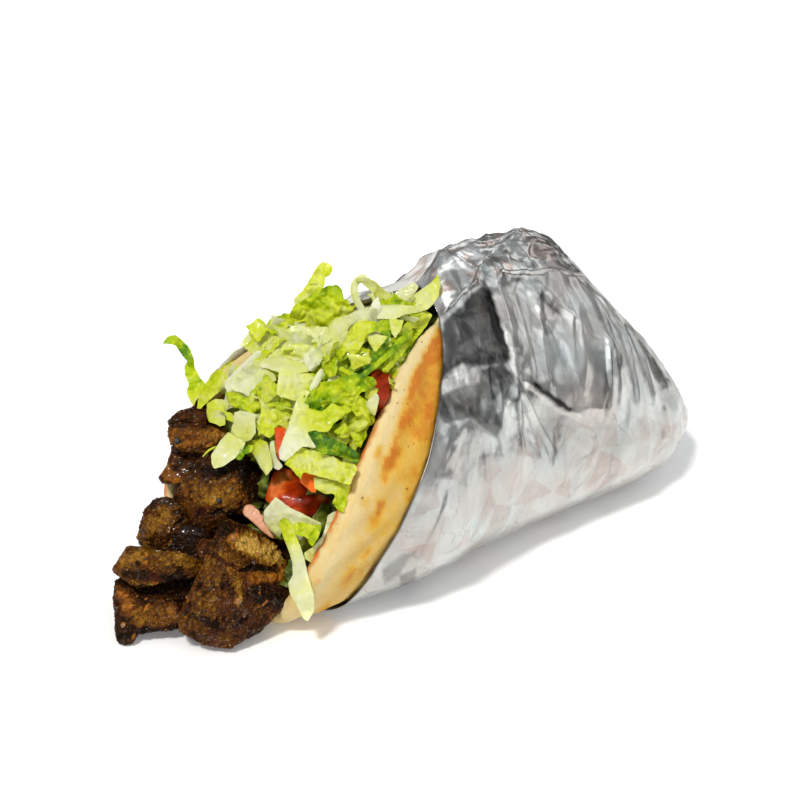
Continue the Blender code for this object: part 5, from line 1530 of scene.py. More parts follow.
class Heap:
    def __init__(self):
        self.v, self.f, self.t, self.n, self.l, self.count = [], [], [], [], [], 0

    def add(self, verts, faces, tint, vein, lot):
        self.f += [[int(i) + self.count for i in q] for q in faces]
        self.v.append(verts)
        self.t.append(tint)
        self.n.append(vein)
        self.l.append(lot)
        self.count += len(verts)

    def make(self, name, material, nodes=()):
        tint = np.concatenate(self.t)
        seen = face_ab(np.vstack(self.v))
        for a, b, w, more in GREENER_AND_SHADED:
            tint = tint + more * smooth(1.4 - np.linalg.norm(seen - np.array([a, b]), axis=1) / w)
        return piece(name, np.vstack(self.v), self.f, material, nodes, sharp=55,
                     attrs={"tint": np.clip(tint, 0, 1), "vein": np.concatenate(self.n),
                            "lot": np.concatenate(self.l)})


LEAVES = []


def leaf(name, pts, tint, ruffle=0.5, lift=0.05, tilt=0, curl=0.3, thick=0.03, jag=0.5, depth=None, over=False):
    """A shred laid on the open face: (right, up, width) stations, greenness along it."""
    LEAVES.append(dict(name=name, pts=pts, tint=tint, ruffle=ruffle, lift=lift, tilt=tilt, curl=curl,
                       thick=thick, jag=jag, depth=depth, over=over))


def lay_leaf(spec, food, all_food, seed):
    pts = np.array(spec["pts"], float)
    length = np.sum(np.linalg.norm(np.diff(pts[:, :2], axis=0), axis=1))
    n = int(np.clip(round(length / 0.062), 10, 130))
    line, _ = spline(pts, n)
    tree = all_food if spec["over"] else food
    reach, normal = np.full(n, np.nan), np.zeros((n, 3))
    dirs = FACE_POINT + RIGHT * line[:, :1] + UP * line[:, 1:2] - EYE
    for i in range(n):
        # the highest of a few rays across the shred, so that it lies on top of what is under it
        for off in (0.0, -0.35, 0.35):
            tang = line[min(i + 1, n - 1), :2] - line[max(i - 1, 0), :2]
            tang = tang / max(np.linalg.norm(tang), 1e-9)
            q = line[i, :2] + np.array([-tang[1], tang[0]]) * line[i, 2] * off
            g = Vector(FACE_POINT + RIGHT * q[0] + UP * q[1] - EYE).normalized()
            hit = tree.ray_cast(Vector(EYE), g)
            if hit[0] is not None:
                w = (np.array(hit[0]) - FACE_POINT) @ BACK
                if off == 0.0:
                    normal[i] = np.array(hit[1])
                if np.isnan(reach[i]) or w > reach[i] + 0.0:
                    reach[i] = w if np.isnan(reach[i]) else 0.5 * (w + reach[i])
    seen = ~np.isnan(reach)
    if seen.any():
        filled = np.interp(np.arange(n), np.arange(n)[seen], reach[seen])
    else:
        filled = np.full(n, spec["depth"] if spec["depth"] is not None else 0.0)
    if spec["depth"] is not None:
        filled = np.where(seen, filled, spec["depth"])
    k = max(3, int(0.55 / (length / n)) | 1)
    pad = np.pad(filled, k // 2 + 1, mode="edge")
    win = np.hanning(k + 2)[1:-1] + 1e-3
    soft = np.convolve(pad, win / win.sum(), mode="same")[k // 2 + 1:-(k // 2 + 1)]
    w = soft + spec["lift"]
    g = dirs / (dirs @ -BACK)[:, None]
    path = EYE + g * (VIEW_DIST - w)[:, None]
    hint = BACK * 1.0 + np.where(np.abs(normal).sum(1, keepdims=True) > 0, normal, BACK) * 0.35
    hint = np.stack([np.convolve(np.pad(hint[:, c], 4, mode="edge"), np.ones(9) / 9, mode="valid") for c in range(3)], -1)
    t = unit(np.gradient(path, axis=0))
    hint = unit(hint - np.sum(hint * t, -1, keepdims=True) * t)
    rng = np.random.default_rng(seed)
    ang = np.radians(spec["tilt"] + rng.normal(0, 10) + 14 * np.sin(np.linspace(0, 3, n) + rng.uniform(0, 6)))
    b = np.cross(t, hint)
    hint = hint * np.cos(ang)[:, None] + b * np.sin(ang)[:, None]
    half = np.maximum(line[:, 2] / 2, 0.02)
    return ribbon(path, hint, half, spec["tint"], spec["ruffle"], spec["curl"], spec["thick"], spec["jag"], seed)


SHEETS = []


def sheet(name, outline, tint, lift=0.3, ruffle=0.4, thick=0.028, jag=0.5, tilt=(0, 0), depth=None, over=False,
          folds=(), cup=0.0, flat=0.6, pin=False):
    """A broad shred laid on the open face: its outline (right, up), greenness here and there,
    and creases (right, up, right2, up2, height, half width)."""
    SHEETS.append(dict(name=name, outline=outline, tint=tint, lift=lift, ruffle=ruffle, thick=thick, jag=jag,
                       tilt=tilt, depth=depth, over=over, folds=folds, cup=cup, flat=flat, pin=pin))


def in_outline(line, pts):
    x, y = pts[:, 0], pts[:, 1]
    hit = np.zeros(len(pts), bool)
    for (x0, y0), (x1, y1) in zip(line, np.roll(line, -1, axis=0)):
        span = y1 - y0 if abs(y1 - y0) > 1e-9 else 1e-9
        hit ^= ((y0 > y) != (y1 > y)) & (x < (x1 - x0) * (y - y0) / span + x0)
    return hit


def from_outline(line, pts):
    best = np.full(len(pts), 9.0)
    for p, q in zip(line, np.roll(line, -1, axis=0)):
        d = q - p
        t = np.clip(((pts - p) @ d) / max(d @ d, 1e-12), 0, 1)
        best = np.minimum(best, np.linalg.norm(pts - p - t[:, None] * d, axis=1))
    return best


def lay_sheet(spec, food, all_food, seed):
    rng = np.random.default_rng(seed)
    corner = np.array(spec["outline"], float)
    # corners rounded a hair, then the edge torn unevenly
    loop = []
    for p, q in zip(corner, np.roll(corner, -1, axis=0)):
        k = max(1, int(round(np.linalg.norm(q - p) / 0.055)))
        loop += [p + (q - p) * i / k for i in range(k)]
    loop = np.array(loop)
    soft = 0.5 * loop + 0.25 * np.roll(loop, 1, axis=0) + 0.25 * np.roll(loop, -1, axis=0)
    d = np.roll(soft, -1, axis=0) - np.roll(soft, 1, axis=0)
    side = np.stack([d[:, 1], -d[:, 0]], -1)
    side /= np.maximum(np.linalg.norm(side, axis=1, keepdims=True), 1e-9)
    flat3 = np.concatenate([soft, np.full((len(soft), 1), rng.uniform(0, 40))], 1)
    tear = spec["jag"] * (0.034 * noise(flat3 / 0.17, seed) + 0.040 * noise(flat3 / 0.5, seed + 1)) + 0.006 * noise(flat3 / 0.07, seed + 2)
    loop = soft + side * tear[:, None]
    lo, hi = loop.min(axis=0), loop.max(axis=0)
    g = 0.066
    gx, gy = np.meshgrid(np.arange(lo[0], hi[0], g), np.arange(lo[1], hi[1], g * 0.87))
    gx = gx + (np.arange(gx.shape[0]) % 2)[:, None] * g / 2
    inner = np.stack([gx.ravel(), gy.ravel()], -1) + rng.uniform(-0.012, 0.012, (gx.size, 2))
    inner = inner[in_outline(loop, inner)]
    inner = inner[from_outline(loop, inner) > 0.045]
    pts = np.vstack([loop, inner])
    made = delaunay_2d_cdt([Vector(p) for p in pts], [], [list(range(len(loop)))], 1, 1e-5)
    pts = np.array([p[:] for p in made[0]])
    tris = np.array([t[:3] for t in made[2]])
    used = np.unique(tris)
    back = np.full(len(pts), -1)
    back[used] = np.arange(len(used))
    pts, tris = pts[used], back[tris]
    a, b, c = pts[tris[:, 0]], pts[tris[:, 1]], pts[tris[:, 2]]
    turn = (b[:, 0] - a[:, 0]) * (c[:, 1] - a[:, 1]) - (b[:, 1] - a[:, 1]) * (c[:, 0] - a[:, 0])
    tris[turn < 0] = tris[turn < 0][:, ::-1]
    n = len(pts)

    # how high the food under it stands towards the viewer's side
    tree = all_food if spec["over"] else food
    dirs = FACE_POINT + RIGHT * pts[:, :1] + UP * pts[:, 1:2] - EYE
    reach = np.full(n, np.nan)
    for i in range(n):
        hit = tree.ray_cast(Vector(EYE), Vector(dirs[i]).normalized())
        if hit[0] is not None:
            reach[i] = (np.array(hit[0]) - FACE_POINT) @ BACK
    if spec["pin"]:
        reach[:] = spec["depth"]
    elif spec["depth"] is not None:
        reach = np.where(np.isnan(reach) | (reach < spec["depth"] - 2.5), spec["depth"], reach)
    elif np.isnan(reach).all():
        reach[:] = 0
    reach = np.where(np.isnan(reach), np.nanmedian(reach), reach)
    mid = pts.mean(axis=0)
    A = np.concatenate([np.ones((n, 1)), pts - mid], 1)
    keep = np.ones(n, bool)
    for _ in range(3):
        fit = np.linalg.lstsq(A[keep], reach[keep], rcond=None)[0]
        steep = np.linalg.norm(fit[1:])
        if steep > 1.1:
            fit[1:] *= 1.1 / steep
            fit[0] = np.median(reach[keep] - A[keep][:, 1:] @ fit[1:])
        res = reach - A @ fit
        keep = np.abs(res) < max(0.35, 1.5 * np.std(res[keep]))
    plane = A @ fit
    gap = np.linalg.norm(pts[:, None, :] - pts[None, :, :], axis=-1)
    kernel = np.exp(-(gap / 0.32) ** 2)
    local = kernel @ reach / kernel.sum(axis=1)
    w = spec["flat"] * plane + (1 - spec["flat"]) * local
    w = w + max(0.0, np.percentile(local - w, 80)) + spec["lift"]
    lean = np.array(spec["tilt"]) + (0 if spec["ruffle"] < 0.05 or spec["pin"] else rng.normal(0, 0.16, 2))
    w = w + (pts - mid) @ lean
    size = np.max(np.linalg.norm(pts - mid, axis=1))
    w = w + spec["cup"] * (np.linalg.norm(pts - mid, axis=1) / size) ** 2

    hues = np.array(spec["tint"], float)
    near = 1 / (np.sum((pts[:, None, :] - hues[None, :, :2]) ** 2, -1) + 0.02)
    tint = near @ hues[:, 2] / near.sum(axis=1)
    leafy = smooth((tint - 0.2) / 0.3)
    p3 = np.concatenate([pts, np.full((n, 1), rng.uniform(0, 40))], 1)
    f1, f2 = cells(p3 / 0.36 + 0.35 * np.stack([noise(p3 / 0.4, 9), noise(p3 / 0.4, 10), p3[:, 2] * 0], -1), seed + 3)
    ruf = spec["ruffle"]
    rimward = from_outline(loop, pts)
    rim = np.exp(-(rimward / 0.22) ** 1.5)
    w = w + leafy * (0.045 + 0.085 * ruf) * (smooth((f2 - f1) / 0.4) - 0.5)
    w = w + (0.05 + 0.12 * ruf) * noise(p3 / 0.65, seed + 4) + (0.014 + 0.05 * ruf) * noise(p3 / 0.24, seed + 5)
    w = w + (0.014 + 0.05 * ruf) * facets(pts + seed, 0.32, seed + 11)
    w = w + ruf * rim * (0.16 * noise(p3 / 0.28, seed + 6) + 0.07 * noise(p3 / 0.15, seed + 7))
    crease = np.abs(noise(p3 / 0.8 + 3, seed + 8))
    w = w + (0.03 + 0.07 * ruf) * np.clip(1 - crease / 0.20, 0, 1)
    for x0, y0, x1, y1, tall, wide in spec["folds"]:
        s0, dd = np.array([x0, y0]), np.array([x1 - x0, y1 - y0])
        t = ((pts - s0) @ dd) / max(dd @ dd, 1e-9)
        c = np.clip(t, 0, 1)
        bow = 0.05 * np.sin(c * pi + seed)
        across = np.stack([-dd[1], dd[0]]) / np.linalg.norm(dd)
        dist = np.linalg.norm(pts - s0 - c[:, None] * dd - bow[:, None] * across, axis=1)
        w = w + tall * np.clip(1 - dist / wide, 0, 1) ** 1.2

    th = spec["thick"] * (0.35 + 0.65 * np.clip(rimward / 0.06, 0, 1))
    go = dirs / (dirs @ -BACK)[:, None]
    top = EYE + go * (VIEW_DIST - w - th / 2)[:, None]
    low = EYE + go * (VIEW_DIST - w + th / 2)[:, None]
    verts = np.vstack([top, low])
    verts[:, 2] = np.maximum(verts[:, 2], 0.03)
    faces = [list(t) for t in tris] + [list(t[::-1] + n) for t in tris]
    edges = set()
    for t in tris:
        for k in range(3):
            edges.add((int(t[k]), int(t[(k + 1) % 3])))
    for i, j in sorted(edges):
        if (j, i) not in edges:
            faces.append([j, i, i + n, j + n])
    tint = tint + leafy * (0.12 * noise(p3 / 0.40, seed + 9) + 0.06 * rim - 0.02) + 0.05 * noise(p3 / 0.18, seed + 10)
    vein = leafy * (1 - smooth((f2 - f1) / 0.10)) * 1.2 + 0.5 * leafy * smooth(1 - crease / 0.05)
    lot = np.full(2 * n, rng.uniform(0, 0.7) ** 2)
    return verts, faces, np.concatenate([tint, tint]), np.concatenate([vein, vein]), lot


def open_salad_points(count, seed, cover):
    """Points of the salad's surface that nothing covers: place and outward direction."""
    v, f = node_mesh("lettuce")
    tris = np.array([t[:3] for t in f])
    a, b, c = v[tris[:, 0]], v[tris[:, 1]], v[tris[:, 2]]
    n = np.cross(b - a, c - a)
    area = np.linalg.norm(n, axis=1) / 2
    n = unit(n)
    rng = np.random.default_rng(seed)
    out = []
    while len(out) < count:
        k = rng.choice(len(area), p=area / area.sum())
        r = rng.uniform(0, 1, 2)
        if r.sum() > 1:
            r = 1 - r
        p = a[k] + r[0] * (b[k] - a[k]) + r[1] * (c[k] - a[k])
        if p[2] < 1.0:
            continue
        go = n[k]
        if cover.ray_cast(Vector(p + go * 0.02), Vector(go), 2.4)[0] is not None:
            continue
        if cover.ray_cast(Vector(p + go * 0.02), Vector((0, 0, 1)), 4.0)[0] is not None and go[0] > -0.2:
            continue
        out.append((p, go))
    return out


# parts of the open face where no loose shred may lie (right, up): tomato, dark gaps and meat
CLEAR = [
    [(-4.95, -3.5), (-4.5, -2.3), (-3.7, -2.35), (-3.0, -2.95), (-2.2, -3.35), (-2.35, -4.4), (-3.4, -4.35), (-4.8, -3.7)],
    [(-4.4, -0.95), (-4.0, -0.95), (-4.05, -2.0), (-4.35, -2.05)],
    [(-0.95, 0.6), (-0.3, 0.6), (-0.3, -0.9), (-0.95, -0.7)],
    [(-2.0, -1.0), (-1.45, -0.5), (-1.5, -1.9), (-2.0, -1.9)],
    [(-11.0, -1.2), (-5.9, -1.2), (-5.3, -2.5), (-4.9, -3.5), (-3.9, -5.2), (-3.6, -8.0), (-11.0, -9.0)],
    [(-4.2, -5.3), (-3.4, -4.9), (-2.9, -5.6), (-3.2, -7.0), (-3.9, -7.2)],
]


def make_tomato_bit():
    """A small tomato corner above the slice, between the shreds, and a sliver by the strip, both in a brighter orange
    as painted light, since they lie in the shade of the shreds.
    """
    m = mat_tomato("tomato_painted_bright")
    for k, (name, line, lift, tone) in enumerate((("tomato_bright_bit", BRIGHT_BIT, 0.26, 0.6), ("tomato_sliver", SLIVER, 0.5, 0.05))):
        spec = dict(outline=line, tint=[(-3.2, -2.8, 0.92)], lift=lift, ruffle=0.0, thick=0.10, jag=0.2, tilt=(0.1, -0.2),
                    depth=None, over=False, folds=(), cup=0.0, flat=0.9, pin=False)
        verts, faces, tint, _, _ = lay_sheet(spec, node_tree("tomato_slice", "lettuce"), None, 990 + k)
        piece(name, verts, faces, m, attrs={"tone": np.clip(tint * 0 + tone, 0, 1)})


SLIVER = [(-4.42, -0.96), (-4.05, -0.94), (-3.98, -1.3), (-4.14, -1.72), (-4.24, -2.16), (-4.36, -1.72)]
BRIGHT_BIT = [(-3.55, -2.45), (-2.92, -2.55), (-2.94, -3.25), (-3.10, -3.25), (-3.5, -2.90)]


def make_lettuce():
    leafy = mat_lettuce("lettuce_leaf")
    skin = node_tree("lettuce")
    food = node_tree("lettuce", "meat_bed", *CENTRES)
    all_food = node_tree("lettuce", "meat_bed", "pita", *CENTRES)
    cover = node_tree("pita", "foil", *CENTRES)

    # a dark green mass behind the shreds: painted shade of the heap's depths
    shade_mass = Mat("lettuce_shade_mass")
    shade_mass.to("Base Color", shade_mass.ramp(shade_mass.noise(140, 4, 0.6), [(0.3, lin(40, 48, 8)), (0.5, lin(84, 96, 16)), (0.7, lin(136, 142, 38))]))
    shade_mass.set(Roughness=0.5, Coat_Weight=0.2, Coat_Roughness=0.2)
    shade_mass.to("Normal", shade_mass.bump(shade_mass.noise(240, 4, 0.6), 0.001, 0.8))
    p, f = remeshed("lettuce", 0.17)
    n = quad_normals(p, f)
    h = -0.34 + 0.10 * noise(p / np.array([0.9, 0.35, 0.35]), 201) + 0.05 * noise(p / 0.3, 202)
    seen = face_ab(p)
    bare = np.zeros(len(p), bool)
    for line in CLEAR[:4]:
        bare |= in_outline(np.array(line), seen) | (from_outline(np.array(line), seen) < 0.12)
    p = p - BACK * np.where(bare, 0.9, 0.0)[:, None]
    piece("lettuce_shade_mass", p + n * h[:, None], f, shade_mass.m, "lettuce")

    # loose shreds heaped over the dark mass
    heap = Heap()
    rng = np.random.default_rng(9)
    for k, (at, go) in enumerate(open_salad_points(175, 33, cover)):
        flat = unit(np.cross(go, rng.normal(size=3)))
        long = rng.uniform(0.6, 1.7)
        steps = np.linspace(-long, long, int(2 * long / 0.10))
        bend = rng.normal(0, 0.3)
        across = np.cross(go, flat)
        path = []
        for s in steps:
            q = at + flat * s + across * (bend * s * s)
            near = skin.find_nearest(Vector(q))
            path.append(np.array(near[0]) * 0.6 + q * 0.4)
        path = np.array(path)
        path = np.stack([np.convolve(np.pad(path[:, c], 4, mode="edge"), np.hanning(11)[1:-1] / np.hanning(11)[1:-1].sum(), mode="valid")
                         for c in range(3)], -1)
        arch = rng.uniform(-0.36, -0.06) + rng.uniform(-0.1, 0.15) * np.cos(steps / long * pi / 2)
        path = path + go * arch[:, None]
        seen = face_ab(path)
        if (go @ BACK > -0.2 or seen[:, 1].min() < -1.5) and any(in_outline(np.array(c), seen).any() for c in CLEAR):
            continue
        spin = rng.normal(0, 0.5) + np.linspace(-0.5, 0.5, len(path)) * rng.normal(0, 1.2)
        hint = unit(go[None] * np.cos(spin)[:, None] + np.cross(flat, go)[None] * np.sin(spin)[:, None])
        half = rng.uniform(0.20, 0.42) * (0.9 + 0.25 * noise(np.stack([steps / 0.8, 0 * steps + k, 0 * steps], -1), 5))
        kind = rng.random()
        if kind < 0.2:
            tint, thick, ruf = [0.06, 0.14, 0.10], 0.05, 0.15
        elif kind < 0.5:
            tint, thick, ruf = list(rng.uniform(0.25, 0.45, 3)), 0.03, 0.5
        elif kind < 0.9:
            tint, thick, ruf = list(rng.uniform(0.45, 0.7, 3)), 0.025, 0.9
        else:
            tint, thick, ruf = list(rng.uniform(0.75, 0.95, 3)), 0.025, 0.6
        heap.add(*ribbon(path, hint, half, tint, ruf, rng.uniform(0, 0.3), thick, 0.8, 1000 + k))
    heap.make("lettuce_shreds", leafy)

    heap = Heap()
    rng = np.random.default_rng(23)
    spots = 0
    for k in range(400):
        a, b = rng.uniform(-6.8, 1.0), rng.uniform(-3.0, 4.0)
        at = np.array([[a, b]])
        if spots >= 46 or any(in_outline(np.array(c), at)[0] or from_outline(np.array(c), at)[0] < 0.3 for c in CLEAR):
            continue
        hit = food.ray_cast(Vector(EYE), Vector(FACE_POINT + RIGHT * a + UP * b - EYE).normalized())
        if hit[0] is None or skin.find_nearest(hit[0])[3] > 0.02:
            continue
        spots += 1
        turn, long, bend = rng.uniform(0, pi), rng.uniform(0.25, 0.75), rng.normal(0, 0.5)
        steps = np.linspace(-long, long, 5)
        line = [(a + t * cos(turn) - bend * t * t * sin(turn), b + t * sin(turn) + bend * t * t * cos(turn),
                 rng.uniform(0.10, 0.34)) for t in steps]
        g = rng.uniform(0.12, 0.7)
        heap.add(*lay_leaf(dict(pts=line, tint=[g, g + rng.uniform(-0.2, 0.12), g], ruffle=rng.uniform(0.4, 1.1),
                                lift=rng.uniform(0.12, 0.42), tilt=rng.normal(0, 25), curl=rng.uniform(0.2, 0.7), thick=0.025,
                                jag=0.9, depth=None, over=False), food, all_food, 3000 + k))
    heap.make("lettuce_bits", leafy)
    heap = Heap()
    for k, spec in enumerate(LEAVES):
        heap.add(*lay_leaf(spec, food, all_food, 500 + k))
    heap.make("lettuce_slivers", leafy)
    heap = Heap()
    for k, spec in enumerate(SHEETS):
        heap.add(*lay_sheet(spec, food, all_food, 700 + k))
    heap.make("lettuce_leaves", leafy)


# the shreds that show best, in cm right and up of the open face's middle
leaf("spear_leaf", [(-5.83, 0.07, 0.28), (-5.41, 0.49, 0.77), (-4.98, 0.91, 0.84), (-4.63, 1.33, 0.42)],
     [0.28, 0.2, 0.3], ruffle=0.3, lift=0.02)
leaf("pale_upper", [(-5.51, 2.07, 0.35), (-5.05, 2.18, 0.63), (-4.49, 2.07, 0.77), (-3.86, 2.18, 0.77), (-3.30, 2.39, 0.42)],
     [0.3, 0.34, 0.3], ruffle=0.3, lift=0.02)
leaf("white_mid_strip", [(-5.27, 1.26, 0.14), (-4.84, 1.26, 0.35), (-4.21, 1.19, 0.42), (-3.58, 1.02, 0.39), (-3.16, 0.84, 0.18)],
     [0.08, 0.1, 0.14], ruffle=0.15, lift=0.02)
leaf("green_behind", [(-4.07, 0.07, 0.42), (-4.00, -0.42, 0.56), (-4.07, -0.98, 0.42)],
     [0.55, 0.6, 0.5], lift=-0.03)
leaf("translucent_fold_a", [(-5.37, -0.28, 0.28), (-5.41, -0.56, 0.70), (-5.48, -0.98, 0.77), (-5.62, -1.40, 0.63), (-5.69, -1.61, 0.28)],
     [0.14, 0.12, 0.12], ruffle=0.12, lift=0.02, tilt=12, thick=0.04)
leaf("sprout", [(-6.91, -1.97, 0.05), (-6.70, -1.76, 0.07), (-6.46, -1.65, 0.08)],
     [0.45, 0.5], ruffle=0, lift=0.35, thick=0.05)
leaf("tall_leaf", [(-3.65, 2.74, 0.35), (-3.37, 3.09, 0.91), (-2.88, 3.37, 1.19), (-2.32, 3.44, 1.12), (-1.68, 3.19, 0.35)],
     [0.6, 0.7, 0.72, 0.62], ruffle=1, lift=0.02, jag=0.8, depth=2.6)
leaf("green_left", [(-4.49, 2.35, 0.21), (-4.21, 2.56, 0.39), (-3.86, 2.81, 0.49), (-3.47, 2.88, 0.42), (-3.23, 2.67, 0.25)],
     [0.66, 0.7, 0.6], ruffle=0.9, lift=0.02, jag=0.8)
leaf("wide_pale", [(-5.19, 2.28, 0.42), (-4.63, 2.25, 0.77), (-4.00, 1.93, 1.12), (-3.37, 1.76, 1.05), (-2.74, 1.90, 0.49)],
     [0.3, 0.26, 0.3, 0.26], ruffle=0.25, lift=0.02)
leaf("wide_pale_b", [(-3.65, 2.46, 0.35), (-3.23, 2.25, 0.77), (-2.81, 2.04, 0.98), (-2.39, 1.68, 0.77), (-2.18, 1.33, 0.28)],
     [0.34, 0.3, 0.26], ruffle=0.35, lift=0.02)
leaf("loop_strand", [(-1.30, 3.12, 0.21), (-1.47, 3.40, 0.25), (-1.60, 3.76, 0.25), (-1.58, 4.07, 0.25), (-1.40, 4.25, 0.25), (-1.16, 4.28, 0.25)],
     [0.26, 0.3, 0.24], ruffle=0.06, curl=0.4, thick=0.05, jag=0.2, depth=2.2)
leaf("yellow_band", [(-1.33, 2.81, 0.28), (-1.54, 2.32, 0.49), (-1.83, 1.83, 0.56), (-2.04, 1.26, 0.49), (-2.18, 0.77, 0.21)],
     [0.5, 0.46, 0.55], ruffle=0.35, lift=0.02)
leaf("curl_by_rim", [(-0.91, 0.42, 0.21), (-0.98, 0.07, 0.46), (-1.19, -0.35, 0.63), (-1.40, -0.84, 0.70), (-1.54, -1.33, 0.49), (-1.68, -1.83, 0.21)],
     [0.4, 0.5, 0.55, 0.46], ruffle=0.9, lift=0.02, jag=0.6)
leaf("low_by_rim", [(-1.68, -0.70, 0.21), (-1.93, -1.12, 0.42), (-2.18, -1.54, 0.42), (-2.46, -1.83, 0.18)],
     [0.6, 0.5], ruffle=0.6, lift=0.02)
leaf("curled_strip_fold", [(-3.44, -2.46, 0.21), (-3.09, -2.60, 0.42), (-2.53, -2.81, 0.46), (-1.90, -2.95, 0.28)],
     [0.3, 0.36], lift=0.02)

# broad shreds, back to front
sheet("far_curl_leaf", [(-8.35, 1.97), (-8.11, 2.27), (-7.89, 2.30), (-7.63, 2.07), (-7.37, 1.81), (-7.24, 1.45),
       (-7.20, 1.13), (-6.98, 0.74), (-6.81, 0.55), (-6.83, 0.16), (-7.01, -0.01), (-7.12, -0.33),
       (-7.33, -0.10), (-7.50, 0.29), (-7.43, 0.55), (-7.56, 0.87), (-7.57, 1.19), (-7.46, 1.36),
       (-7.69, 1.65), (-7.89, 1.91), (-8.11, 1.97)],
      [(-7.95, 2.23, 0.62), (-7.63, 1.65, 0.72), (-7.30, 1.06, 0.5), (-7.17, 0.29, 0.5), (-8.21, 2.04, 0.66)], lift=0.1, ruffle=0.35, cup=0.12, depth=0.6, over=True,
      folds=[(-8.02, 2.23, -7.43, 1.45, 0.1, 0.25)])
sheet("far_strip_leaf", [(-7.14, -0.30), (-7.07, 0.03), (-6.90, 0.45), (-6.65, 0.87), (-6.20, 1.32), (-5.81, 1.71),
       (-5.42, 1.94), (-5.22, 1.81), (-5.26, 1.55), (-5.55, 1.26), (-5.87, 0.93), (-6.10, 0.64),
       (-6.17, 0.45), (-6.65, 0.03), (-6.98, -0.31)],
      [(-7.04, -0.10, 0.5), (-6.65, 0.55, 0.58), (-6.00, 1.19, 0.62), (-5.61, 1.58, 0.45), (-6.33, 0.93, 0.5)], lift=0.12, ruffle=0.35, depth=0.2, over=True,
      folds=[(-7.04, -0.10, -5.48, 1.71, 0.06, 0.2)])
sheet("far_hang_leaf", [(-6.78, -0.10), (-6.46, 0.04), (-6.20, 0.01), (-5.99, -0.10), (-6.10, -0.43), (-6.13, -0.88),
       (-6.36, -0.93), (-6.46, -0.85), (-6.72, -0.79), (-6.81, -0.43)],
      [(-6.65, -0.30, 0.45), (-6.33, -0.43, 0.25), (-6.65, -0.75, 0.4)], lift=0.2, tilt=(0.2, -0.1), depth=0, over=True)
sheet("tip_leaf", [(-2.72, 4.86), (-2.45, 4.79), (-2.35, 4.57), (-2.43, 4.39), (-2.64, 4.30), (-2.68, 3.99),
       (-2.85, 3.71), (-3.18, 3.47), (-3.50, 3.28), (-3.72, 3.36), (-3.73, 3.54), (-3.47, 3.79),
       (-3.20, 4.18), (-3.04, 4.47), (-2.89, 4.70)],
      [(-2.63, 4.70, 0.5), (-2.50, 4.44, 0.62), (-3.02, 4.12, 0.42), (-3.41, 3.60, 0.35), (-2.76, 3.99, 0.6)], lift=0.05, ruffle=0.35, cup=0.1, depth=2.6,
      folds=[(-2.89, 4.70, -3.41, 3.53, 0.1, 0.2)])
sheet("ruffle_leaf", [(-3.76, 3.30), (-3.47, 3.47), (-3.08, 3.71), (-2.59, 3.80), (-2.21, 3.61), (-1.85, 3.39),
       (-1.63, 3.21), (-1.85, 2.95), (-2.21, 2.85), (-2.40, 2.69), (-2.50, 2.46), (-2.72, 2.33),
       (-3.15, 2.43), (-3.47, 2.61), (-3.80, 2.56), (-4.06, 2.33), (-4.44, 2.29), (-4.56, 2.43),
       (-4.12, 2.75), (-3.89, 2.95), (-3.80, 3.14)],
      [(-3.08, 3.34, 0.82), (-3.41, 2.78, 0.78), (-2.43, 3.40, 0.64), (-2.11, 3.14, 0.58), (-2.89, 2.69, 0.66), (-4.06, 2.56, 0.7), (-3.60, 3.14, 0.42), (-2.63, 2.95, 0.5)], lift=0.2, ruffle=1, jag=0.8, tilt=(0, 0.15), depth=2.5,
      folds=[(-3.76, 3.14, -2.37, 2.62, 0.16, 0.3), (-3.02, 3.60, -2.56, 2.49, 0.12, 0.25)])
sheet("yellow_left", [(-4.52, 2.40), (-4.12, 2.74), (-3.67, 2.95), (-3.18, 3.03), (-3.13, 2.85), (-3.60, 2.67),
       (-3.93, 2.46), (-4.12, 2.29), (-4.38, 2.32)],
      [(-4.32, 2.43, 0.68), (-3.41, 2.91, 0.62), (-3.93, 2.59, 0.56)], lift=0.32, ruffle=0.9, jag=0.7, tilt=(0, -0.3), depth=2.2)
sheet("loop_leaf", [(-1.54, 4.28), (-1.20, 4.34), (-0.87, 4.16), (-0.52, 3.84), (-0.23, 3.71), (0.18, 3.51),
       (0.11, 3.32), (-0.45, 3.30), (-0.78, 3.39), (-0.87, 3.65), (-1.13, 3.92), (-1.38, 4.12),
       (-1.56, 4.10)],
      [(-1.20, 4.25, 0.3), (-0.81, 3.86, 0.34), (-0.16, 3.47, 0.36)], lift=0.1, ruffle=0.2, jag=0.3, cup=0.1, tilt=(0, 0.3), depth=2.2)
sheet("tucked_leaf", [(-0.23, 3.71), (0.10, 3.95), (0.49, 4.13), (0.64, 4.01), (0.50, 3.71), (0.16, 3.49),
       (-0.16, 3.55)],
      [(0.16, 3.79, 0.16)], lift=0, ruffle=0.2, depth=1.6)
sheet("upper_right", [(0.16, 3.42), (0.49, 3.70), (0.81, 3.92), (1.14, 4.18), (1.35, 4.43), (1.44, 4.12),
       (1.35, 3.66), (1.15, 3.34), (0.94, 3.14), (0.75, 3.24), (0.49, 3.27)],
      [(1.14, 4.12, 0.34), (0.81, 3.53, 0.24), (0.36, 3.40, 0.3), (1.33, 4.31, 0.45)], lift=0, ruffle=0.25, thick=0.05, jag=0.3, tilt=(0, -0.5), depth=2, pin=True,
      folds=[(0.49, 3.34, 1.33, 4.25, 0.08, 0.25)])
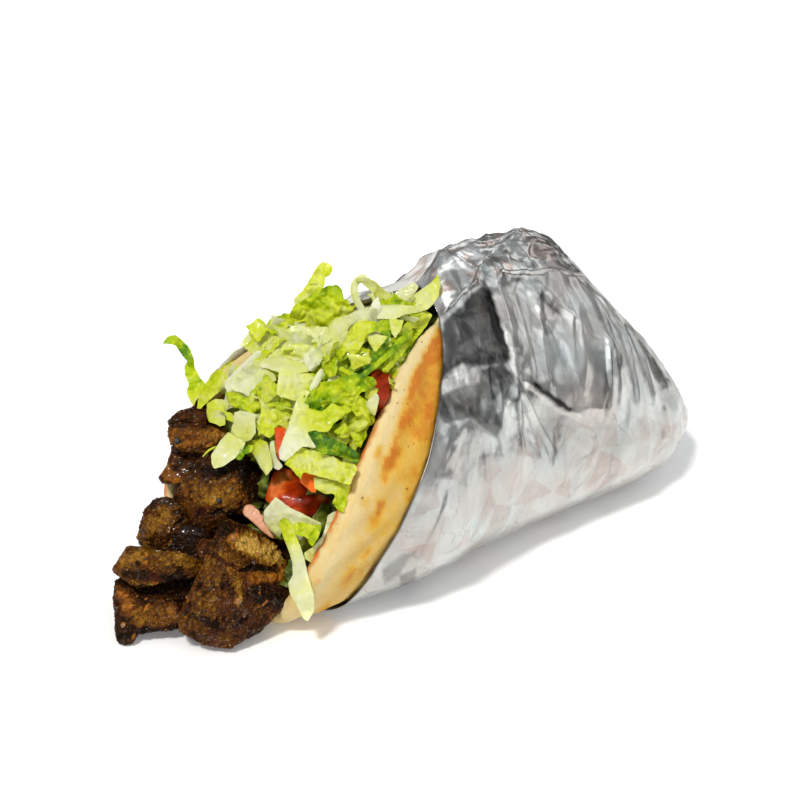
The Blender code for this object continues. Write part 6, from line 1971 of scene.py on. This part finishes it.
sheet("wide_rib_leaf", [(-2.38, 2.82), (-2.11, 2.91), (-1.65, 3.08), (-1.33, 3.21), (-0.81, 3.32), (-0.23, 3.36),
       (0.49, 3.32), (0.96, 3.40), (1.03, 3.19), (0.62, 3.06), (0.10, 3.00), (-0.16, 2.84),
       (-0.61, 2.84), (-1.13, 2.84), (-1.58, 2.74), (-1.78, 2.56), (-1.91, 2.30), (-2.11, 1.97),
       (-2.35, 1.65), (-2.63, 1.70), (-2.85, 1.83), (-2.82, 2.17), (-2.56, 2.49)],
      [(-2.11, 2.69, 0.3), (-1.46, 3.01, 0.24), (-0.49, 3.14, 0.2), (0.49, 3.21, 0.28), (-2.63, 1.97, 0.32), (-1.98, 2.49, 0.34)], lift=0.38, ruffle=0.25, thick=0.05, jag=0.35, tilt=(0, 0.12),
      folds=[(-2.50, 2.36, -1.13, 2.95, 0.05, 0.3), (-1.46, 3.14, 0.62, 3.21, 0.06, 0.2)])
sheet("green_frill", [(-0.84, 3.49), (-0.55, 3.58), (-0.30, 3.74), (-0.10, 3.71), (0.02, 3.53), (-0.21, 3.47),
       (0.49, 3.40), (0.55, 3.31), (0.10, 3.25), (-0.42, 3.28), (-0.81, 3.38)],
      [(-0.23, 3.60, 0.78), (0.36, 3.35, 0.6), (-0.68, 3.47, 0.66)], lift=0.5, ruffle=1, jag=0.8, depth=1.9)
sheet("upper_pale", [(-5.32, 2.41), (-4.96, 2.36), (-4.51, 2.33), (-4.06, 2.41), (-3.76, 2.60), (-3.47, 2.65),
       (-3.08, 2.43), (-2.84, 2.30), (-2.87, 2.03), (-3.41, 1.99), (-3.73, 1.90), (-4.02, 1.90),
       (-4.44, 1.77), (-4.70, 1.45), (-5.03, 1.51), (-5.48, 1.84), (-5.22, 2.12)],
      [(-5.22, 2.30, 0.55), (-4.70, 2.10, 0.36), (-4.06, 2.23, 0.34), (-3.41, 2.30, 0.3), (-4.96, 1.65, 0.4)], lift=0.22, thick=0.035, tilt=(0, 0.15), depth=1.2, over=True,
      folds=[(-4.70, 1.52, -3.02, 2.23, -0.06, 0.2)])
sheet("mid_pale", [(-2.94, 1.96), (-2.85, 2.23), (-2.50, 2.33), (-2.04, 2.23), (-1.90, 2.04), (-2.11, 1.71),
       (-2.35, 1.38), (-2.63, 1.44), (-2.87, 1.70)],
      [(-2.76, 2.04, 0.3), (-2.24, 2.04, 0.34), (-2.56, 1.58, 0.4)], lift=0.34, tilt=(0.15, 0))
sheet("pale_strip", [(-5.11, 1.32), (-4.70, 1.49), (-4.19, 1.55), (-3.67, 1.40), (-3.26, 1.19), (-3.20, 0.99),
       (-3.67, 0.92), (-4.12, 0.93), (-4.57, 1.08), (-4.95, 1.16)],
      [(-4.96, 1.32, 0.16), (-4.19, 1.26, 0.26), (-3.41, 1.06, 0.36)], lift=0.36, ruffle=0.25, thick=0.04, tilt=(0, -0.15),
      folds=[(-5.03, 1.29, -3.28, 1.10, 0.05, 0.12)])
sheet("mid_pale_b", [(-4.44, 1.75), (-4.02, 1.88), (-3.47, 1.97), (-2.95, 1.91), (-2.89, 1.65), (-3.08, 1.45),
       (-3.31, 1.26), (-3.67, 1.42), (-4.12, 1.55), (-4.57, 1.55)],
      [(-4.32, 1.71, 0.34), (-3.67, 1.71, 0.38), (-3.08, 1.71, 0.34)], lift=0.26, ruffle=0.5, tilt=(0, 0.25),
      folds=[(-4.19, 1.84, -3.15, 1.45, 0.05, 0.15)])
sheet("spear_body", [(-5.82, 0.81), (-5.22, 1.26), (-4.87, 1.19), (-4.44, 0.93), (-4.33, 0.68), (-4.64, 0.61),
       (-4.95, 0.61), (-5.08, 0.42), (-5.00, 0.08), (-5.22, 0.05), (-5.55, 0.25), (-5.84, 0.31),
       (-6.02, 0.55)],
      [(-5.55, 0.61, 0.18), (-4.96, 0.93, 0.26), (-4.57, 0.74, 0.34), (-5.35, 0.22, 0.2)], ruffle=0.3, thick=0.05, tilt=(-0.15, 0), over=True,
      folds=[(-5.68, 0.42, -4.70, 1.00, 0.05, 0.2)])
sheet("spear_edge", [(-6.15, 0.66), (-5.87, 0.93), (-5.55, 1.27), (-5.16, 1.62), (-4.98, 1.75), (-4.82, 1.67),
       (-5.06, 1.36), (-5.22, 1.26), (-5.55, 1.00), (-5.84, 0.68), (-5.99, 0.27), (-6.15, 0.44)],
      [(-6.00, 0.55, 0.1), (-5.48, 1.13, 0.05), (-4.96, 1.65, 0.03)], lift=0.5, ruffle=0.15, thick=0.05, jag=0.3, tilt=(-0.3, 0.2), over=True,
      folds=[(-6.07, 0.55, -4.93, 1.68, 0.07, 0.09)])
sheet("bright_left", [(-5.09, 0.27), (-5.04, 0.55), (-4.70, 0.73), (-4.37, 0.61), (-4.33, 0.14), (-4.57, -0.05),
       (-4.78, -0.12), (-4.96, 0.05)],
      [(-4.96, 0.42, 0.66), (-4.57, 0.55, 0.5), (-4.57, 0.09, 0.58)], lift=0.34, ruffle=0.9, jag=0.7, tilt=(0.3, 0))
sheet("curl_left", [(-6.15, 0.25), (-6.00, 0.32), (-5.74, 0.29), (-5.35, 0.05), (-4.96, -0.03), (-4.89, -0.30),
       (-5.15, -0.44), (-5.48, -0.38), (-5.81, -0.25), (-6.02, -0.05)],
      [(-6.00, 0.16, 0.6), (-5.48, -0.10, 0.66), (-5.09, -0.30, 0.56), (-5.81, -0.10, 0.74)], lift=0.36, ruffle=1, jag=0.8, tilt=(0, 0.35),
      folds=[(-6.00, 0.09, -4.96, -0.23, 0.1, 0.16)])
sheet("behind_rect", [(-4.35, -0.05), (-3.72, -0.10), (-3.74, -0.43), (-3.87, -0.75), (-4.04, -1.01),
       (-4.35, -0.98), (-4.37, -0.49)],
      [(-4.06, -0.30, 0.58), (-4.12, -0.82, 0.6), (-4.32, -0.10, 0.68)], lift=0.06, ruffle=0.5, tilt=(-0.2, 0))
sheet("vertical_yellow", [(-4.87, 0.17), (-4.63, 0.25), (-4.30, 0.09), (-4.33, -0.43), (-4.30, -0.75), (-4.38, -1.16),
       (-4.59, -1.35), (-4.89, -1.16), (-4.93, -0.75), (-4.89, -0.36)],
      [(-4.70, 0.03, 0.3), (-4.44, -0.56, 0.46), (-4.70, -0.95, 0.55), (-4.44, -1.14, 0.6)], lift=0.36, ruffle=0.5, jag=0.6, tilt=(-0.25, 0),
      folds=[(-4.44, 0.03, -4.50, -1.27, 0.1, 0.12)])
sheet("o_band", [(-1.59, 2.72), (-1.13, 2.80), (-0.80, 2.75), (-1.06, 2.36), (-1.25, 2.04), (-1.45, 1.71),
       (-1.65, 1.58), (-1.85, 1.71), (-2.11, 1.44), (-2.22, 1.64), (-1.98, 1.97), (-1.85, 2.30),
       (-1.73, 2.56)],
      [(-1.46, 2.49, 0.6), (-1.13, 2.69, 0.68), (-1.78, 1.97, 0.5), (-2.11, 1.58, 0.55)], lift=0.42, ruffle=0.5, tilt=(0.2, 0),
      folds=[(-1.52, 2.69, -2.04, 1.58, 0.09, 0.14)])
sheet("o_small", [(-2.72, 1.71), (-2.37, 1.45), (-2.19, 1.18), (-2.26, 0.86), (-2.50, 0.79), (-2.66, 1.03),
       (-2.77, 1.26)],
      [(-2.56, 1.45, 0.62), (-2.37, 0.93, 0.56)], lift=0.36, ruffle=0.8, tilt=(0.3, 0.1))
sheet("arch_dark", [(-0.89, 2.67), (-0.61, 2.83), (-0.36, 2.78), (-0.30, 2.36), (-0.41, 2.04), (-0.55, 1.97),
       (-0.58, 2.30), (-0.81, 2.43), (-1.13, 2.33), (-1.07, 2.49)],
      [(-0.55, 2.69, 0.8), (-0.42, 2.30, 0.86), (-0.94, 2.49, 0.7)], lift=0.36, ruffle=0.5, tilt=(-0.3, 0),
      folds=[(-0.87, 2.62, -0.36, 2.23, 0.08, 0.12)])
sheet("pale_thin_leaf", [(-0.39, 2.85), (0.13, 2.82), (0.09, 2.67), (0.05, 2.48), (-0.16, 2.14), (-0.28, 2.30),
       (-0.33, 2.49)],
      [(-0.10, 2.69, 0.4), (-0.16, 2.30, 0.34)], lift=0.42)
sheet("rim_green", [(0.13, 2.62), (0.49, 2.95), (0.75, 3.03), (0.62, 2.75), (0.42, 2.49), (0.16, 2.33),
       (-0.03, 2.23), (0.07, 2.49)],
      [(0.49, 2.82, 0.44), (0.16, 2.49, 0.5)])
sheet("dark_under_rib", [(-1.07, 1.45), (-0.81, 1.84), (-0.41, 2.12), (0.03, 2.33), (0.16, 2.23), (0.13, 2.04),
       (-0.23, 1.71), (-0.67, 1.44), (-0.99, 1.18), (-1.33, 1.01), (-1.26, 1.26)],
      [(-0.81, 1.58, 0.86), (-0.16, 2.10, 0.8), (-1.13, 1.19, 0.8)], lift=0.34)
sheet("rib_strand", [(-1.47, 0.75), (-1.39, 0.93), (-0.94, 1.26), (-0.36, 1.81), (0.03, 2.27), (0.39, 2.49),
       (0.52, 2.41), (0.16, 2.04), (-0.23, 1.62), (-0.74, 1.19), (-1.13, 0.87), (-1.36, 0.71)],
      [(-1.33, 0.87, 0.66), (-0.81, 1.26, 0.72), (-0.16, 1.91, 0.76), (0.42, 2.46, 0.7)], lift=0.52, ruffle=0.1, thick=0.08, jag=0.15,
      folds=[(-1.39, 0.81, 0.46, 2.44, 0.05, 0.08)])
sheet("bright_rim", [(0.13, 2.20), (0.50, 2.31), (0.41, 2.04), (0.18, 1.71), (-0.15, 1.26), (-0.47, 0.92),
       (-0.63, 1.03), (-0.41, 1.36), (-0.16, 1.71)],
      [(0.29, 2.10, 0.6), (-0.16, 1.45, 0.7), (-0.49, 1.06, 0.62)], lift=0.38, ruffle=0.8, jag=0.7,
      folds=[(0.36, 2.23, -0.49, 1.06, 0.08, 0.12)])
sheet("pale_triangle_leaf", [(-1.21, 2.30), (-0.81, 2.31), (-0.41, 2.23), (-0.60, 1.97), (-0.74, 1.83), (-0.87, 1.64),
       (-1.06, 1.96)],
      [(-0.81, 2.17, 0.34), (-0.87, 1.78, 0.44)], lift=0.5, ruffle=0.3, tilt=(0.2, -0.2))
sheet("pale_tooth_leaf", [(-1.86, 1.58), (-1.71, 1.64), (-1.46, 1.57), (-0.99, 1.47), (-1.03, 1.26), (-1.32, 1.18),
       (-1.65, 1.06), (-1.75, 1.31)],
      [(-1.72, 1.52, 0.3), (-1.26, 1.32, 0.32), (-1.65, 1.13, 0.36)], lift=0.55, ruffle=0.35, tilt=(0.1, 0.3),
      folds=[(-1.72, 1.45, -1.07, 1.36, 0.06, 0.1)])
sheet("rect", [(-4.24, 1.03), (-3.47, 0.99), (-3.04, 0.90), (-3.00, 0.75), (-3.18, 0.40), (-3.47, -0.05),
       (-3.80, -0.01), (-4.35, 0.19), (-4.30, 0.61)],
      [(-3.67, 0.55, 0.4), (-4.19, 0.93, 0.36), (-3.15, 0.81, 0.34)], lift=0.6, ruffle=0, thick=0.06, jag=0.06, flat=1, tilt=(0.05, 0.12))
sheet("small_white_leaf", [(-3.41, 1.55), (-3.15, 1.79), (-2.81, 1.75), (-2.68, 1.55), (-2.81, 1.26), (-3.04, 0.99),
       (-3.28, 1.05), (-3.37, 1.26)],
      [(-3.08, 1.52, 0.12), (-2.89, 1.58, 0.2), (-3.15, 1.19, 0.1)], lift=0.5, ruffle=0.6, thick=0.04, jag=0.9, tilt=(-0.2, 0),
      folds=[(-3.21, 1.71, -3.02, 1.13, 0.06, 0.1)])
sheet("big_ruffle", [(-3.41, 0.12), (-3.21, 0.42), (-2.89, 0.61), (-2.37, 0.68), (-1.91, 0.87), (-1.59, 0.95),
       (-1.26, 0.87), (-0.87, 0.75), (-0.78, 0.55), (-1.00, 0.40), (-1.33, 0.27), (-1.58, -0.05),
       (-1.72, -0.25), (-1.98, -0.12), (-2.35, -0.12), (-2.63, -0.38), (-2.95, -0.47), (-3.22, -0.31),
       (-3.41, -0.12)],
      [(-2.89, 0.35, 0.5), (-2.37, 0.42, 0.64), (-1.78, 0.68, 0.58), (-1.13, 0.61, 0.66), (-3.02, -0.23, 0.7), (-2.11, 0.03, 0.6), (-1.52, 0.29, 0.5)], lift=0.5, ruffle=1, jag=0.8, tilt=(0, 0.25),
      folds=[(-3.28, -0.10, -1.46, 0.68, 0.12, 0.2), (-2.50, 0.61, -2.37, -0.04, 0.07, 0.12)])
sheet("white_base", [(-3.41, 0.36), (-3.13, 0.30), (-3.26, 0.09), (-3.20, -0.29), (-2.76, -0.42), (-2.35, -0.10),
       (-1.91, -0.35), (-2.03, -0.62), (-2.35, -0.83), (-2.50, -1.12), (-3.00, -1.11), (-3.21, -1.19),
       (-3.08, -1.47), (-2.94, -1.66), (-3.41, -1.64), (-3.78, -1.93), (-4.04, -2.19), (-4.24, -2.05),
       (-4.25, -1.79), (-4.12, -1.40), (-3.93, -0.95), (-3.80, -0.49), (-3.63, -0.04), (-3.50, 0.25)],
      [(-4.06, -1.92, 0.02), (-3.80, -1.27, 0.08), (-3.47, -0.43, 0.1), (-3.08, -0.88, 0.22), (-2.63, -0.62, 0.46), (-2.11, -0.43, 0.58), (-2.76, -0.23, 0.5), (-3.41, 0.16, 0.2), (-3.28, -1.40, 0.06)], lift=0.56, ruffle=0.45, thick=0.035, tilt=(-0.12, 0),
      folds=[(-4.12, -1.92, -3.54, -0.10, 0.07, 0.2), (-3.41, -0.75, -2.24, -0.43, 0.06, 0.2)])
sheet("white_sliver_leaf", [(-2.72, 1.12), (-2.64, 0.87), (-2.94, 0.40), (-3.15, 0.30), (-3.19, 0.42), (-3.00, 0.81),
       (-2.83, 1.06)],
      [(-2.89, 0.74, 0.07)], lift=0.72, ruffle=0.1, thick=0.06, jag=0.2,
      folds=[(-2.72, 1.03, -3.11, 0.35, 0.05, 0.06)])
sheet("fold_a", [(-5.81, -0.44), (-5.48, -0.38), (-5.05, -0.49), (-5.09, -0.75), (-5.05, -1.14),
       (-5.24, -1.42), (-5.54, -1.48), (-5.74, -1.35), (-5.94, -1.03), (-5.84, -0.75)],
      [(-5.48, -0.75, 0.1), (-5.16, -0.62, 0.2), (-5.61, -1.27, 0.14)], lift=0.42, ruffle=0.1, thick=0.06, jag=0.3, tilt=(0.2, 0),
      folds=[(-5.81, -1.34, -5.16, -1.34, 0.07, 0.15)])
sheet("fold_b", [(-6.04, -1.12), (-5.74, -1.30), (-5.41, -1.47), (-5.55, -1.79), (-5.81, -2.06),
       (-6.20, -2.32), (-6.52, -2.42), (-6.63, -2.18), (-6.63, -1.92), (-6.46, -1.66), (-6.29, -1.40)],
      [(-6.13, -1.73, 0.12), (-6.52, -2.25, 0.3), (-5.68, -1.47, 0.1)], lift=0.5, ruffle=0.1, thick=0.06, jag=0.25, tilt=(-0.15, 0.1))
sheet("small_hang_leaf", [(-5.37, -1.48), (-4.96, -1.37), (-4.66, -1.47), (-4.53, -1.92), (-4.46, -2.38),
       (-4.69, -2.65), (-4.89, -2.38), (-5.06, -2.05), (-5.22, -1.80), (-5.39, -1.73)],
      [(-5.16, -1.60, 0.5), (-4.83, -1.79, 0.3), (-4.70, -2.38, 0.26)], lift=0.42, ruffle=0.35, thick=0.045, tilt=(0.2, 0),
      folds=[(-5.09, -1.47, -4.64, -2.51, 0.08, 0.15)])
sheet("small_green_edge", [(-5.60, -1.74), (-5.35, -1.58), (-5.13, -1.58), (-5.21, -1.80), (-5.46, -1.91),
       (-5.57, -2.13), (-5.76, -2.06)],
      [(-5.48, -1.79, 0.74), (-5.22, -1.66, 0.62)], lift=0.56, ruffle=0.8, jag=0.8)
sheet("pinkish_strip", [(-4.57, -1.47), (-4.41, -1.40), (-4.38, -1.79), (-4.32, -2.05), (-4.12, -2.31),
       (-4.25, -2.47), (-4.44, -2.38), (-4.56, -2.05)],
      [(-4.44, -1.79, 0.22), (-4.28, -2.31, 0.04)], ruffle=0.2, thick=0.05,
      folds=[(-4.50, -1.47, -4.28, -2.38, 0.06, 0.08)])
sheet("curl_rim_a", [(-1.78, 0.09), (-1.39, 0.17), (-1.12, -0.10), (-1.06, -0.49), (-1.02, -0.77), (-1.26, -0.96),
       (-1.78, -0.92), (-1.52, -0.57), (-1.73, -0.30)],
      [(-1.52, -0.04, 0.5), (-1.20, -0.43, 0.56), (-1.46, -0.82, 0.6)], lift=0.4, ruffle=0.9, jag=0.6, tilt=(0.3, 0),
      folds=[(-1.65, 0.03, -1.13, -0.75, 0.1, 0.14)])
sheet("rib_rim", [(-1.13, 0.01), (-0.84, 0.27), (-0.72, 0.08), (-0.86, -0.56), (-1.07, -0.44), (-1.20, -0.18)],
      [(-1.00, -0.10, 0.1), (-0.87, -0.43, 0.3)], lift=0.55, ruffle=0.2, thick=0.06, jag=0.3)
sheet("curl_rim_b", [(-1.86, -0.93), (-1.52, -0.72), (-1.12, -0.75), (-1.19, -1.01), (-1.59, -1.16),
       (-1.62, -1.42), (-1.78, -1.22)],
      [(-1.72, -1.01, 0.5), (-1.33, -0.85, 0.36)], lift=0.5, ruffle=0.7, jag=0.6, tilt=(0, 0.4),
      folds=[(-1.78, -1.08, -1.20, -0.85, 0.07, 0.1)])
sheet("olive_rim", [(-1.72, -1.17), (-1.47, -1.01), (-1.25, -1.01), (-1.28, -1.40), (-1.35, -1.69), (-1.59, -1.61)],
      [(-1.46, -1.27, 0.66)], lift=0.25, ruffle=0.5)
sheet("low_rim_tooth", [(-2.34, -1.11), (-2.11, -0.92), (-1.98, -0.69), (-1.85, -0.92), (-1.78, -1.30), (-2.04, -1.34)],
      [(-2.04, -1.08, 0.56)], ruffle=0.6)
sheet("dark_leaf_sheet", [(-3.26, -1.14), (-2.96, -1.06), (-2.55, -1.30), (-2.35, -1.34), (-1.85, -1.60),
       (-1.38, -1.87), (-1.38, -2.23), (-1.72, -2.16), (-2.11, -1.99), (-2.48, -1.90), (-2.82, -1.90),
       (-2.96, -1.60), (-3.15, -1.34)],
      [(-3.08, -1.21, 0.86), (-2.63, -1.53, 0.96), (-2.11, -1.73, 0.78), (-1.59, -1.99, 0.95), (-2.76, -1.79, 0.72), (-2.37, -1.40, 0.98)], lift=0.82, ruffle=0.5, tilt=(0, 0.2),
      folds=[(-3.15, -1.17, -1.52, -2.05, 0.09, 0.13)])
sheet("rim_backing", [(-0.56, 2.46), (0, 2.95), (0.87, 3.13), (1.05, 2.88), (0.70, 2.29), (0.27, 1.69),
       (-0.08, 1.06), (-0.43, 0.42), (-0.71, 0.71), (-0.78, 1.76)],
      [(-0.16, 1.84, 0.74), (0.49, 2.82, 0.62)], lift=0, ruffle=0.7, tilt=(-0.2, -0.6), depth=2, pin=True)
sheet("rim_fill_olive", [(0, 2.64), (0.35, 2.95), (0.91, 3.13), (1.16, 2.99), (0.87, 2.53), (0.56, 2.14), (0.27, 1.93),
       (0.07, 2.11)],
      [(0.49, 2.62, 0.58), (0.94, 2.95, 0.46)], lift=0, ruffle=0.5, tilt=(0, -0.8), depth=2.45, pin=True,
      folds=[(0.03, 2.23, 1.01, 3.01, 0.1, 0.2)])
sheet("rim_fill_mid", [(-0.14, 1.83), (0.27, 2.18), (0.63, 2.32), (0.46, 1.93), (0.21, 1.51), (-0.04, 1.16),
       (-0.25, 1.34)],
      [(0.10, 1.84, 0.72), (0.42, 2.23, 0.62)], lift=0, ruffle=0.5, tilt=(0, -0.8), depth=3.2, pin=True)
sheet("rim_fill_low", [(-0.49, 0.92), (-0.21, 1.41), (0.14, 1.72), (0.24, 1.62), (0, 1.13), (-0.21, 0.71),
       (-0.46, 0.42)],
      [(-0.36, 1.06, 0.6), (0.10, 1.58, 0.66)], lift=0, ruffle=0.8, tilt=(0, -0.8), depth=3.8, pin=True)
sheet("curled_band", [(-4.10, -2.26), (-3.81, -1.96), (-3.56, -1.57), (-3.35, -1.70), (-2.89, -1.80),
       (-2.73, -1.93), (-2.32, -1.98), (-2.06, -2.16), (-1.55, -2.25), (-1.50, -2.42), (-1.75, -2.99),
       (-2.00, -2.93), (-2.32, -2.83), (-2.58, -2.75), (-2.99, -2.64), (-3.40, -2.55), (-3.48, -2.82),
       (-3.66, -2.57), (-3.84, -2.39)],
      [(-3.56, -1.75, 0.5), (-3.97, -2.26, 0.52), (-3.35, -2.06, 0.36), (-2.53, -2.26, 0.24), (-1.81, -2.47, 0.44), (-3.45, -2.62, 0.6), (-2.53, -2.68, 0.42), (-1.91, -2.88, 0.5)], lift=0.74, ruffle=0.7, thick=0.03, jag=0.6, tilt=(0, -0.2),
      folds=[(-3.56, -1.65, -3.45, -2.68, 0.1, 0.14), (-3.35, -2.47, -1.70, -2.78, 0.08, 0.1), (-3.15, -2.06, -1.70, -2.32, 0.05, 0.12)])
sheet("green_low_leaf", [(-3.02, -2.68), (-2.53, -2.82), (-2.22, -2.88), (-1.72, -3.01), (-1.81, -3.35),
       (-2.00, -4.02), (-2.22, -3.82), (-2.40, -3.60), (-2.27, -3.40), (-2.32, -3.29), (-2.63, -3.30),
       (-3.00, -3.10)],
      [(-2.84, -2.93, 0.26), (-2.53, -3.14, 0.34), (-2.01, -3.19, 0.62), (-2.01, -3.60, 0.72)], lift=0.56, ruffle=0.5, jag=0.6, tilt=(0.2, 0),
      folds=[(-2.84, -3.09, -1.91, -3.14, 0.06, 0.2), (-2.27, -3.35, -2.01, -3.96, 0.09, 0.1)])
sheet("white_low_leaf", [(-4.79, -3.92), (-4.38, -3.40), (-4.17, -3.55), (-3.81, -3.82), (-3.45, -3.96),
       (-3.04, -4.18), (-2.73, -4.33), (-2.89, -4.49), (-3.09, -4.44), (-3.35, -4.38), (-3.66, -4.49),
       (-3.81, -4.54), (-3.86, -4.28), (-4.07, -4.12), (-4.23, -4.23), (-4.17, -4.63), (-4.22, -4.82),
       (-4.59, -4.54), (-4.77, -4.28)],
      [(-4.59, -3.81, 0.06), (-4.33, -3.60, 0.03), (-3.81, -4.01, 0.14), (-3.15, -4.27, 0.2), (-4.43, -4.53, 0.3)], lift=0.5, ruffle=0.25, thick=0.05, jag=0.3, tilt=(-0.25, 0.1),
      folds=[(-4.69, -4.01, -4.28, -3.55, 0.07, 0.15), (-4.07, -3.91, -2.84, -4.37, 0.06, 0.14)])
sheet("curly_low_leaf", [(-3.80, -4.38), (-3.56, -4.27), (-3.20, -4.33), (-3.04, -4.37), (-2.75, -4.38),
       (-2.78, -4.64), (-2.94, -4.95), (-3.09, -5.16), (-3.30, -4.80), (-3.56, -4.79), (-3.70, -4.64)],
      [(-3.56, -4.48, 0.7), (-3.15, -4.43, 0.56), (-3.04, -4.84, 0.66), (-3.40, -4.63, 0.5)], lift=0.56, ruffle=0.8, jag=0.7, tilt=(0.2, 0.2),
      folds=[(-3.66, -4.58, -2.84, -4.48, 0.1, 0.12), (-3.35, -4.37, -3.04, -4.99, 0.08, 0.12)])
sheet("right_low_leaf", [(-2.55, -4.07), (-2.32, -3.91), (-2.05, -3.96), (-2.09, -4.27), (-2.32, -4.68),
       (-2.53, -5.04), (-2.72, -5.51), (-2.80, -5.88), (-3.04, -5.76), (-3.35, -5.57), (-3.38, -5.35),
       (-3.04, -5.15), (-2.73, -4.79), (-2.63, -4.48)],
      [(-2.32, -4.12, 0.14), (-2.53, -4.63, 0.1), (-2.84, -5.15, 0.16), (-2.94, -5.61, 0.4), (-3.25, -5.46, 0.3)], ruffle=0.3, thick=0.045, jag=0.4, tilt=(-0.2, 0),
      folds=[(-2.32, -4.01, -2.84, -5.30, 0.08, 0.15), (-3.30, -5.40, -2.79, -5.71, 0.06, 0.1)])
sheet("hanging_top", [(-4.27, -4.21), (-4.15, -4.08), (-4.01, -4.01), (-3.86, -4.12), (-3.78, -4.48),
       (-3.56, -4.95), (-3.35, -5.56), (-3.24, -6.12), (-3.15, -6.43), (-3.02, -6.85), (-3.01, -7.41),
       (-3.24, -7.78), (-3.40, -7.68), (-3.63, -7.21), (-3.87, -6.80), (-3.93, -6.44), (-3.76, -6.12),
       (-3.79, -5.66), (-3.92, -5.26), (-4.12, -4.75), (-4.24, -4.44)],
      [(-4.07, -4.27, 0.66), (-3.92, -4.79, 0.56), (-3.76, -5.25, 0.24), (-3.56, -5.76, 0.1), (-3.61, -6.38, 0.16), (-3.40, -6.95, 0.18), (-3.20, -7.57, 0.16)], lift=0.42, ruffle=0.05, thick=0.07, jag=0.15, flat=0.35, over=True,
      folds=[(-4.07, -4.12, -3.51, -5.92, 0.08, 0.16)])


# ----------------------------------------------------------------------- stage
def make_stage():
    me = bpy.data.meshes.new("floor")
    s = 9.0
    me.from_pydata([(-s, -s, 0), (s, -s, 0), (s, s, 0), (-s, s, 0)], [], [(0, 1, 2, 3)])
    floor = bpy.data.objects.new("floor", me)
    bpy.context.scene.collection.objects.link(floor)
    floor.location.z = -0.0003
    m = Mat("floor_paper")
    m.to("Base Color", m.ramp(m.noise(2, 2), [(0.3, lin(243, 243, 242)), (0.7, lin(247, 247, 246))]))
    m.set(Roughness=0.9, Specular_IOR_Level=0.1, Emission_Strength=0.14)
    m.b.inputs["Emission Color"].default_value = (1, 1, 1, 1)
    me.materials.append(m.m)

    def aimed(name, kind, az, el, dist, energy, colour, aim=(0, 0, 0.05)):
        light = bpy.data.lights.new(name, kind)
        light.energy, light.color = energy, colour
        ob = bpy.data.objects.new(name, light)
        a, e = radians(az), radians(el)
        ob.location = Vector(aim) + Vector((np.sin(a) * np.cos(e), -np.cos(a) * np.cos(e), np.sin(e))) * dist
        ob.rotation_euler = (Vector(aim) - ob.location).to_track_quat("-Z", "Y").to_euler()
        bpy.context.scene.collection.objects.link(ob)
        return light

    key = aimed("key", "SUN", -66, 52, 2.0, 2.6, (1.0, 0.975, 0.94))
    key.angle = radians(9)
    fill = aimed("fill", "SUN", -8, 40, 2.0, 0.55, (0.97, 0.985, 1.0))
    fill.angle = radians(50)
    soft = aimed("softbox", "AREA", 78, 34, 1.5, 3.0, (0.98, 0.99, 1.0))
    soft.shape = "RECTANGLE"
    soft.size, soft.size_y = 1.35, 0.8

    world = bpy.data.worlds.new("studio")
    bpy.context.scene.world = world
    world.use_nodes = True
    t = world.node_tree
    t.nodes.clear()
    out = t.nodes.new("ShaderNodeOutputWorld")
    bg = t.nodes.new("ShaderNodeBackground")
    coord = t.nodes.new("ShaderNodeTexCoord")
    sep = t.nodes.new("ShaderNodeSeparateXYZ")
    ramp = t.nodes.new("ShaderNodeValToRGB")
    t.links.new(coord.outputs["Generated"], sep.inputs[0])
    t.links.new(sep.outputs["Z"], ramp.inputs["Fac"])
    ramp.color_ramp.elements[0].position = 0.05
    ramp.color_ramp.elements[0].color = (0.10, 0.102, 0.105, 1)
    ramp.color_ramp.elements[1].position = 0.95
    ramp.color_ramp.elements[1].color = (0.62, 0.64, 0.66, 1)
    t.links.new(ramp.outputs["Color"], bg.inputs["Color"])
    bg.inputs["Strength"].default_value = 0.8
    t.links.new(bg.outputs[0], out.inputs["Surface"])

    cam = bpy.data.cameras.new("camera")
    cam.lens, cam.sensor_width = 100, 36
    cam.clip_start, cam.clip_end = 0.01, 100
    ob = bpy.data.objects.new("camera", cam)
    turn = Matrix([RIGHT, UP, BACK]).transposed().to_4x4()
    place = Vector((EYE + SHIFT) * CM)
    ob.matrix_world = Matrix.Translation(place) @ turn
    bpy.context.scene.collection.objects.link(ob)
    bpy.context.scene.camera = ob
    bpy.context.scene.view_settings.view_transform = "Standard"
    bpy.context.scene.view_settings.look = "None"


make_stage()
make_foil()
make_pita()
make_meat()
make_bed()
make_tomato()
make_flecks()
make_lettuce()
make_tomato_bit()
